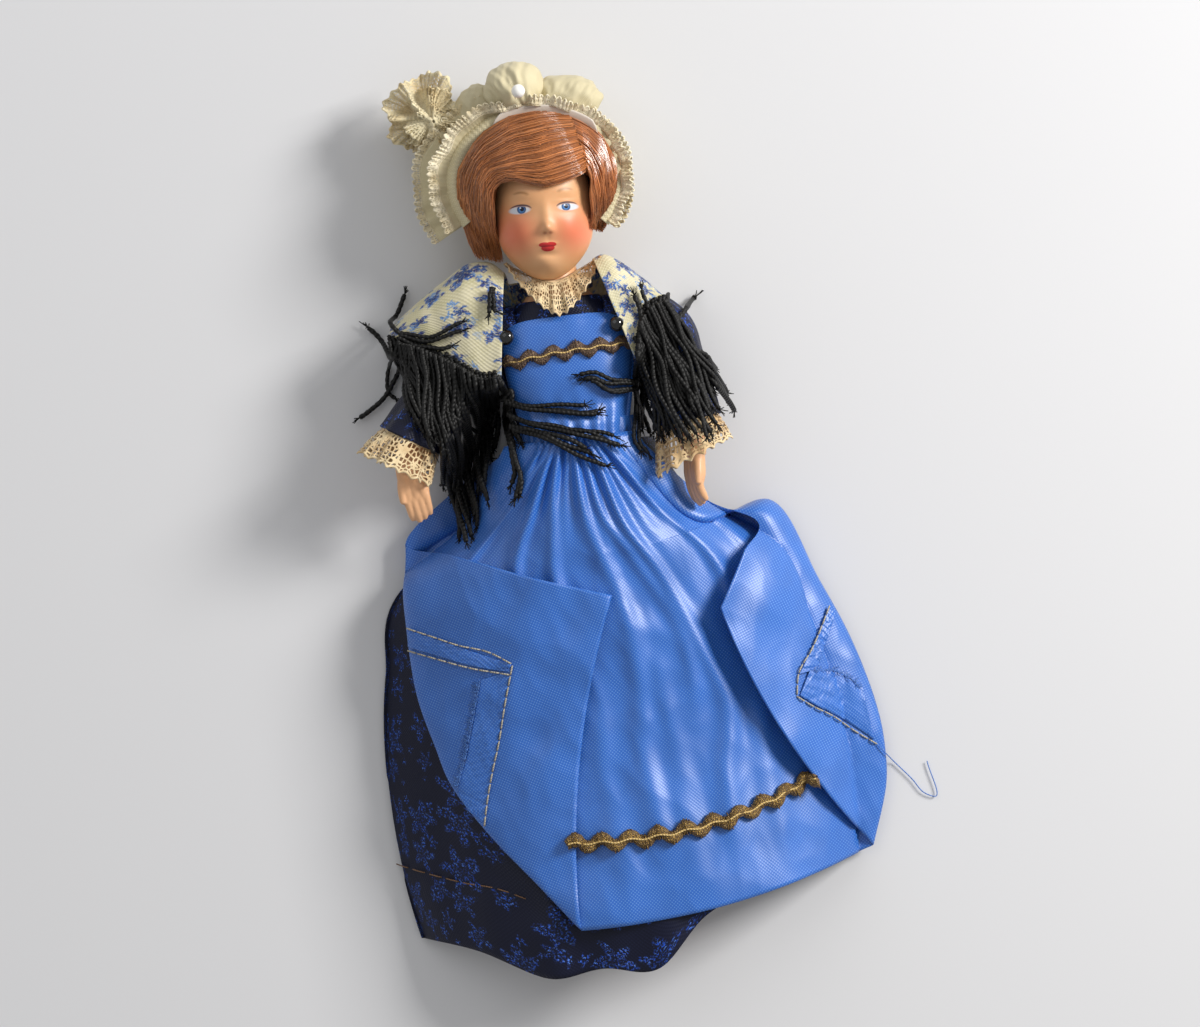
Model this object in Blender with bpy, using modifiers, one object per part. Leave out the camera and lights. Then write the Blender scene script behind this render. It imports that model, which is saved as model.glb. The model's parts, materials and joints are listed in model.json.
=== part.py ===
"""A small celluloid doll in regional dress, lying on its back with its skirt and apron spread.

Metres. +Y runs from the feet to the head, +X to the doll's own left and +Z up, out of its face.
The origin lies under the hips, on the surface that carries the doll. The head turns on the neck
and each arm turns at its shoulder; cord elastic inside the hollow body pulls them on their seats.
"""

import math

import bmesh
import bpy
import numpy as np

MM = 0.001

# Cloth, and the room between pieces that touch
GAP = 0.35 * MM
CLOTH = 0.45 * MM
LACE = 0.4 * MM
BAND = 0.6 * MM
WELD = 0.001 * MM

# Levels along the body
CROTCH_Y = -8.0 * MM
WAIST_Y = 12.5 * MM
CHEST_Y = 25.0 * MM
SHOULDER_Y = 33.0 * MM
TRUNK_TOP_Y = 39.5 * MM
KNEE_Y = -38.0 * MM
CALF_Y = -50.0 * MM
ANKLE_Y = -71.0 * MM
SOLE_Y = -83.5 * MM

# Trunk, as half widths and half depths about the body's axis
BODY_Z = 9.8 * MM
HIP_HALF_WIDTH = 11.6 * MM
WAIST_HALF_WIDTH = 9.6 * MM
SHOULDER_HALF_WIDTH = 12.6 * MM
TRUNK_TOP_HALF_WIDTH = 6.0 * MM
HIP_HALF_DEPTH = 7.2 * MM
WAIST_HALF_DEPTH = 6.2 * MM
CHEST_HALF_DEPTH = 7.1 * MM
SHOULDER_HALF_DEPTH = 6.0 * MM
TRUNK_SQUARENESS = 2.4
BODY_WALL = 1.0 * MM

# Legs and moulded shoes
LEG_X = 6.2 * MM
LEG_Z = 7.6 * MM
THIGH_RADIUS = 5.7 * MM
KNEE_RADIUS = 4.2 * MM
CALF_RADIUS = 4.5 * MM
ANKLE_RADIUS = 2.9 * MM
SHOE_LENGTH = 12.0 * MM
SHOE_WIDTH = 6.4 * MM
SHOE_HEIGHT = 7.0 * MM
SHOE_SOLE = 1.0 * MM

# Shoulder seats and the elastic through them
SEAT_X = 13.9 * MM
SEAT_RADIUS = 4.7 * MM
ELASTIC_RADIUS = 0.6 * MM
KNOT_RADIUS = 1.5 * MM
ELASTIC_HOLE_RADIUS = 1.1 * MM
CUP_RADIUS = 3.2 * MM
CUP_FLOOR = 1.0 * MM

# Arms
ARM_LENGTH = 31.5 * MM
SHOULDER_BEND_RADIUS = 6.4 * MM
RIGHT_ARM_SPLAY = math.radians(32.0)
LEFT_ARM_SPLAY = math.radians(5.0)
ELBOW_RADIUS = 3.2 * MM
WRIST_RADIUS = 2.2 * MM
WRIST_LIFT = 5.4 * MM
PALM_LENGTH = 6.6 * MM
PALM_WIDTH = 5.4 * MM
PALM_THICKNESS = 2.8 * MM
FINGER_LENGTH = 5.2 * MM
FINGER_RADIUS = 0.75 * MM
RIGHT_HAND_TURN = math.radians(40.0)
LEFT_HAND_TURN = math.radians(-10.0)

# Sleeves and cuffs
SLEEVE_LENGTH = 24.5 * MM
SLEEVE_RADIUS = 5.35 * MM
CUFF_LENGTH = 5.6 * MM
CUFF_RADIUS = 5.9 * MM
CUFF_WAVE = 0.5 * MM
CUFF_SCALLOPS = 9

# Head and neck
HEAD_Y = 57.0 * MM
HEAD_Z = 14.6 * MM
HEAD_HALF_WIDTH = 9.5 * MM
HEAD_HALF_HEIGHT = 15.4 * MM
CHEEK_FULLNESS = 0.25
FACE_DEPTH = 9.6 * MM
OCCIPUT_DEPTH = 11.0 * MM
HEAD_WALL = 1.0 * MM
HEAD_TILT = math.radians(-3.0)
NECK_RADIUS = 4.3 * MM
NECK_BALL_RADIUS = 4.6 * MM
NECK_BALL_Y = 41.0 * MM
NECK_BORE_RADIUS = 2.2 * MM
NECK_DISC_Y = 46.4 * MM
NECK_DISC_RADIUS = 3.0 * MM
NECK_DISC_THICKNESS = 0.8 * MM

# Wig
WIG_X = -1.2 * MM
WIG_Y = 61.4 * MM
WIG_Z = 12.8 * MM
WIG_HALF_WIDTH = 15.4 * MM
WIG_HALF_HEIGHT = 12.7 * MM
WIG_HALF_DEPTH = 12.0 * MM
FACE_OPENING_HALF_WIDTH = 10.0 * MM
FACE_OPENING_HEIGHT = 13.0 * MM
HAIRLINE_Y = 60.6 * MM
FACE_OPENING_Z = 13.0 * MM

# Bonnet
CAP_THICKNESS = 0.9 * MM
CAP_NAPE_Y = 51.0 * MM
FRILL_WAVES = 11
FRILL_BASE = 0.5 * MM
FRILL_LOW_Z = 12.0 * MM
FRILL_HIGH_Z = 16.2 * MM
FRILL_TOP_REACH = 7.4 * MM
FRILL_WAVE = 0.7 * MM
FRILL_RIGHT_DEG = 208.0
FRILL_LEFT_DEG = -42.0
INNER_FRILL_WIDTH = 4.4 * MM
OUTER_FRILL_WIDTH = 6.6 * MM
LACE_WIDTH = 1.7 * MM
SATIN_WIDTH = 3.0 * MM
SATIN_THICKNESS = 0.2 * MM
ROSETTE_X = -21.0 * MM
ROSETTE_Y = 76.5 * MM
ROSETTE_Z = 9.1 * MM
ROSETTE_RADIUS = 8.2 * MM
PEARL_RADIUS = 1.45 * MM

# Bodice, collar and shawl
COLLAR_DROP = 5.0 * MM
SHAWL_HALF_WIDTH = 25.0 * MM
SHAWL_OPENING = 14.2 * MM
SHAWL_FRONT_Z = 17.9 * MM
SHAWL_FRONT_Y = 24.0 * MM
SHAWL_TOP_Y = 42.6 * MM
SHAWL_SHOULDER_RISE = 3.4 * MM
SHAWL_BACK_POINT_Y = 14.0 * MM

# Bib, waistbands, braids and pins
BIB_TOP_Y = 34.8 * MM
BAND_HEIGHT = 4.0 * MM
BRAID_WIDTH = 3.0 * MM
BRAID_THICKNESS = 0.5 * MM
BRAID_PITCH = 4.8 * MM
BIB_BRAID_Y = 28.0 * MM
PIN_HEAD_RADIUS = 1.5 * MM
PIN_SHANK_RADIUS = 0.35 * MM
PIN_Y = 32.0 * MM
PIN_X = 10.6 * MM

# Skirt
SKIRT_TOP_Y = 10.1 * MM
SKIRT_FRONT_Z = 18.9 * MM
SKIRT_SIDE_Z = 1.2 * MM
SKIRT_FOLD = 0.5 * MM
SKIRT_FOLDS = 4
SKIRT_TOP_HALF_WIDTH = 15.0 * MM
SKIRT_BACK_RISE = 1.9 * MM
SKIRT_FLAT_Y = 4.0 * MM

# Apron: the curves its cloth follows, as (way down the cloth, x, y) in millimetres
APRON_RIGHT_EDGE = [
    (0, -13.5, 10.1),
    (0.2, -26, 3.2),
    (0.4, -34.5, -6),
    (0.6, -21, -10),
    (1, 3.6, -18.5),
]
APRON_RIGHT_FOLD = [
    (0, -8.5, 10.1),
    (0.2, -20, -0.5),
    (0.4, -37, -15),
    (0.6, -36, -28),
    (0.8, -31, -54),
    (1, -11, -81),
]
APRON_LEFT_FOLD = [
    (0, 8, 10.1),
    (0.2, 22, -7.5),
    (0.4, 40, -17),
    (0.6, 47, -33),
    (0.8, 52, -57),
    (1, 48, -75),
]
APRON_LEFT_EDGE = [
    (0, 11.8, 10.1),
    (0.2, 25, -2.5),
    (0.4, 36, -5),
    (0.6, 30, -12),
    (1, 24, -25),
]
APRON_SAG = [(0, 0), (0.2, 4.5), (0.4, 8), (0.6, 10.4), (0.8, 9.6), (1, 2.5)]
APRON_LIFT = 0.9 * MM
APRON_FLAP_LIFT = 2.2 * MM
APRON_CURL = 6.5 * MM
APRON_GATHERS = 7

# Fringe
CORD_RADIUS = 0.75 * MM
FRINGE_HEADER_RADIUS = 1.3 * MM

def clear_scene():
    for obj in list(bpy.data.objects):
        bpy.data.objects.remove(obj, do_unlink=True)


def collection(name, hidden=False):
    made = bpy.data.collections.new(name)
    bpy.context.scene.collection.children.link(made)
    made.hide_render = hidden
    return made


def material(name, color, roughness, metallic=0.0):
    made = bpy.data.materials.new(name)
    made.use_nodes = True
    shader = made.node_tree.nodes["Principled BSDF"]
    shader.inputs["Base Color"].default_value = (*color, 1.0)
    shader.inputs["Roughness"].default_value = roughness
    shader.inputs["Metallic"].default_value = metallic
    made.diffuse_color = (*color, 1.0)
    return made


def through(stations, at):
    """A smooth curve through (place, value) stations, read at the given places."""
    places, values = np.array(sorted(stations), float).T
    slopes = np.gradient(values, places)
    low = np.clip(np.searchsorted(places, at) - 1, 0, len(places) - 2)
    step = places[low + 1] - places[low]
    t = np.clip((at - places[low]) / step, 0, 1)
    return (
        (2 * t**3 - 3 * t**2 + 1) * values[low]
        + (t**3 - 2 * t**2 + t) * step * slopes[low]
        + (3 * t**2 - 2 * t**3) * values[low + 1]
        + (t**3 - t**2) * step * slopes[low + 1]
    )


def double_wall(name, sides, rings, wall_point, thickness, finish):
    """A cloth tube made of an outer and an inner wall that meet at both hems.

    wall_point(angle, down, inset) gives a wall's points; the grid goes down outside and up inside.
    """
    steps = 2 * rings + 2

    def place(u, v):
        step = np.round(v * steps).astype(int) % steps
        inner = step > rings
        down = np.where(inner, steps - 1 - step, step) / rings
        return wall_point(2 * math.pi * u, down, np.where(inner, thickness, 0))

    return mapped_grid(name, sides, steps, place, finish, closed=True, capped=True)


def object_of(name, mesh_edit, finish=None, smooth=True):
    """Makes an object of a bmesh: a part when it has a finish, and otherwise a hidden helper."""
    if not finish:
        bmesh.ops.triangulate(mesh_edit, faces=mesh_edit.faces)
    mesh = bpy.data.meshes.new(name)
    mesh_edit.to_mesh(mesh)
    mesh_edit.free()
    obj = bpy.data.objects.new(name, mesh)
    if finish:
        parts.objects.link(obj)
        mesh.materials.append(finish)
    else:
        helpers.objects.link(obj)
        obj.hide_render = True
        obj.display_type = "WIRE"
    if smooth:
        mesh.shade_smooth()
    return obj


def mapped_grid(name, across, along, place, finish=None, closed=False, capped=False):
    """A grid whose points go where place(u, v) puts them. Closed joins its sides into a tube."""
    edit = bmesh.new()
    bmesh.ops.create_grid(edit, x_segments=across, y_segments=along, size=0.5)
    flat = np.array([vert.co[:2] for vert in edit.verts]) + 0.5
    for vert, point in zip(edit.verts, place(flat[:, 0], flat[:, 1])):
        vert.co = point
    if closed:
        bmesh.ops.remove_doubles(edit, verts=edit.verts, dist=WELD)
    if capped:
        bmesh.ops.holes_fill(edit, edges=edit.edges)
        bmesh.ops.recalc_face_normals(edit, faces=edit.faces)
    return object_of(name, edit, finish)


def ellipsoid(name, centre, radii, finish=None, sides=20, rings=12):
    edit = bmesh.new()
    bmesh.ops.create_uvsphere(edit, u_segments=sides, v_segments=rings, radius=1)
    bmesh.ops.scale(edit, vec=radii, verts=edit.verts)
    bmesh.ops.translate(edit, vec=centre, verts=edit.verts)
    return object_of(name, edit, finish)


def box(name, low, high):
    edit = bmesh.new()
    bmesh.ops.create_cube(edit, size=1)
    size = [b - a for a, b in zip(low, high)]
    bmesh.ops.scale(edit, vec=size, verts=edit.verts)
    bmesh.ops.translate(edit, vec=[(a + b) / 2 for a, b in zip(low, high)], verts=edit.verts)
    return object_of(name, edit, smooth=False)


def rod(name, start, end, radius, end_radius=None, finish=None, sides=16):
    """A cylinder or cone from start to end."""
    edit = bmesh.new()
    start, end = np.array(start), np.array(end)
    length = np.linalg.norm(end - start)
    bmesh.ops.create_cone(
        edit,
        cap_ends=True,
        segments=sides,
        radius1=radius,
        radius2=radius if end_radius is None else end_radius,
        depth=length,
    )
    axis = (end - start) / length
    side = np.cross(axis, [0.13, 0.71, 0.69])
    side /= np.linalg.norm(side)
    turn = np.stack([side, np.cross(axis, side), axis])
    points = np.array([vert.co[:] for vert in edit.verts]) @ turn + (start + end) / 2
    for vert, point in zip(edit.verts, points):
        vert.co = point
    return object_of(name, edit, finish)


def turned(name, profile, centre, axis, finish, steps=20):
    """A profile of (radius, distance along the axis) turned round a body axis, "X" or "Y"."""
    mesh = bpy.data.meshes.new(name)
    if axis == "X":
        points = [(along, radius, 0) for radius, along in profile]
    else:
        points = [(radius, along, 0) for radius, along in profile]
    mesh.from_pydata(points, [(i, i + 1) for i in range(len(points) - 1)], [])
    mesh.materials.append(finish)
    obj = bpy.data.objects.new(name, mesh)
    parts.objects.link(obj)
    obj.location = centre
    screw = obj.modifiers.new("Turn", "SCREW")
    screw.axis = axis
    screw.steps = screw.render_steps = steps
    screw.use_merge_vertices = True
    screw.merge_threshold = WELD
    screw.use_smooth_shade = True
    return obj


def boolean(obj, others, operation="DIFFERENCE"):
    """Joins or cuts with each of the others, after splitting the object's faces into flat ones."""
    if "Flat faces" not in obj.modifiers:
        obj.modifiers.new("Flat faces", "TRIANGULATE")
    for other in others if isinstance(others, (list, tuple)) else [others]:
        modifier = obj.modifiers.new(f"{operation.title()} {other.name}", "BOOLEAN")
        modifier.operation = operation
        modifier.object = other
        modifier.solver = "EXACT"


def thicken(obj, thickness, offset=1.0):
    """Gives a sheet its thickness: offset 1 outwards along its normals, 0 on both sides."""
    solidify = obj.modifiers.new("Thickness", "SOLIDIFY")
    solidify.thickness = thickness
    solidify.offset = offset


def trunk_half(y, grow):
    """Half width and half depth of the trunk at the levels y, grown all round."""
    width = through(
        [
            (CROTCH_Y, LEG_X + 0.55 * THIGH_RADIUS),
            (0, HIP_HALF_WIDTH),
            (WAIST_Y, WAIST_HALF_WIDTH),
            (CHEST_Y, SHOULDER_HALF_WIDTH - 0.4 * MM),
            (SHOULDER_Y, SHOULDER_HALF_WIDTH),
            (TRUNK_TOP_Y, TRUNK_TOP_HALF_WIDTH),
        ],
        y,
    )
    depth = through(
        [
            (CROTCH_Y, THIGH_RADIUS),
            (0, HIP_HALF_DEPTH),
            (WAIST_Y, WAIST_HALF_DEPTH),
            (CHEST_Y, CHEST_HALF_DEPTH),
            (SHOULDER_Y, SHOULDER_HALF_DEPTH),
            (TRUNK_TOP_Y, TRUNK_TOP_HALF_WIDTH - 0.8 * MM),
        ],
        y,
    )
    return width + grow, depth + grow


def trunk_point(angle, y, grow):
    """Points on the trunk: a rounded square of TRUNK_SQUARENESS about the body's axis."""
    width, depth = trunk_half(y, grow)
    power = 2 / TRUNK_SQUARENESS
    cos, sin = np.cos(angle), np.sin(angle)
    x = width * np.sign(cos) * np.abs(cos) ** power
    z = BODY_Z + depth * np.sign(sin) * np.abs(sin) ** power
    return np.stack([x, y, z], axis=-1)


def trunk_front(x, y, grow):
    """Height of the front of the trunk over (x, y); it runs level past the last tenth of the side."""
    width, depth = trunk_half(y, grow)
    share = np.clip(np.abs(x) / width, 0, 0.97)
    return BODY_Z + depth * (1 - share**TRUNK_SQUARENESS) ** (1 / TRUNK_SQUARENESS)


def trunk_tube(name, low_y, high_y, grow, finish=None, capped=False, sides=32, rings=12):
    def place(u, v):
        return trunk_point(-2 * math.pi * u, low_y + (high_y - low_y) * v, grow)

    return mapped_grid(name, sides, rings, place, finish, closed=True, capped=capped)


def leg_tube(name, side, grow, top_y, bottom_y, sides=10, rings=7, capped=True):
    """One leg about its own straight axis, a little bent back at the calf."""

    def place(u, v):
        y = top_y + (bottom_y - top_y) * v
        radius = grow + through(
            [
                (0, THIGH_RADIUS),
                (CROTCH_Y, THIGH_RADIUS),
                (KNEE_Y, KNEE_RADIUS),
                (CALF_Y, CALF_RADIUS),
                (ANKLE_Y, ANKLE_RADIUS),
                (SOLE_Y, ANKLE_RADIUS),
            ],
            y,
        )
        angle = 2 * math.pi * u
        x = side * LEG_X + radius * np.cos(angle)
        z = LEG_Z + radius * np.sin(angle)
        return np.stack([x, y, z], axis=-1)

    return mapped_grid(name, sides, rings, place, closed=True, capped=capped)


def build_torso(skin):
    """Hollow trunk with shoulder seats and a neck socket, in one with the legs, socks and shoes."""
    torso = trunk_tube("torso", CROTCH_Y, TRUNK_TOP_Y, 0, skin, capped=True, sides=20, rings=7)
    for side, word in ((-1, "right"), (1, "left")):
        leg = leg_tube(f"{word}_leg_form", side, 0, CROTCH_Y + 5 * MM, SOLE_Y + SHOE_SOLE)
        toe_z = LEG_Z - ANKLE_RADIUS - 0.8 * MM + SHOE_LENGTH / 2
        shoe = ellipsoid(
            f"{word}_shoe_form",
            (side * LEG_X, SOLE_Y + SHOE_HEIGHT * 0.36, toe_z),
            (SHOE_WIDTH / 2, SHOE_HEIGHT / 2, SHOE_LENGTH / 2),
            sides=10,
            rings=7,
        )
        boolean(torso, [leg, shoe], "UNION")
    seats = rod(
        "shoulder_seat_form",
        (-SEAT_X, SHOULDER_Y, BODY_Z),
        (SEAT_X, SHOULDER_Y, BODY_Z),
        SEAT_RADIUS,
        sides=20,
    )
    boolean(torso, seats, "UNION")
    cavity = trunk_tube(
        "torso_cavity", CROTCH_Y + 4 * MM, SHOULDER_Y + 2.5 * MM, -BODY_WALL, capped=True, sides=10, rings=4
    )
    socket = ellipsoid(
        "neck_socket",
        (0, NECK_BALL_Y, BODY_Z),
        [NECK_BALL_RADIUS + GAP] * 3,
        sides=14,
        rings=8,
    )
    neck_hole = rod(
        "neck_hole",
        (0, SHOULDER_Y, BODY_Z),
        (0, NECK_BALL_Y, BODY_Z),
        ELASTIC_RADIUS + 1.2 * MM,
        sides=10,
    )
    arm_holes = rod(
        "arm_holes",
        (-SEAT_X - MM, SHOULDER_Y, BODY_Z),
        (SEAT_X + MM, SHOULDER_Y, BODY_Z),
        ELASTIC_HOLE_RADIUS,
        sides=10,
    )
    floor = box("sole_cut", (-30 * MM, SOLE_Y - 10 * MM, -5 * MM), (30 * MM, SOLE_Y, 30 * MM))
    boolean(torso, [cavity, socket, neck_hole, arm_holes, floor])
    return torso


def skull_points(unit, grow):
    """The skull over a unit sphere: an egg with a face relief of rounded bumps.

    The relief adds, at the front only, a height exp(-(x/sx)^2 - (y/sy)^2) for each feature.
    """
    a, b, c = unit.T
    y = b * (HEAD_HALF_HEIGHT + grow)
    cheeks = 1 + CHEEK_FULLNESS * np.exp(-(((y + 9 * MM) / (4.5 * MM)) ** 2))
    x = a * (HEAD_HALF_WIDTH + grow) * cheeks
    z = c * (np.where(c > 0, FACE_DEPTH, OCCIPUT_DEPTH) + grow)
    features = [
        # centre x, centre y, half width, half height and height, in millimetres
        (0, -6.2, 1.3, 1.4, 1.9),
        (0, -3.2, 1.1, 2.6, 0.9),
        (-4.4, -2.1, 2.1, 1.4, -0.8),
        (4.4, -2.1, 2.1, 1.4, -0.8),
        (-4.4, -2.1, 1.4, 0.9, 0.5),
        (4.4, -2.1, 1.4, 0.9, 0.5),
        (-5.2, -7.0, 2.4, 2.6, 0.7),
        (5.2, -7.0, 2.4, 2.6, 0.7),
        (0, -9.2, 2.2, 1.1, 0.8),
        (0, -13.0, 2.6, 1.8, 1.2),
    ]
    front = np.clip(c, 0, 1) ** 0.5
    for centre_x, centre_y, half_x, half_y, height in features:
        across = (x - centre_x * MM) / (half_x * MM)
        up = (y - centre_y * MM) / (half_y * MM)
        z = z + front * height * MM * np.exp(-(across**2) - up**2)
    cos, sin = math.cos(HEAD_TILT), math.sin(HEAD_TILT)
    return np.stack([x * cos - y * sin, HEAD_Y + x * sin + y * cos, HEAD_Z + z], axis=-1)


def skull(name, grow, finish=None, sides=26, rings=17):
    edit = bmesh.new()
    bmesh.ops.create_uvsphere(edit, u_segments=sides, v_segments=rings, radius=1)
    unit = np.array([vert.co[:] for vert in edit.verts])
    unit = np.stack([unit[:, 0], unit[:, 2], -unit[:, 1]], axis=-1)
    for vert, point in zip(edit.verts, skull_points(unit, grow)):
        vert.co = point
    return object_of(name, edit, finish)


def build_head(skin):
    """Hollow head in one with its neck, whose round end seats in the trunk's socket."""
    head = skull("head", 0, skin)
    neck = rod(
        "neck_form",
        (0, NECK_BALL_Y, BODY_Z),
        (0, HEAD_Y - 4 * MM, BODY_Z),
        NECK_RADIUS,
        sides=16,
    )
    ball_middle = (0, NECK_BALL_Y, BODY_Z)
    ball = ellipsoid("neck_ball_form", ball_middle, [NECK_BALL_RADIUS] * 3, sides=14, rings=8)
    boolean(head, [neck, ball], "UNION")
    cavity = ellipsoid(
        "head_cavity",
        (0, HEAD_Y, HEAD_Z),
        (
            HEAD_HALF_WIDTH - HEAD_WALL,
            HEAD_HALF_HEIGHT - HEAD_WALL - 0.6 * MM,
            OCCIPUT_DEPTH - HEAD_WALL - 0.6 * MM,
        ),
        sides=12,
        rings=6,
    )
    bore = rod(
        "neck_bore",
        (0, NECK_BALL_Y - 8 * MM, BODY_Z),
        (0, HEAD_Y, BODY_Z),
        NECK_BORE_RADIUS,
        sides=12,
    )
    seat = rod(
        "disc_seat",
        (0, NECK_DISC_Y, BODY_Z),
        (0, HEAD_Y, BODY_Z),
        NECK_DISC_RADIUS + GAP,
        sides=14,
    )
    boolean(head, [cavity, bore, seat])
    return head


def build_neck_disc(wood):
    low, high = GAP, GAP + NECK_DISC_THICKNESS
    hole = ELASTIC_RADIUS + 2 * GAP
    profile = [
        (hole, low),
        (hole, high),
        (NECK_DISC_RADIUS, high),
        (NECK_DISC_RADIUS, low),
        (hole, low),
    ]
    return turned("neck_disc", profile, (0, NECK_DISC_Y, BODY_Z), "Y", wood, steps=16)


def build_head_elastic(elastic):
    """Cord from a knot over the neck disc down to a ring round the arm elastic."""
    knot_y = NECK_DISC_Y + 2 * GAP + NECK_DISC_THICKNESS
    ring_radius = 2 * ELASTIC_RADIUS + GAP
    cord = rod(
        "head_elastic",
        (0, SHOULDER_Y + ring_radius - 0.13 * MM, BODY_Z),
        (0, knot_y + KNOT_RADIUS, BODY_Z),
        ELASTIC_RADIUS,
        finish=elastic,
        sides=7,
    )
    knot = rod(
        "head_knot_form",
        (0, knot_y, BODY_Z),
        (0, knot_y + 2 * KNOT_RADIUS, BODY_Z),
        KNOT_RADIUS,
        sides=9,
    )
    edit = bmesh.new()
    bmesh.ops.create_circle(edit, segments=6, radius=ELASTIC_RADIUS)
    bmesh.ops.translate(edit, vec=(0, ring_radius, 0), verts=edit.verts)
    bmesh.ops.spin(
        edit,
        geom=edit.verts[:] + edit.edges[:],
        cent=(0, 0, 0),
        axis=(1, 0, 0),
        dvec=(0, 0, 0),
        angle=2 * math.pi,
        steps=12,
        use_merge=True,
    )
    bmesh.ops.recalc_face_normals(edit, faces=edit.faces)
    bmesh.ops.translate(edit, vec=(0, SHOULDER_Y, BODY_Z), verts=edit.verts)
    ring = object_of("elastic_ring_form", edit)
    boolean(cord, [knot, ring], "UNION")
    return cord


def build_arm_elastic(elastic):
    """Cord along the shoulder axis with a knot inside each arm's cup."""
    end = SEAT_X + GAP + CUP_FLOOR + GAP
    cord = ELASTIC_RADIUS
    profile = [
        (0, end + 2 * KNOT_RADIUS),
        (KNOT_RADIUS, end + 1.6 * KNOT_RADIUS),
        (KNOT_RADIUS, end),
        (cord, end),
        (cord, -end),
        (KNOT_RADIUS, -end),
        (KNOT_RADIUS, -end - 1.6 * KNOT_RADIUS),
        (0, -end - 2 * KNOT_RADIUS),
    ]
    return turned("arm_elastic", profile, (0, SHOULDER_Y, BODY_Z), "X", elastic, steps=12)


def arm_frame(side, splay, distance):
    """Points along an arm's middle line and the sideways unit vectors square to it.

    The line leaves the shoulder seat along X, bends down by a quarter turn less the splay, and runs
    straight on; it rises by the wrist's lift with the square of the way.
    """
    turn = math.pi / 2 - splay
    bend = np.clip(distance / SHOULDER_BEND_RADIUS, 0, turn)
    rest = np.maximum(distance - SHOULDER_BEND_RADIUS * turn, 0)
    x = SEAT_X + GAP + SHOULDER_BEND_RADIUS * np.sin(bend) + rest * math.cos(turn)
    y = SHOULDER_Y - SHOULDER_BEND_RADIUS * (1 - np.cos(bend)) - rest * math.sin(turn)
    z = BODY_Z + WRIST_LIFT * np.clip(distance / ARM_LENGTH, 0, None) ** 2
    middle = np.stack([side * x, y, z], axis=-1)
    across = np.stack([side * np.sin(bend), np.cos(bend), np.zeros_like(bend)], axis=-1)
    return middle, across


def arm_tube(name, side, splay, start, end, radius_at, finish=None, capped=False, sides=16, rings=12):
    """A tube round an arm's middle line; radius_at(distance, angle) gives its radius."""

    def place(u, v):
        distance = start + (end - start) * v
        angle = -side * 2 * math.pi * u
        middle, across = arm_frame(side, splay, distance)
        radius = radius_at(distance, angle)[:, None]
        up = np.array([0.0, 0.0, 1.0])
        return middle + radius * (np.cos(angle)[:, None] * across + np.sin(angle)[:, None] * up)

    return mapped_grid(name, sides, rings, place, finish, closed=True, capped=capped)


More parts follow.
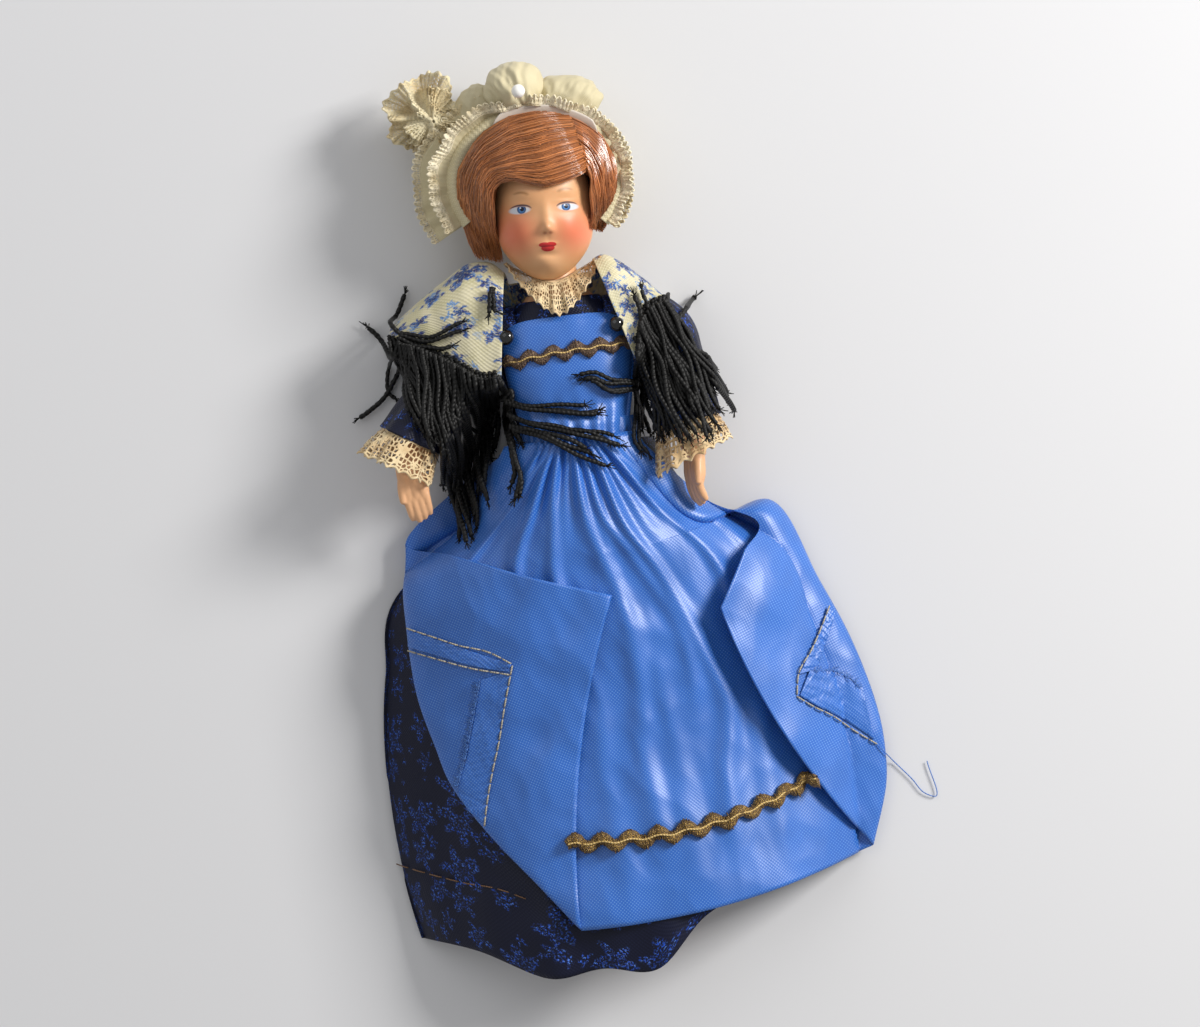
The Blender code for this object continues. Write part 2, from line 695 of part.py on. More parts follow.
def build_arm(word, side, splay, hand_turn, skin):
    """Moulded arm with a hollow cup at the shoulder and a hand with separate fingers."""

    def radius_at(distance, angle):
        return through(
            [
                (0, SEAT_RADIUS - 0.1 * MM),
                (0.2 * ARM_LENGTH, SEAT_RADIUS - 0.4 * MM),
                (0.55 * ARM_LENGTH, ELBOW_RADIUS),
                (0.8 * ARM_LENGTH, ELBOW_RADIUS - 0.4 * MM),
                (ARM_LENGTH, WRIST_RADIUS),
            ],
            distance,
        )

    arm = arm_tube(
        f"{word}_arm", side, splay, 0, ARM_LENGTH, radius_at, skin, capped=True, sides=10, rings=8
    )
    middle, across = arm_frame(side, splay, np.array([ARM_LENGTH - 1.2 * MM]))
    wrist = middle[0]
    heading = -math.pi / 2 - side * (math.pi / 2 - splay - math.pi / 2) + hand_turn
    along = np.array([math.cos(heading), math.sin(heading), 0.02])
    along /= np.linalg.norm(along)
    wide = np.cross(along, [0, 0, 1.0])
    wide /= np.linalg.norm(wide)
    thick = np.cross(wide, along)
    palm_centre = wrist + along * PALM_LENGTH * 0.45

    def hand_place(u, v):
        """The palm: an ellipse carried along the hand, widest at the knuckles."""
        way = v * PALM_LENGTH
        angle = 2 * math.pi * u
        swell = through([(0, 0.72), (0.35, 0.9), (0.75, 1.0), (1, 0.86)], v)
        half_width = PALM_WIDTH / 2 * swell
        half_thick = PALM_THICKNESS / 2 * through([(0, 1.3), (0.5, 1.0), (1, 0.8)], v)
        return (
            wrist
            + way[:, None] * along
            + (half_width * np.cos(angle))[:, None] * wide
            + (half_thick * np.sin(angle))[:, None] * thick
        )

    palm = mapped_grid(f"{word}_palm_form", 10, 3, hand_place, closed=True, capped=True)
    pieces = [palm]
    for finger in range(4):
        share = (finger - 1.5) / 1.5
        root = wrist + along * PALM_LENGTH * 0.86 + wide * share * (PALM_WIDTH / 2 - FINGER_RADIUS)
        reach = FINGER_LENGTH * (1 - 0.18 * abs(share - 0.2))
        tip = root + along * reach + wide * share * 0.5 * MM - thick * 0.9 * MM
        name = f"{word}_finger_{finger}_form"
        pieces.append(rod(name, root, tip, FINGER_RADIUS * 1.12, FINGER_RADIUS * 0.75, sides=5))
    thumb_root = palm_centre - side * wide * (PALM_WIDTH / 2 - 0.8 * MM) + thick * 0.3 * MM
    thumb_tip = thumb_root + along * 0.62 * FINGER_LENGTH - side * wide * 1.5 * MM + thick * 0.6 * MM
    name = f"{word}_thumb_form"
    pieces.append(rod(name, thumb_root, thumb_tip, FINGER_RADIUS * 1.25, FINGER_RADIUS * 0.85, sides=5))
    boolean(arm, pieces, "UNION")
    inner = side * (SEAT_X + GAP)
    cup = ellipsoid(
        f"{word}_shoulder_cup",
        (inner + side * (CUP_FLOOR + CUP_RADIUS), SHOULDER_Y - 0.4 * MM, BODY_Z),
        [CUP_RADIUS] * 3,
        sides=10,
        rings=6,
    )
    mouth = rod(
        f"{word}_cup_mouth",
        (inner + side * CUP_FLOOR, SHOULDER_Y, BODY_Z),
        (inner + side * (CUP_FLOOR + CUP_RADIUS), SHOULDER_Y, BODY_Z),
        KNOT_RADIUS + 2 * GAP,
        sides=10,
    )
    hole = rod(
        f"{word}_elastic_hole",
        (inner - side * MM, SHOULDER_Y, BODY_Z),
        (inner + side * (CUP_FLOOR + MM), SHOULDER_Y, BODY_Z),
        ELASTIC_HOLE_RADIUS,
        sides=10,
    )
    boolean(arm, [cup, mouth, hole])
    return arm


def build_sleeve(word, side, splay, brocade):
    def radius_at(distance, angle):
        fullness = np.clip(distance / SLEEVE_LENGTH, 0, 1)
        fold = 0.22 * MM * fullness * np.cos(5 * angle + 1.0)
        return SLEEVE_RADIUS + 0.25 * MM * fullness**2 + fold

    name = f"{word}_sleeve"
    sleeve = arm_tube(name, side, splay, 0, SLEEVE_LENGTH, radius_at, brocade, sides=14, rings=6)
    thicken(sleeve, CLOTH)
    return sleeve


def build_cuff(word, side, splay, lace):
    """Gathered lace that flares from the end of the sleeve over the hand."""
    start = SLEEVE_LENGTH + GAP

    def radius_at(distance, angle):
        share = (distance - start) / CUFF_LENGTH
        wave = CUFF_WAVE * share * np.cos(CUFF_SCALLOPS * angle)
        inner = SLEEVE_RADIUS - 0.6 * MM
        return inner + (CUFF_RADIUS - inner) * share**0.7 + wave

    name, end = f"{word}_cuff", start + CUFF_LENGTH
    cuff = arm_tube(name, side, splay, start, end, radius_at, lace, sides=3 * CUFF_SCALLOPS, rings=2)
    thicken(cuff, LACE)
    return cuff


def build_bodice(brocade):
    low, high = SKIRT_TOP_Y - 2 * MM, TRUNK_TOP_Y - 1.2 * MM
    bodice = trunk_tube("bodice", low, high, GAP, brocade, sides=22, rings=7)
    thicken(bodice, CLOTH)
    armholes = rod(
        "armholes",
        (-SEAT_X - MM, SHOULDER_Y, BODY_Z),
        (SEAT_X + MM, SHOULDER_Y, BODY_Z),
        SEAT_RADIUS + 2 * GAP,
        sides=16,
    )
    boolean(bodice, armholes)
    return bodice


def over_bodice():
    return 2 * GAP + CLOTH


def build_collar(lace):
    """Gathered lace that stands round the neck and lies on the top of the bodice, deepest in front."""

    def place(u, v):
        angle = -2 * math.pi * u
        drop = COLLAR_DROP * (0.36 + 0.64 * np.clip(np.sin(angle), 0, 1))
        y = TRUNK_TOP_Y + 0.6 * MM - drop * v
        wave = 0.25 * MM * np.cos(13 * angle) * v
        point = trunk_point(angle, np.minimum(y, TRUNK_TOP_Y), over_bodice() + (0.5 + 0.9 * v) * MM + wave)
        point[:, 1] = y
        return point

    collar = mapped_grid("collar", 39, 2, place, lace, closed=True)
    thicken(collar, LACE)
    return collar


def shawl_section(share, x):
    """Points of the shawl over one side, from its front edge (0) over the shoulder to its back edge (1)."""
    reach = np.clip(np.abs(x) / SHAWL_HALF_WIDTH, 0, 1)
    top_y = SHAWL_TOP_Y + through(
        [(0, 0), (0.4, 0), (0.6, SHAWL_SHOULDER_RISE), (0.8, 0), (1, -4.5 * MM)], reach
    )
    front_z = SHAWL_FRONT_Z + 0 * x
    back_y = SHAWL_BACK_POINT_Y + (SHOULDER_Y - SHAWL_BACK_POINT_Y) * reach
    front_y = SHAWL_FRONT_Y + 9.0 * MM * np.clip((np.abs(x) - SHAWL_OPENING) / SHAWL_HALF_WIDTH, 0, 1)
    stations_y = [
        front_y,
        SHOULDER_Y + 0 * x,
        top_y - 3 * MM,
        top_y,
        top_y - 1.5 * MM,
        SHOULDER_Y + 3 * MM + 0 * x,
        back_y,
    ]
    low = CLOTH / 2 + GAP
    stations_z = [
        front_z,
        front_z + 0.3 * MM,
        front_z - 3.0 * MM,
        0.5 * front_z,
        low + 2.0 * MM + 0 * x,
        low + 0 * x,
        low + 0 * x,
    ]
    place = share * (len(stations_y) - 1)
    low_index = np.clip(np.floor(place).astype(int), 0, len(stations_y) - 2)
    t = place - low_index
    rows = np.arange(len(x))

    def smooth(stations):
        values = np.stack(stations)
        slopes = np.gradient(values, axis=0)
        first, second = values[low_index, rows], values[low_index + 1, rows]
        leave, arrive = slopes[low_index, rows], slopes[low_index + 1, rows]
        return (
            (2 * t**3 - 3 * t**2 + 1) * first
            + (t**3 - 2 * t**2 + t) * leave
            + (3 * t**2 - 2 * t**3) * second
            + (t**3 - t**2) * arrive
        )

    return np.stack([x, smooth(stations_y), np.maximum(smooth(stations_z), low)], axis=-1)


def build_shawl(cotton):
    """Cotton shawl laid round the back of the neck, over both shoulders, its point down the back."""

    def place(u, v):
        x = SHAWL_HALF_WIDTH * (2 * u - 1)
        edge = np.clip((SHAWL_OPENING - np.abs(x)) / SHAWL_OPENING, 0, 1)
        opening = [(0, 0), (0.14, 0.24), (0.26, 0.42), (0.37, 0.56), (0.55, 0.64), (1, 0.64)]
        start = through(opening, edge)
        return shawl_section(start + (1 - start) * v, x)

    shawl = mapped_grid("shawl", 22, 9, place, cotton)
    thicken(shawl, CLOTH, offset=0.0)
    return shawl


def fringe(name, header, cords, silk):
    """A knotted header with the cords that leave it, given as lists of points in millimetres."""
    main = tube_through(name, header, FRINGE_HEADER_RADIUS, silk)
    for number, points in enumerate(cords):
        cord = tube_through(f"{name}_cord_{number}", points, CORD_RADIUS)
        boolean(main, cord, "UNION")
    return main


def tube_through(name, points, radius, finish=None, sides=5, steps_per_span=1):
    """A round tube through the points, in millimetres, with rings on a smooth curve and domed ends."""
    knots = np.array(points, float) * MM
    count = len(knots)
    rings = steps_per_span * (count - 1) + 2
    lengths = np.concatenate([[0], np.cumsum(np.linalg.norm(np.diff(knots, axis=0), axis=1))])

    def place(u, v):
        step = np.round(v * rings)
        way = np.clip((step - 1) / (rings - 2), 0, 1) * lengths[-1]
        middle = np.stack([through(list(zip(lengths, knots[:, k])), way) for k in range(3)], axis=-1)
        nearby = np.clip(way + 0.02 * lengths[-1], 0, lengths[-1])
        before = np.clip(way - 0.02 * lengths[-1], 0, lengths[-1])
        ahead = np.stack([through(list(zip(lengths, knots[:, k])), nearby) for k in range(3)], axis=-1)
        behind = np.stack([through(list(zip(lengths, knots[:, k])), before) for k in range(3)], axis=-1)
        along = ahead - behind
        along /= np.linalg.norm(along, axis=1)[:, None]
        side = np.cross(along, [0.0, 0.0, 1.0])
        side /= np.linalg.norm(side, axis=1)[:, None]
        up = np.cross(side, along)
        angle = 2 * math.pi * u
        ends = (step == 0) | (step == rings)
        size = np.where(ends, 0.45 * radius, radius)[:, None]
        push = np.where(step == 0, -0.6, np.where(step == rings, 0.6, 0.0))[:, None] * radius
        return middle + push * along + size * (np.cos(angle)[:, None] * side + np.sin(angle)[:, None] * up)

    return mapped_grid(name, sides, rings, place, finish, closed=True, capped=True)


def hanging_cords(header, count, drop, lean, level):
    """Cords that leave the header at equal steps and fall towards the feet.

    The drop and the sideways lean are curves of (place along the header, millimetres); each cord
    arches over the sleeve to the given level and ends a little lower.
    """
    points = np.array(header, float)
    lengths = np.concatenate([[0], np.cumsum(np.linalg.norm(np.diff(points, axis=0), axis=1))])
    cords = []
    for place in np.linspace(0.03, 0.97, count):
        way = np.array([place * lengths[-1]])
        x, y, z = (through(list(zip(lengths, points[:, axis])), way)[0] for axis in range(3))
        fall = through(drop, np.array([place]))[0]
        side = through(lean, np.array([place]))[0]
        middle = (x + 0.35 * side, y - 0.5 * fall, level)
        cords.append([(x, y + 0.4, z), middle, (x + side, y - fall, level - 0.8)])
    return cords


def build_fringes(silk):
    """The shawl's fringe: a bunch over each arm, and the few cords that fall over the bib."""
    header = [(-30.5, 35.5, 19.8), (-26, 35.0, 19.8), (-20, 31.5, 19.8), (-15.8, 25.5, 19.8)]
    drop = [(0, 19), (0.2, 34), (0.45, 41), (0.7, 34), (1, 18)]
    cords = hanging_cords(header, 8, drop, [(0, -3.0), (0.3, 0.5), (1, -0.6)], 21.2)
    strays = [
        [(-29.5, 34.8, 19.8), (-31, 39, 19.6), (-29.8, 43, 19.2)],
        [(-30, 35, 19.8), (-33.5, 33, 19.2), (-37.2, 37.5, 18.6)],
        [(-30, 35, 19.8), (-33, 27, 19.8), (-36, 22.5, 19.4), (-41, 20.5, 18.6)],
    ]
    fringe("right_fringe", header, cords + strays, silk)

    header = [(-11.9, 22.5, 20.6), (-11.7, 14.5, 20.9), (-11.5, 9.5, 20.9)]
    over_bib = [
        [(-11.9, 19.5, 20.7), (-5, 17.4, 21.2), (4.5, 16.2, 21.0)],
        [(-11.9, 17, 20.8), (-4, 15.4, 21.2), (7.5, 11.5, 21.2)],
        [(-11.7, 14.5, 20.9), (-5, 12.8, 21.4), (2.5, 9.2, 21.4)],
        [(-11.6, 11, 20.9), (-11.0, 5.0, 21.3), (-11.4, 1.0, 21.3)],
    ]
    fringe("right_front_fringe", header, over_bib, silk)

    header = [(15.6, 33.0, 19.8), (18.5, 30.0, 19.8), (21.5, 26.0, 19.8), (23.5, 22.0, 19.8)]
    cords = hanging_cords(header, 5, [(0, 19), (0.5, 18), (1, 13)], [(0, 0.4), (1, 4.5)], 21.0)
    strays = [
        [(16.0, 33, 19.8), (16.4, 36.5, 19.6)],
        [(20, 28, 19.8), (24, 28.5, 19.6), (28.5, 30.0, 19.0)],
    ]
    fringe("left_fringe", header, cords + strays, silk)

    header = [(12.0, 22.4, 19.4), (12.0, 17.6, 19.4)]
    over_bib = [
        [(12.0, 20.6, 19.4), (7.5, 22.4, 19.7), (2, 24.2, 19.7)],
        [(12.0, 18.6, 19.4), (8.5, 19.6, 19.7), (4, 21.6, 19.7)],
    ]
    fringe("left_front_fringe", header, over_bib, silk)


def hem_y(x):
    """Level of the skirt's hem over x; it hangs lowest on the doll's right."""
    return through(
        [
            (-45 * MM, -80.0 * MM),
            (-30 * MM, -84.4 * MM),
            (-18 * MM, -90.8 * MM),
            (-7 * MM, -90.0 * MM),
            (4 * MM, -91.0 * MM),
            (13 * MM, -82.5 * MM),
            (25 * MM, -78.0 * MM),
            (45 * MM, -73.0 * MM),
        ],
        x,
    )


def skirt_half_width(y, side):
    """Half width of the skirt at a level, to the doll's right (-1) or left (1)."""
    top = [(SKIRT_TOP_Y + 4 * MM, 13 * MM), (SKIRT_TOP_Y, SKIRT_TOP_HALF_WIDTH), (5 * MM, 17.4 * MM)]
    right = [
        (0, 20 * MM),
        (-4 * MM, 22.5 * MM),
        (-14 * MM, 37 * MM),
        (-30 * MM, 41.9 * MM),
        (-60 * MM, 44.4 * MM),
        (-81 * MM, 41 * MM),
        (-94 * MM, 37 * MM),
    ]
    left = [
        (0, 20 * MM),
        (-4 * MM, 22.0 * MM),
        (-14 * MM, 34 * MM),
        (-30 * MM, 39 * MM),
        (-60 * MM, 43 * MM),
        (-81 * MM, 42 * MM),
        (-94 * MM, 40 * MM),
    ]
    to_right, to_left = through(top + right, y), through(top + left, y)
    return np.where(side < 0, to_right, to_left)


def skirt_crest(y):
    """Height of the skirt's front over the body's middle."""
    top = BODY_Z + trunk_half(np.array([SKIRT_TOP_Y]), 0)[1][0] + over_bodice() + CLOTH
    return through(
        [
            (SKIRT_TOP_Y + 4 * MM, top),
            (SKIRT_TOP_Y, top),
            (0, SKIRT_FRONT_Z),
            (-20 * MM, SKIRT_FRONT_Z - 1.0 * MM),
            (-48 * MM, SKIRT_FRONT_Z - 2.2 * MM),
            (-70 * MM, SKIRT_FRONT_Z - 0.4 * MM),
            (-81 * MM, SKIRT_FRONT_Z + 0.8 * MM),
            (-94 * MM, SKIRT_FRONT_Z - 1.5 * MM),
        ],
        y,
    )


def skirt_back(y):
    """Height of the skirt's back, which leaves the surface towards the waist."""
    return SKIRT_BACK_RISE * np.clip((y - SKIRT_FLAT_Y) / (SKIRT_TOP_Y - SKIRT_FLAT_Y), 0, 1)


def skirt_height(x, y):
    """Height of the skirt's front over (x, y), without its folds; nought outside its outline."""
    half = skirt_half_width(y, np.sign(x))
    share = np.clip(np.abs(x) / half, 0, 1)
    side = skirt_back(y) + SKIRT_SIDE_Z
    slope = through([(SKIRT_TOP_Y, 0.417), (5 * MM, 0.45), (0, 0.6), (-8 * MM, 0.8), (-94 * MM, 0.8)], y)
    height = side + (skirt_crest(y) - side) * (1 - share**2.3) ** slope
    return np.where(share < 1, height, 0)


def build_skirt(brocade):
    """Gathered skirt: its back lies flat on the surface, its front falls from the body to both sides."""

    def wall_point(angle, down, inset):
        share = np.cos(angle)
        level = SKIRT_TOP_Y + down**1.18 * (hem_y(40 * MM * share) - SKIRT_TOP_Y)
        x = (skirt_half_width(level, np.sign(share + 1e-9)) - 2.4 * inset) * share
        folds = SKIRT_FOLD * down * np.cos(SKIRT_FOLDS * math.pi * share) * np.sin(angle) ** 2
        top = skirt_height(x * 0.9999, level) + folds - inset
        edge = np.clip((np.abs(share) - 0.9) / 0.1, 0, 1)
        bottom = skirt_back(level) + SKIRT_SIDE_Z * edge**2 + inset * (1 - edge)
        front = np.sin(angle) > 1e-6
        return np.stack([x, level, np.where(front, np.maximum(top, bottom), bottom)], axis=-1)

    return double_wall("skirt", 38, 9, wall_point, CLOTH, brocade)


def build_waistband(name, grow, thickness, finish):
    low, high = WAIST_Y - BAND_HEIGHT / 2, WAIST_Y + BAND_HEIGHT / 2
    band = trunk_tube(name, low, high, grow, finish, sides=26, rings=1)
    thicken(band, thickness)
    return band


def curve_at(stations, down):
    """A point of a curve on the apron, from (way down the cloth, x, y) stations in millimetres."""
    x = through([(way, across) for way, across, _ in stations], down) * MM
    y = through([(way, along) for way, _, along in stations], down) * MM
    return x, y


def apron_point(across, down, lift=0.0):
    """A point of the apron cloth laid over the skirt.

    Between the two folds the cloth lies on the skirt and sags towards the hem; outside them it turns
    back over itself, right to the cloth's own side edges.
    """
    fold = 0.2
    right_x, right_y = curve_at(APRON_RIGHT_FOLD, down)
    left_x, left_y = curve_at(APRON_LEFT_FOLD, down)
    share = np.clip((across - fold) / (1 - 2 * fold), 0, 1)
    x = right_x + (left_x - right_x) * share
    y = right_y + (left_y - right_y) * share
    y = y - 4 * share * (1 - share) * through(APRON_SAG, down) * MM
    turned_right = np.clip(1 - across / fold, 0, 1)
    turned_left = np.clip((across - 1 + fold) / fold, 0, 1)
    edge_x, edge_y = curve_at(APRON_RIGHT_EDGE, down)
    x = x + (edge_x - x) * turned_right
    y = y + (edge_y - y) * turned_right
    edge_x, edge_y = curve_at(APRON_LEFT_EDGE, down)
    x = x + (edge_x - x) * turned_left
    y = y + (edge_y - y) * turned_left
    free = np.clip(3 * down, 0, 1)
    flap = APRON_FLAP_LIFT * np.sin(0.5 * math.pi * turned_right) ** 0.6
    curl = APRON_CURL * np.sin(0.5 * math.pi * turned_left) ** 0.6
    gathers = 0.3 * MM * np.cos(2 * math.pi * APRON_GATHERS * across) * np.clip(1 - 2.2 * down, 0, 1)
    height = np.maximum(skirt_height(0.95 * x, y - MM), 0.3 * MM) + SKIRT_FOLD + APRON_LIFT
    return np.stack([x, y, height + free * (flap + curl) + gathers + lift], axis=-1)


def build_apron(taffeta):
    """Gathered apron with both lower corners folded over, wrong side up."""
    apron = mapped_grid("apron", 26, 13, apron_point, taffeta)
    thicken(apron, CLOTH, offset=0.0)
    return apron


def bib_point(across, y, lift=0.0):
    """A point of the bib, which lies on the front of the bodice."""
    left = through([(WAIST_Y, -9.6 * MM), (CHEST_Y, -11.6 * MM), (BIB_TOP_Y, -12.2 * MM)], y)
    right = through([(WAIST_Y, 10.6 * MM), (CHEST_Y, 13.0 * MM), (BIB_TOP_Y, 12.6 * MM)], y)
    x = left + (right - left) * across
    z = bodice_front(x, y) + GAP + CLOTH / 2 + lift
    return np.stack([x, y, z], axis=-1)


def bib_edge_y(across):
    """The bib's top edge: nearly straight, dropping at both pinned corners."""
    return BIB_TOP_Y - 2.6 * MM * np.abs(2 * across - 1) ** 5


def bodice_front(x, y):
    """Height of the bodice's front over (x, y), and of the shoulder seats where they stand through it."""
    seat = np.sqrt(np.clip(SEAT_RADIUS**2 - (y - SHOULDER_Y) ** 2, 0, None))
    rise = np.clip((np.abs(x) - 0.6 * SHOULDER_HALF_WIDTH) / (0.2 * SHOULDER_HALF_WIDTH), 0, 1)
    cloth = trunk_front(x, y, GAP + CLOTH) + 0.1 * MM
    return np.maximum(cloth, BODY_Z + seat * rise)


def bib_bottom_y():
    return WAIST_Y + BAND_HEIGHT / 2 + GAP


def build_bib(taffeta):
    def place(u, v):
        y = bib_bottom_y() + (bib_edge_y(u) - bib_bottom_y()) * v
        return bib_point(u, y)

    bib = mapped_grid("apron_bib", 14, 8, place, taffeta)
    thicken(bib, CLOTH, offset=0.0)
    for side in (-1, 1):
        x = side * PIN_X
        hole = rod(
            f"pin_hole_{'right' if side < 0 else 'left'}",
            (x, PIN_Y, BODY_Z),
            (x, PIN_Y, BODY_Z + 16 * MM),
            PIN_SHANK_RADIUS + GAP,
            sides=10,
        )
        boolean(bib, hole)
    return bib


def build_braid(name, length, place_at, finish):
    """Scalloped flat braid; place_at(way, side) gives a point, side being -1 to 1 over its width."""
    scallops = max(2, round(length / BRAID_PITCH))

    def place(u, v):
        wave = np.cos(2 * math.pi * scallops * u)
        side = (2 * v - 1) * (0.72 + 0.28 * np.where(v > 0.5, wave, -wave))
        return place_at(u, side)

    braid = mapped_grid(name, 4 * scallops, 2, place, finish)
    thicken(braid, BRAID_THICKNESS, offset=0.0)
    return braid


def build_braids(gold):
    lift = CLOTH / 2 + GAP + BRAID_THICKNESS / 2

    def on_bib(way, side):
        y = BIB_BRAID_Y + 1.0 * MM * np.sin(math.pi * way) + side * BRAID_WIDTH / 2
        return bib_point(0.03 + 0.94 * way, y, lift)

    build_braid("bib_braid", 24 * MM, on_bib, gold)

    def on_apron(way, side):
        return apron_point(0.4 + 0.31 * way, 0.795 - side * 0.0195, lift + 0.25 * MM)

    build_braid("hem_braid", 50 * MM, on_apron, gold)


def build_pins(glass):
    for side, word in ((-1, "right"), (1, "left")):
        x = side * PIN_X
        surface = bodice_front(np.array([x]), np.array([PIN_Y]))[0]
        under = surface + GAP
        over = surface + 2 * GAP + CLOTH + 0.3 * MM
        pin = ellipsoid(
            f"{word}_bead_pin",
            (x, PIN_Y, over + PIN_HEAD_RADIUS),
            [PIN_HEAD_RADIUS] * 3,
            glass,
            sides=14,
            rings=8,
        )
        shank = rod(
            f"{word}_pin_shank_form",
            (x, PIN_Y, under),
            (x, PIN_Y, over + PIN_HEAD_RADIUS),
            PIN_SHANK_RADIUS,
            sides=8,
        )
        boolean(pin, shank, "UNION")


def wig_radii(grow):
    return (WIG_HALF_WIDTH + grow, WIG_HALF_HEIGHT + grow, WIG_HALF_DEPTH + grow)


def build_wig(hair):
    """Mohair wig: a full cap of hair round the skull, open at the face and the neck."""
    wig = ellipsoid("wig", (WIG_X, WIG_Y, WIG_Z), wig_radii(0), hair, sides=22, rings=13)
    head_room = skull("wig_head_room", GAP, sides=20, rings=12)
    opening_centre = HAIRLINE_Y - FACE_OPENING_HEIGHT
    edit = bmesh.new()
    bmesh.ops.create_cone(edit, cap_ends=True, segments=20, radius1=1, radius2=1, depth=30 * MM)
    bmesh.ops.scale(edit, vec=(FACE_OPENING_HALF_WIDTH, FACE_OPENING_HEIGHT, 1), verts=edit.verts)
    bmesh.ops.translate(edit, vec=(0, opening_centre, FACE_OPENING_Z + 15 * MM), verts=edit.verts)
    opening = object_of("face_opening", edit)
    neck_room = rod(
        "wig_neck_room",
        (0, NECK_BALL_Y, BODY_Z),
        (0, HEAD_Y, BODY_Z),
        NECK_RADIUS + GAP,
        sides=12,
    )
    boolean(wig, [head_room, opening, neck_room])
    return wig


def crown_puffs():
    """Centres and half sizes of the two puffs at the top of the bonnet, in metres."""
    return (
        ("crown_puff_right", (-3.6 * MM, 77.4 * MM, 12.4 * MM), (7.0 * MM, 7.0 * MM, 8.6 * MM)),
        ("crown_puff_left", (5.4 * MM, 77.0 * MM, 12.0 * MM), (6.4 * MM, 6.4 * MM, 7.8 * MM)),
    )


def build_bonnet_crown(organdy):
    """The cap behind the hair with its puffed top, flat where it lies, open where the frills pass."""
    outer = CAP_THICKNESS + GAP
    middle = (WIG_X, WIG_Y, WIG_Z)
    crown = ellipsoid("bonnet_crown", middle, wig_radii(outer + 0.6 * MM), organdy, sides=20, rings=11)
    for name, centre, radii in crown_puffs():
        boolean(crown, ellipsoid(name, centre, radii, sides=12, rings=8), "UNION")
    hair_room = ellipsoid("crown_hair_room", middle, wig_radii(2 * GAP), sides=18, rings=11)
    far = 60 * MM
    frills_low, frills_high = FRILL_LOW_Z - GAP - FRILL_WAVE, FRILL_HIGH_Z + GAP + FRILL_WAVE
    front_y = WIG_Y + WIG_HALF_HEIGHT - 2 * MM
    front = box("crown_front_cut", (-far, 0, frills_low), (far, front_y, far))
    channel_y = WIG_Y + WIG_HALF_HEIGHT + FRILL_TOP_REACH
    channel = box("crown_frill_cut", (-far, 0, frills_low), (far, channel_y, frills_high))
    nape = box("crown_nape_cut", (-far, 0, -far), (far, CAP_NAPE_Y, far))
    under = box("crown_floor_cut", (-far, 0, -far), (far, 2 * far, 0))
    boolean(crown, [hair_room, bpy.data.objects["wig_head_room"], front, channel, nape, under])
    return crown


def rim_point(angle, outward, z):
    """A point outside the hair's outline as seen from above, at a height."""
    x = WIG_X + (WIG_HALF_WIDTH + GAP + outward) * np.cos(angle)
    y = WIG_Y + (WIG_HALF_HEIGHT + GAP + outward) * np.sin(angle)
    return np.stack([x, y, z], axis=-1)


def frill_reach(angle, width):
    """Width of a frill round the face: full on the doll's right, narrow on its left."""
    return width * (0.58 - 0.42 * np.cos(angle))


def build_frill(name, width, high_z, finish, edging=False):
    """A gathered strip round the hair, from one side of the neck over the crown to the other.

    Its inner edge lies FRILL_BASE outside the hair; an edging follows its outer edge.
    """
    low_z = high_z[0]

    def place(u, v):
        angle = np.radians(FRILL_LEFT_DEG + (FRILL_RIGHT_DEG - FRILL_LEFT_DEG) * u)
        share = 1 + 0 * v if edging else v
        beyond = FRILL_BASE + GAP + LACE_WIDTH * v if edging else FRILL_BASE
        wave = FRILL_WAVE * np.sin(FRILL_WAVES * 2 * math.pi * u) * share
        z = low_z + (high_z[1] - low_z) * share + wave
        return rim_point(angle, beyond + frill_reach(angle, width) * share, z)

    frill = mapped_grid(name, 4 * FRILL_WAVES, 1, place, finish)
    thicken(frill, LACE, offset=0.0)
    return frill


def build_bonnet(organdy, lace, satin, pearl):
    build_bonnet_crown(organdy)
    inner = (FRILL_HIGH_Z - 2.2 * MM, FRILL_HIGH_Z)
    outer = (FRILL_LOW_Z + 0.4 * MM, FRILL_LOW_Z)
    build_frill("bonnet_inner_frill", INNER_FRILL_WIDTH, inner, organdy)
    build_frill("bonnet_outer_frill", OUTER_FRILL_WIDTH, outer, organdy)
    build_frill("bonnet_inner_lace", INNER_FRILL_WIDTH, inner, lace, edging=True)
    build_frill("bonnet_outer_lace", OUTER_FRILL_WIDTH, outer, lace, edging=True)

    def satin_place(u, v):
        angle = np.radians(10 + 160 * u)
        return rim_point(angle, 0 * MM, FRILL_LOW_Z + 1.5 * MM + SATIN_WIDTH * v)

    band = mapped_grid("bonnet_band", 24, 1, satin_place, satin)
    thicken(band, SATIN_THICKNESS)

    def rosette_place(u, v):
        angle = 2 * math.pi * u
        radius = ROSETTE_RADIUS * (0.16 + 0.84 * v)
        x = ROSETTE_X + radius * np.cos(angle) * 0.85
        y = ROSETTE_Y + radius * np.sin(angle)
        z = ROSETTE_Z + 1.6 * MM * v * np.sin(7 * angle) + 1.5 * MM * (1 - v)
        return np.stack([x, y, z], axis=-1)

    rosette = mapped_grid("bonnet_rosette", 28, 2, rosette_place, lace, closed=True)
    thicken(rosette, LACE, offset=0.0)
    _, centre, radii = crown_puffs()[0]
    top = centre[2] + radii[2]
    place = (centre[0] + 1.0 * MM, centre[1] + 0.6 * MM, top + GAP / 2 + PEARL_RADIUS)
    ellipsoid("bonnet_pearl", place, [PEARL_RADIUS] * 3, pearl, sides=14, rings=8)


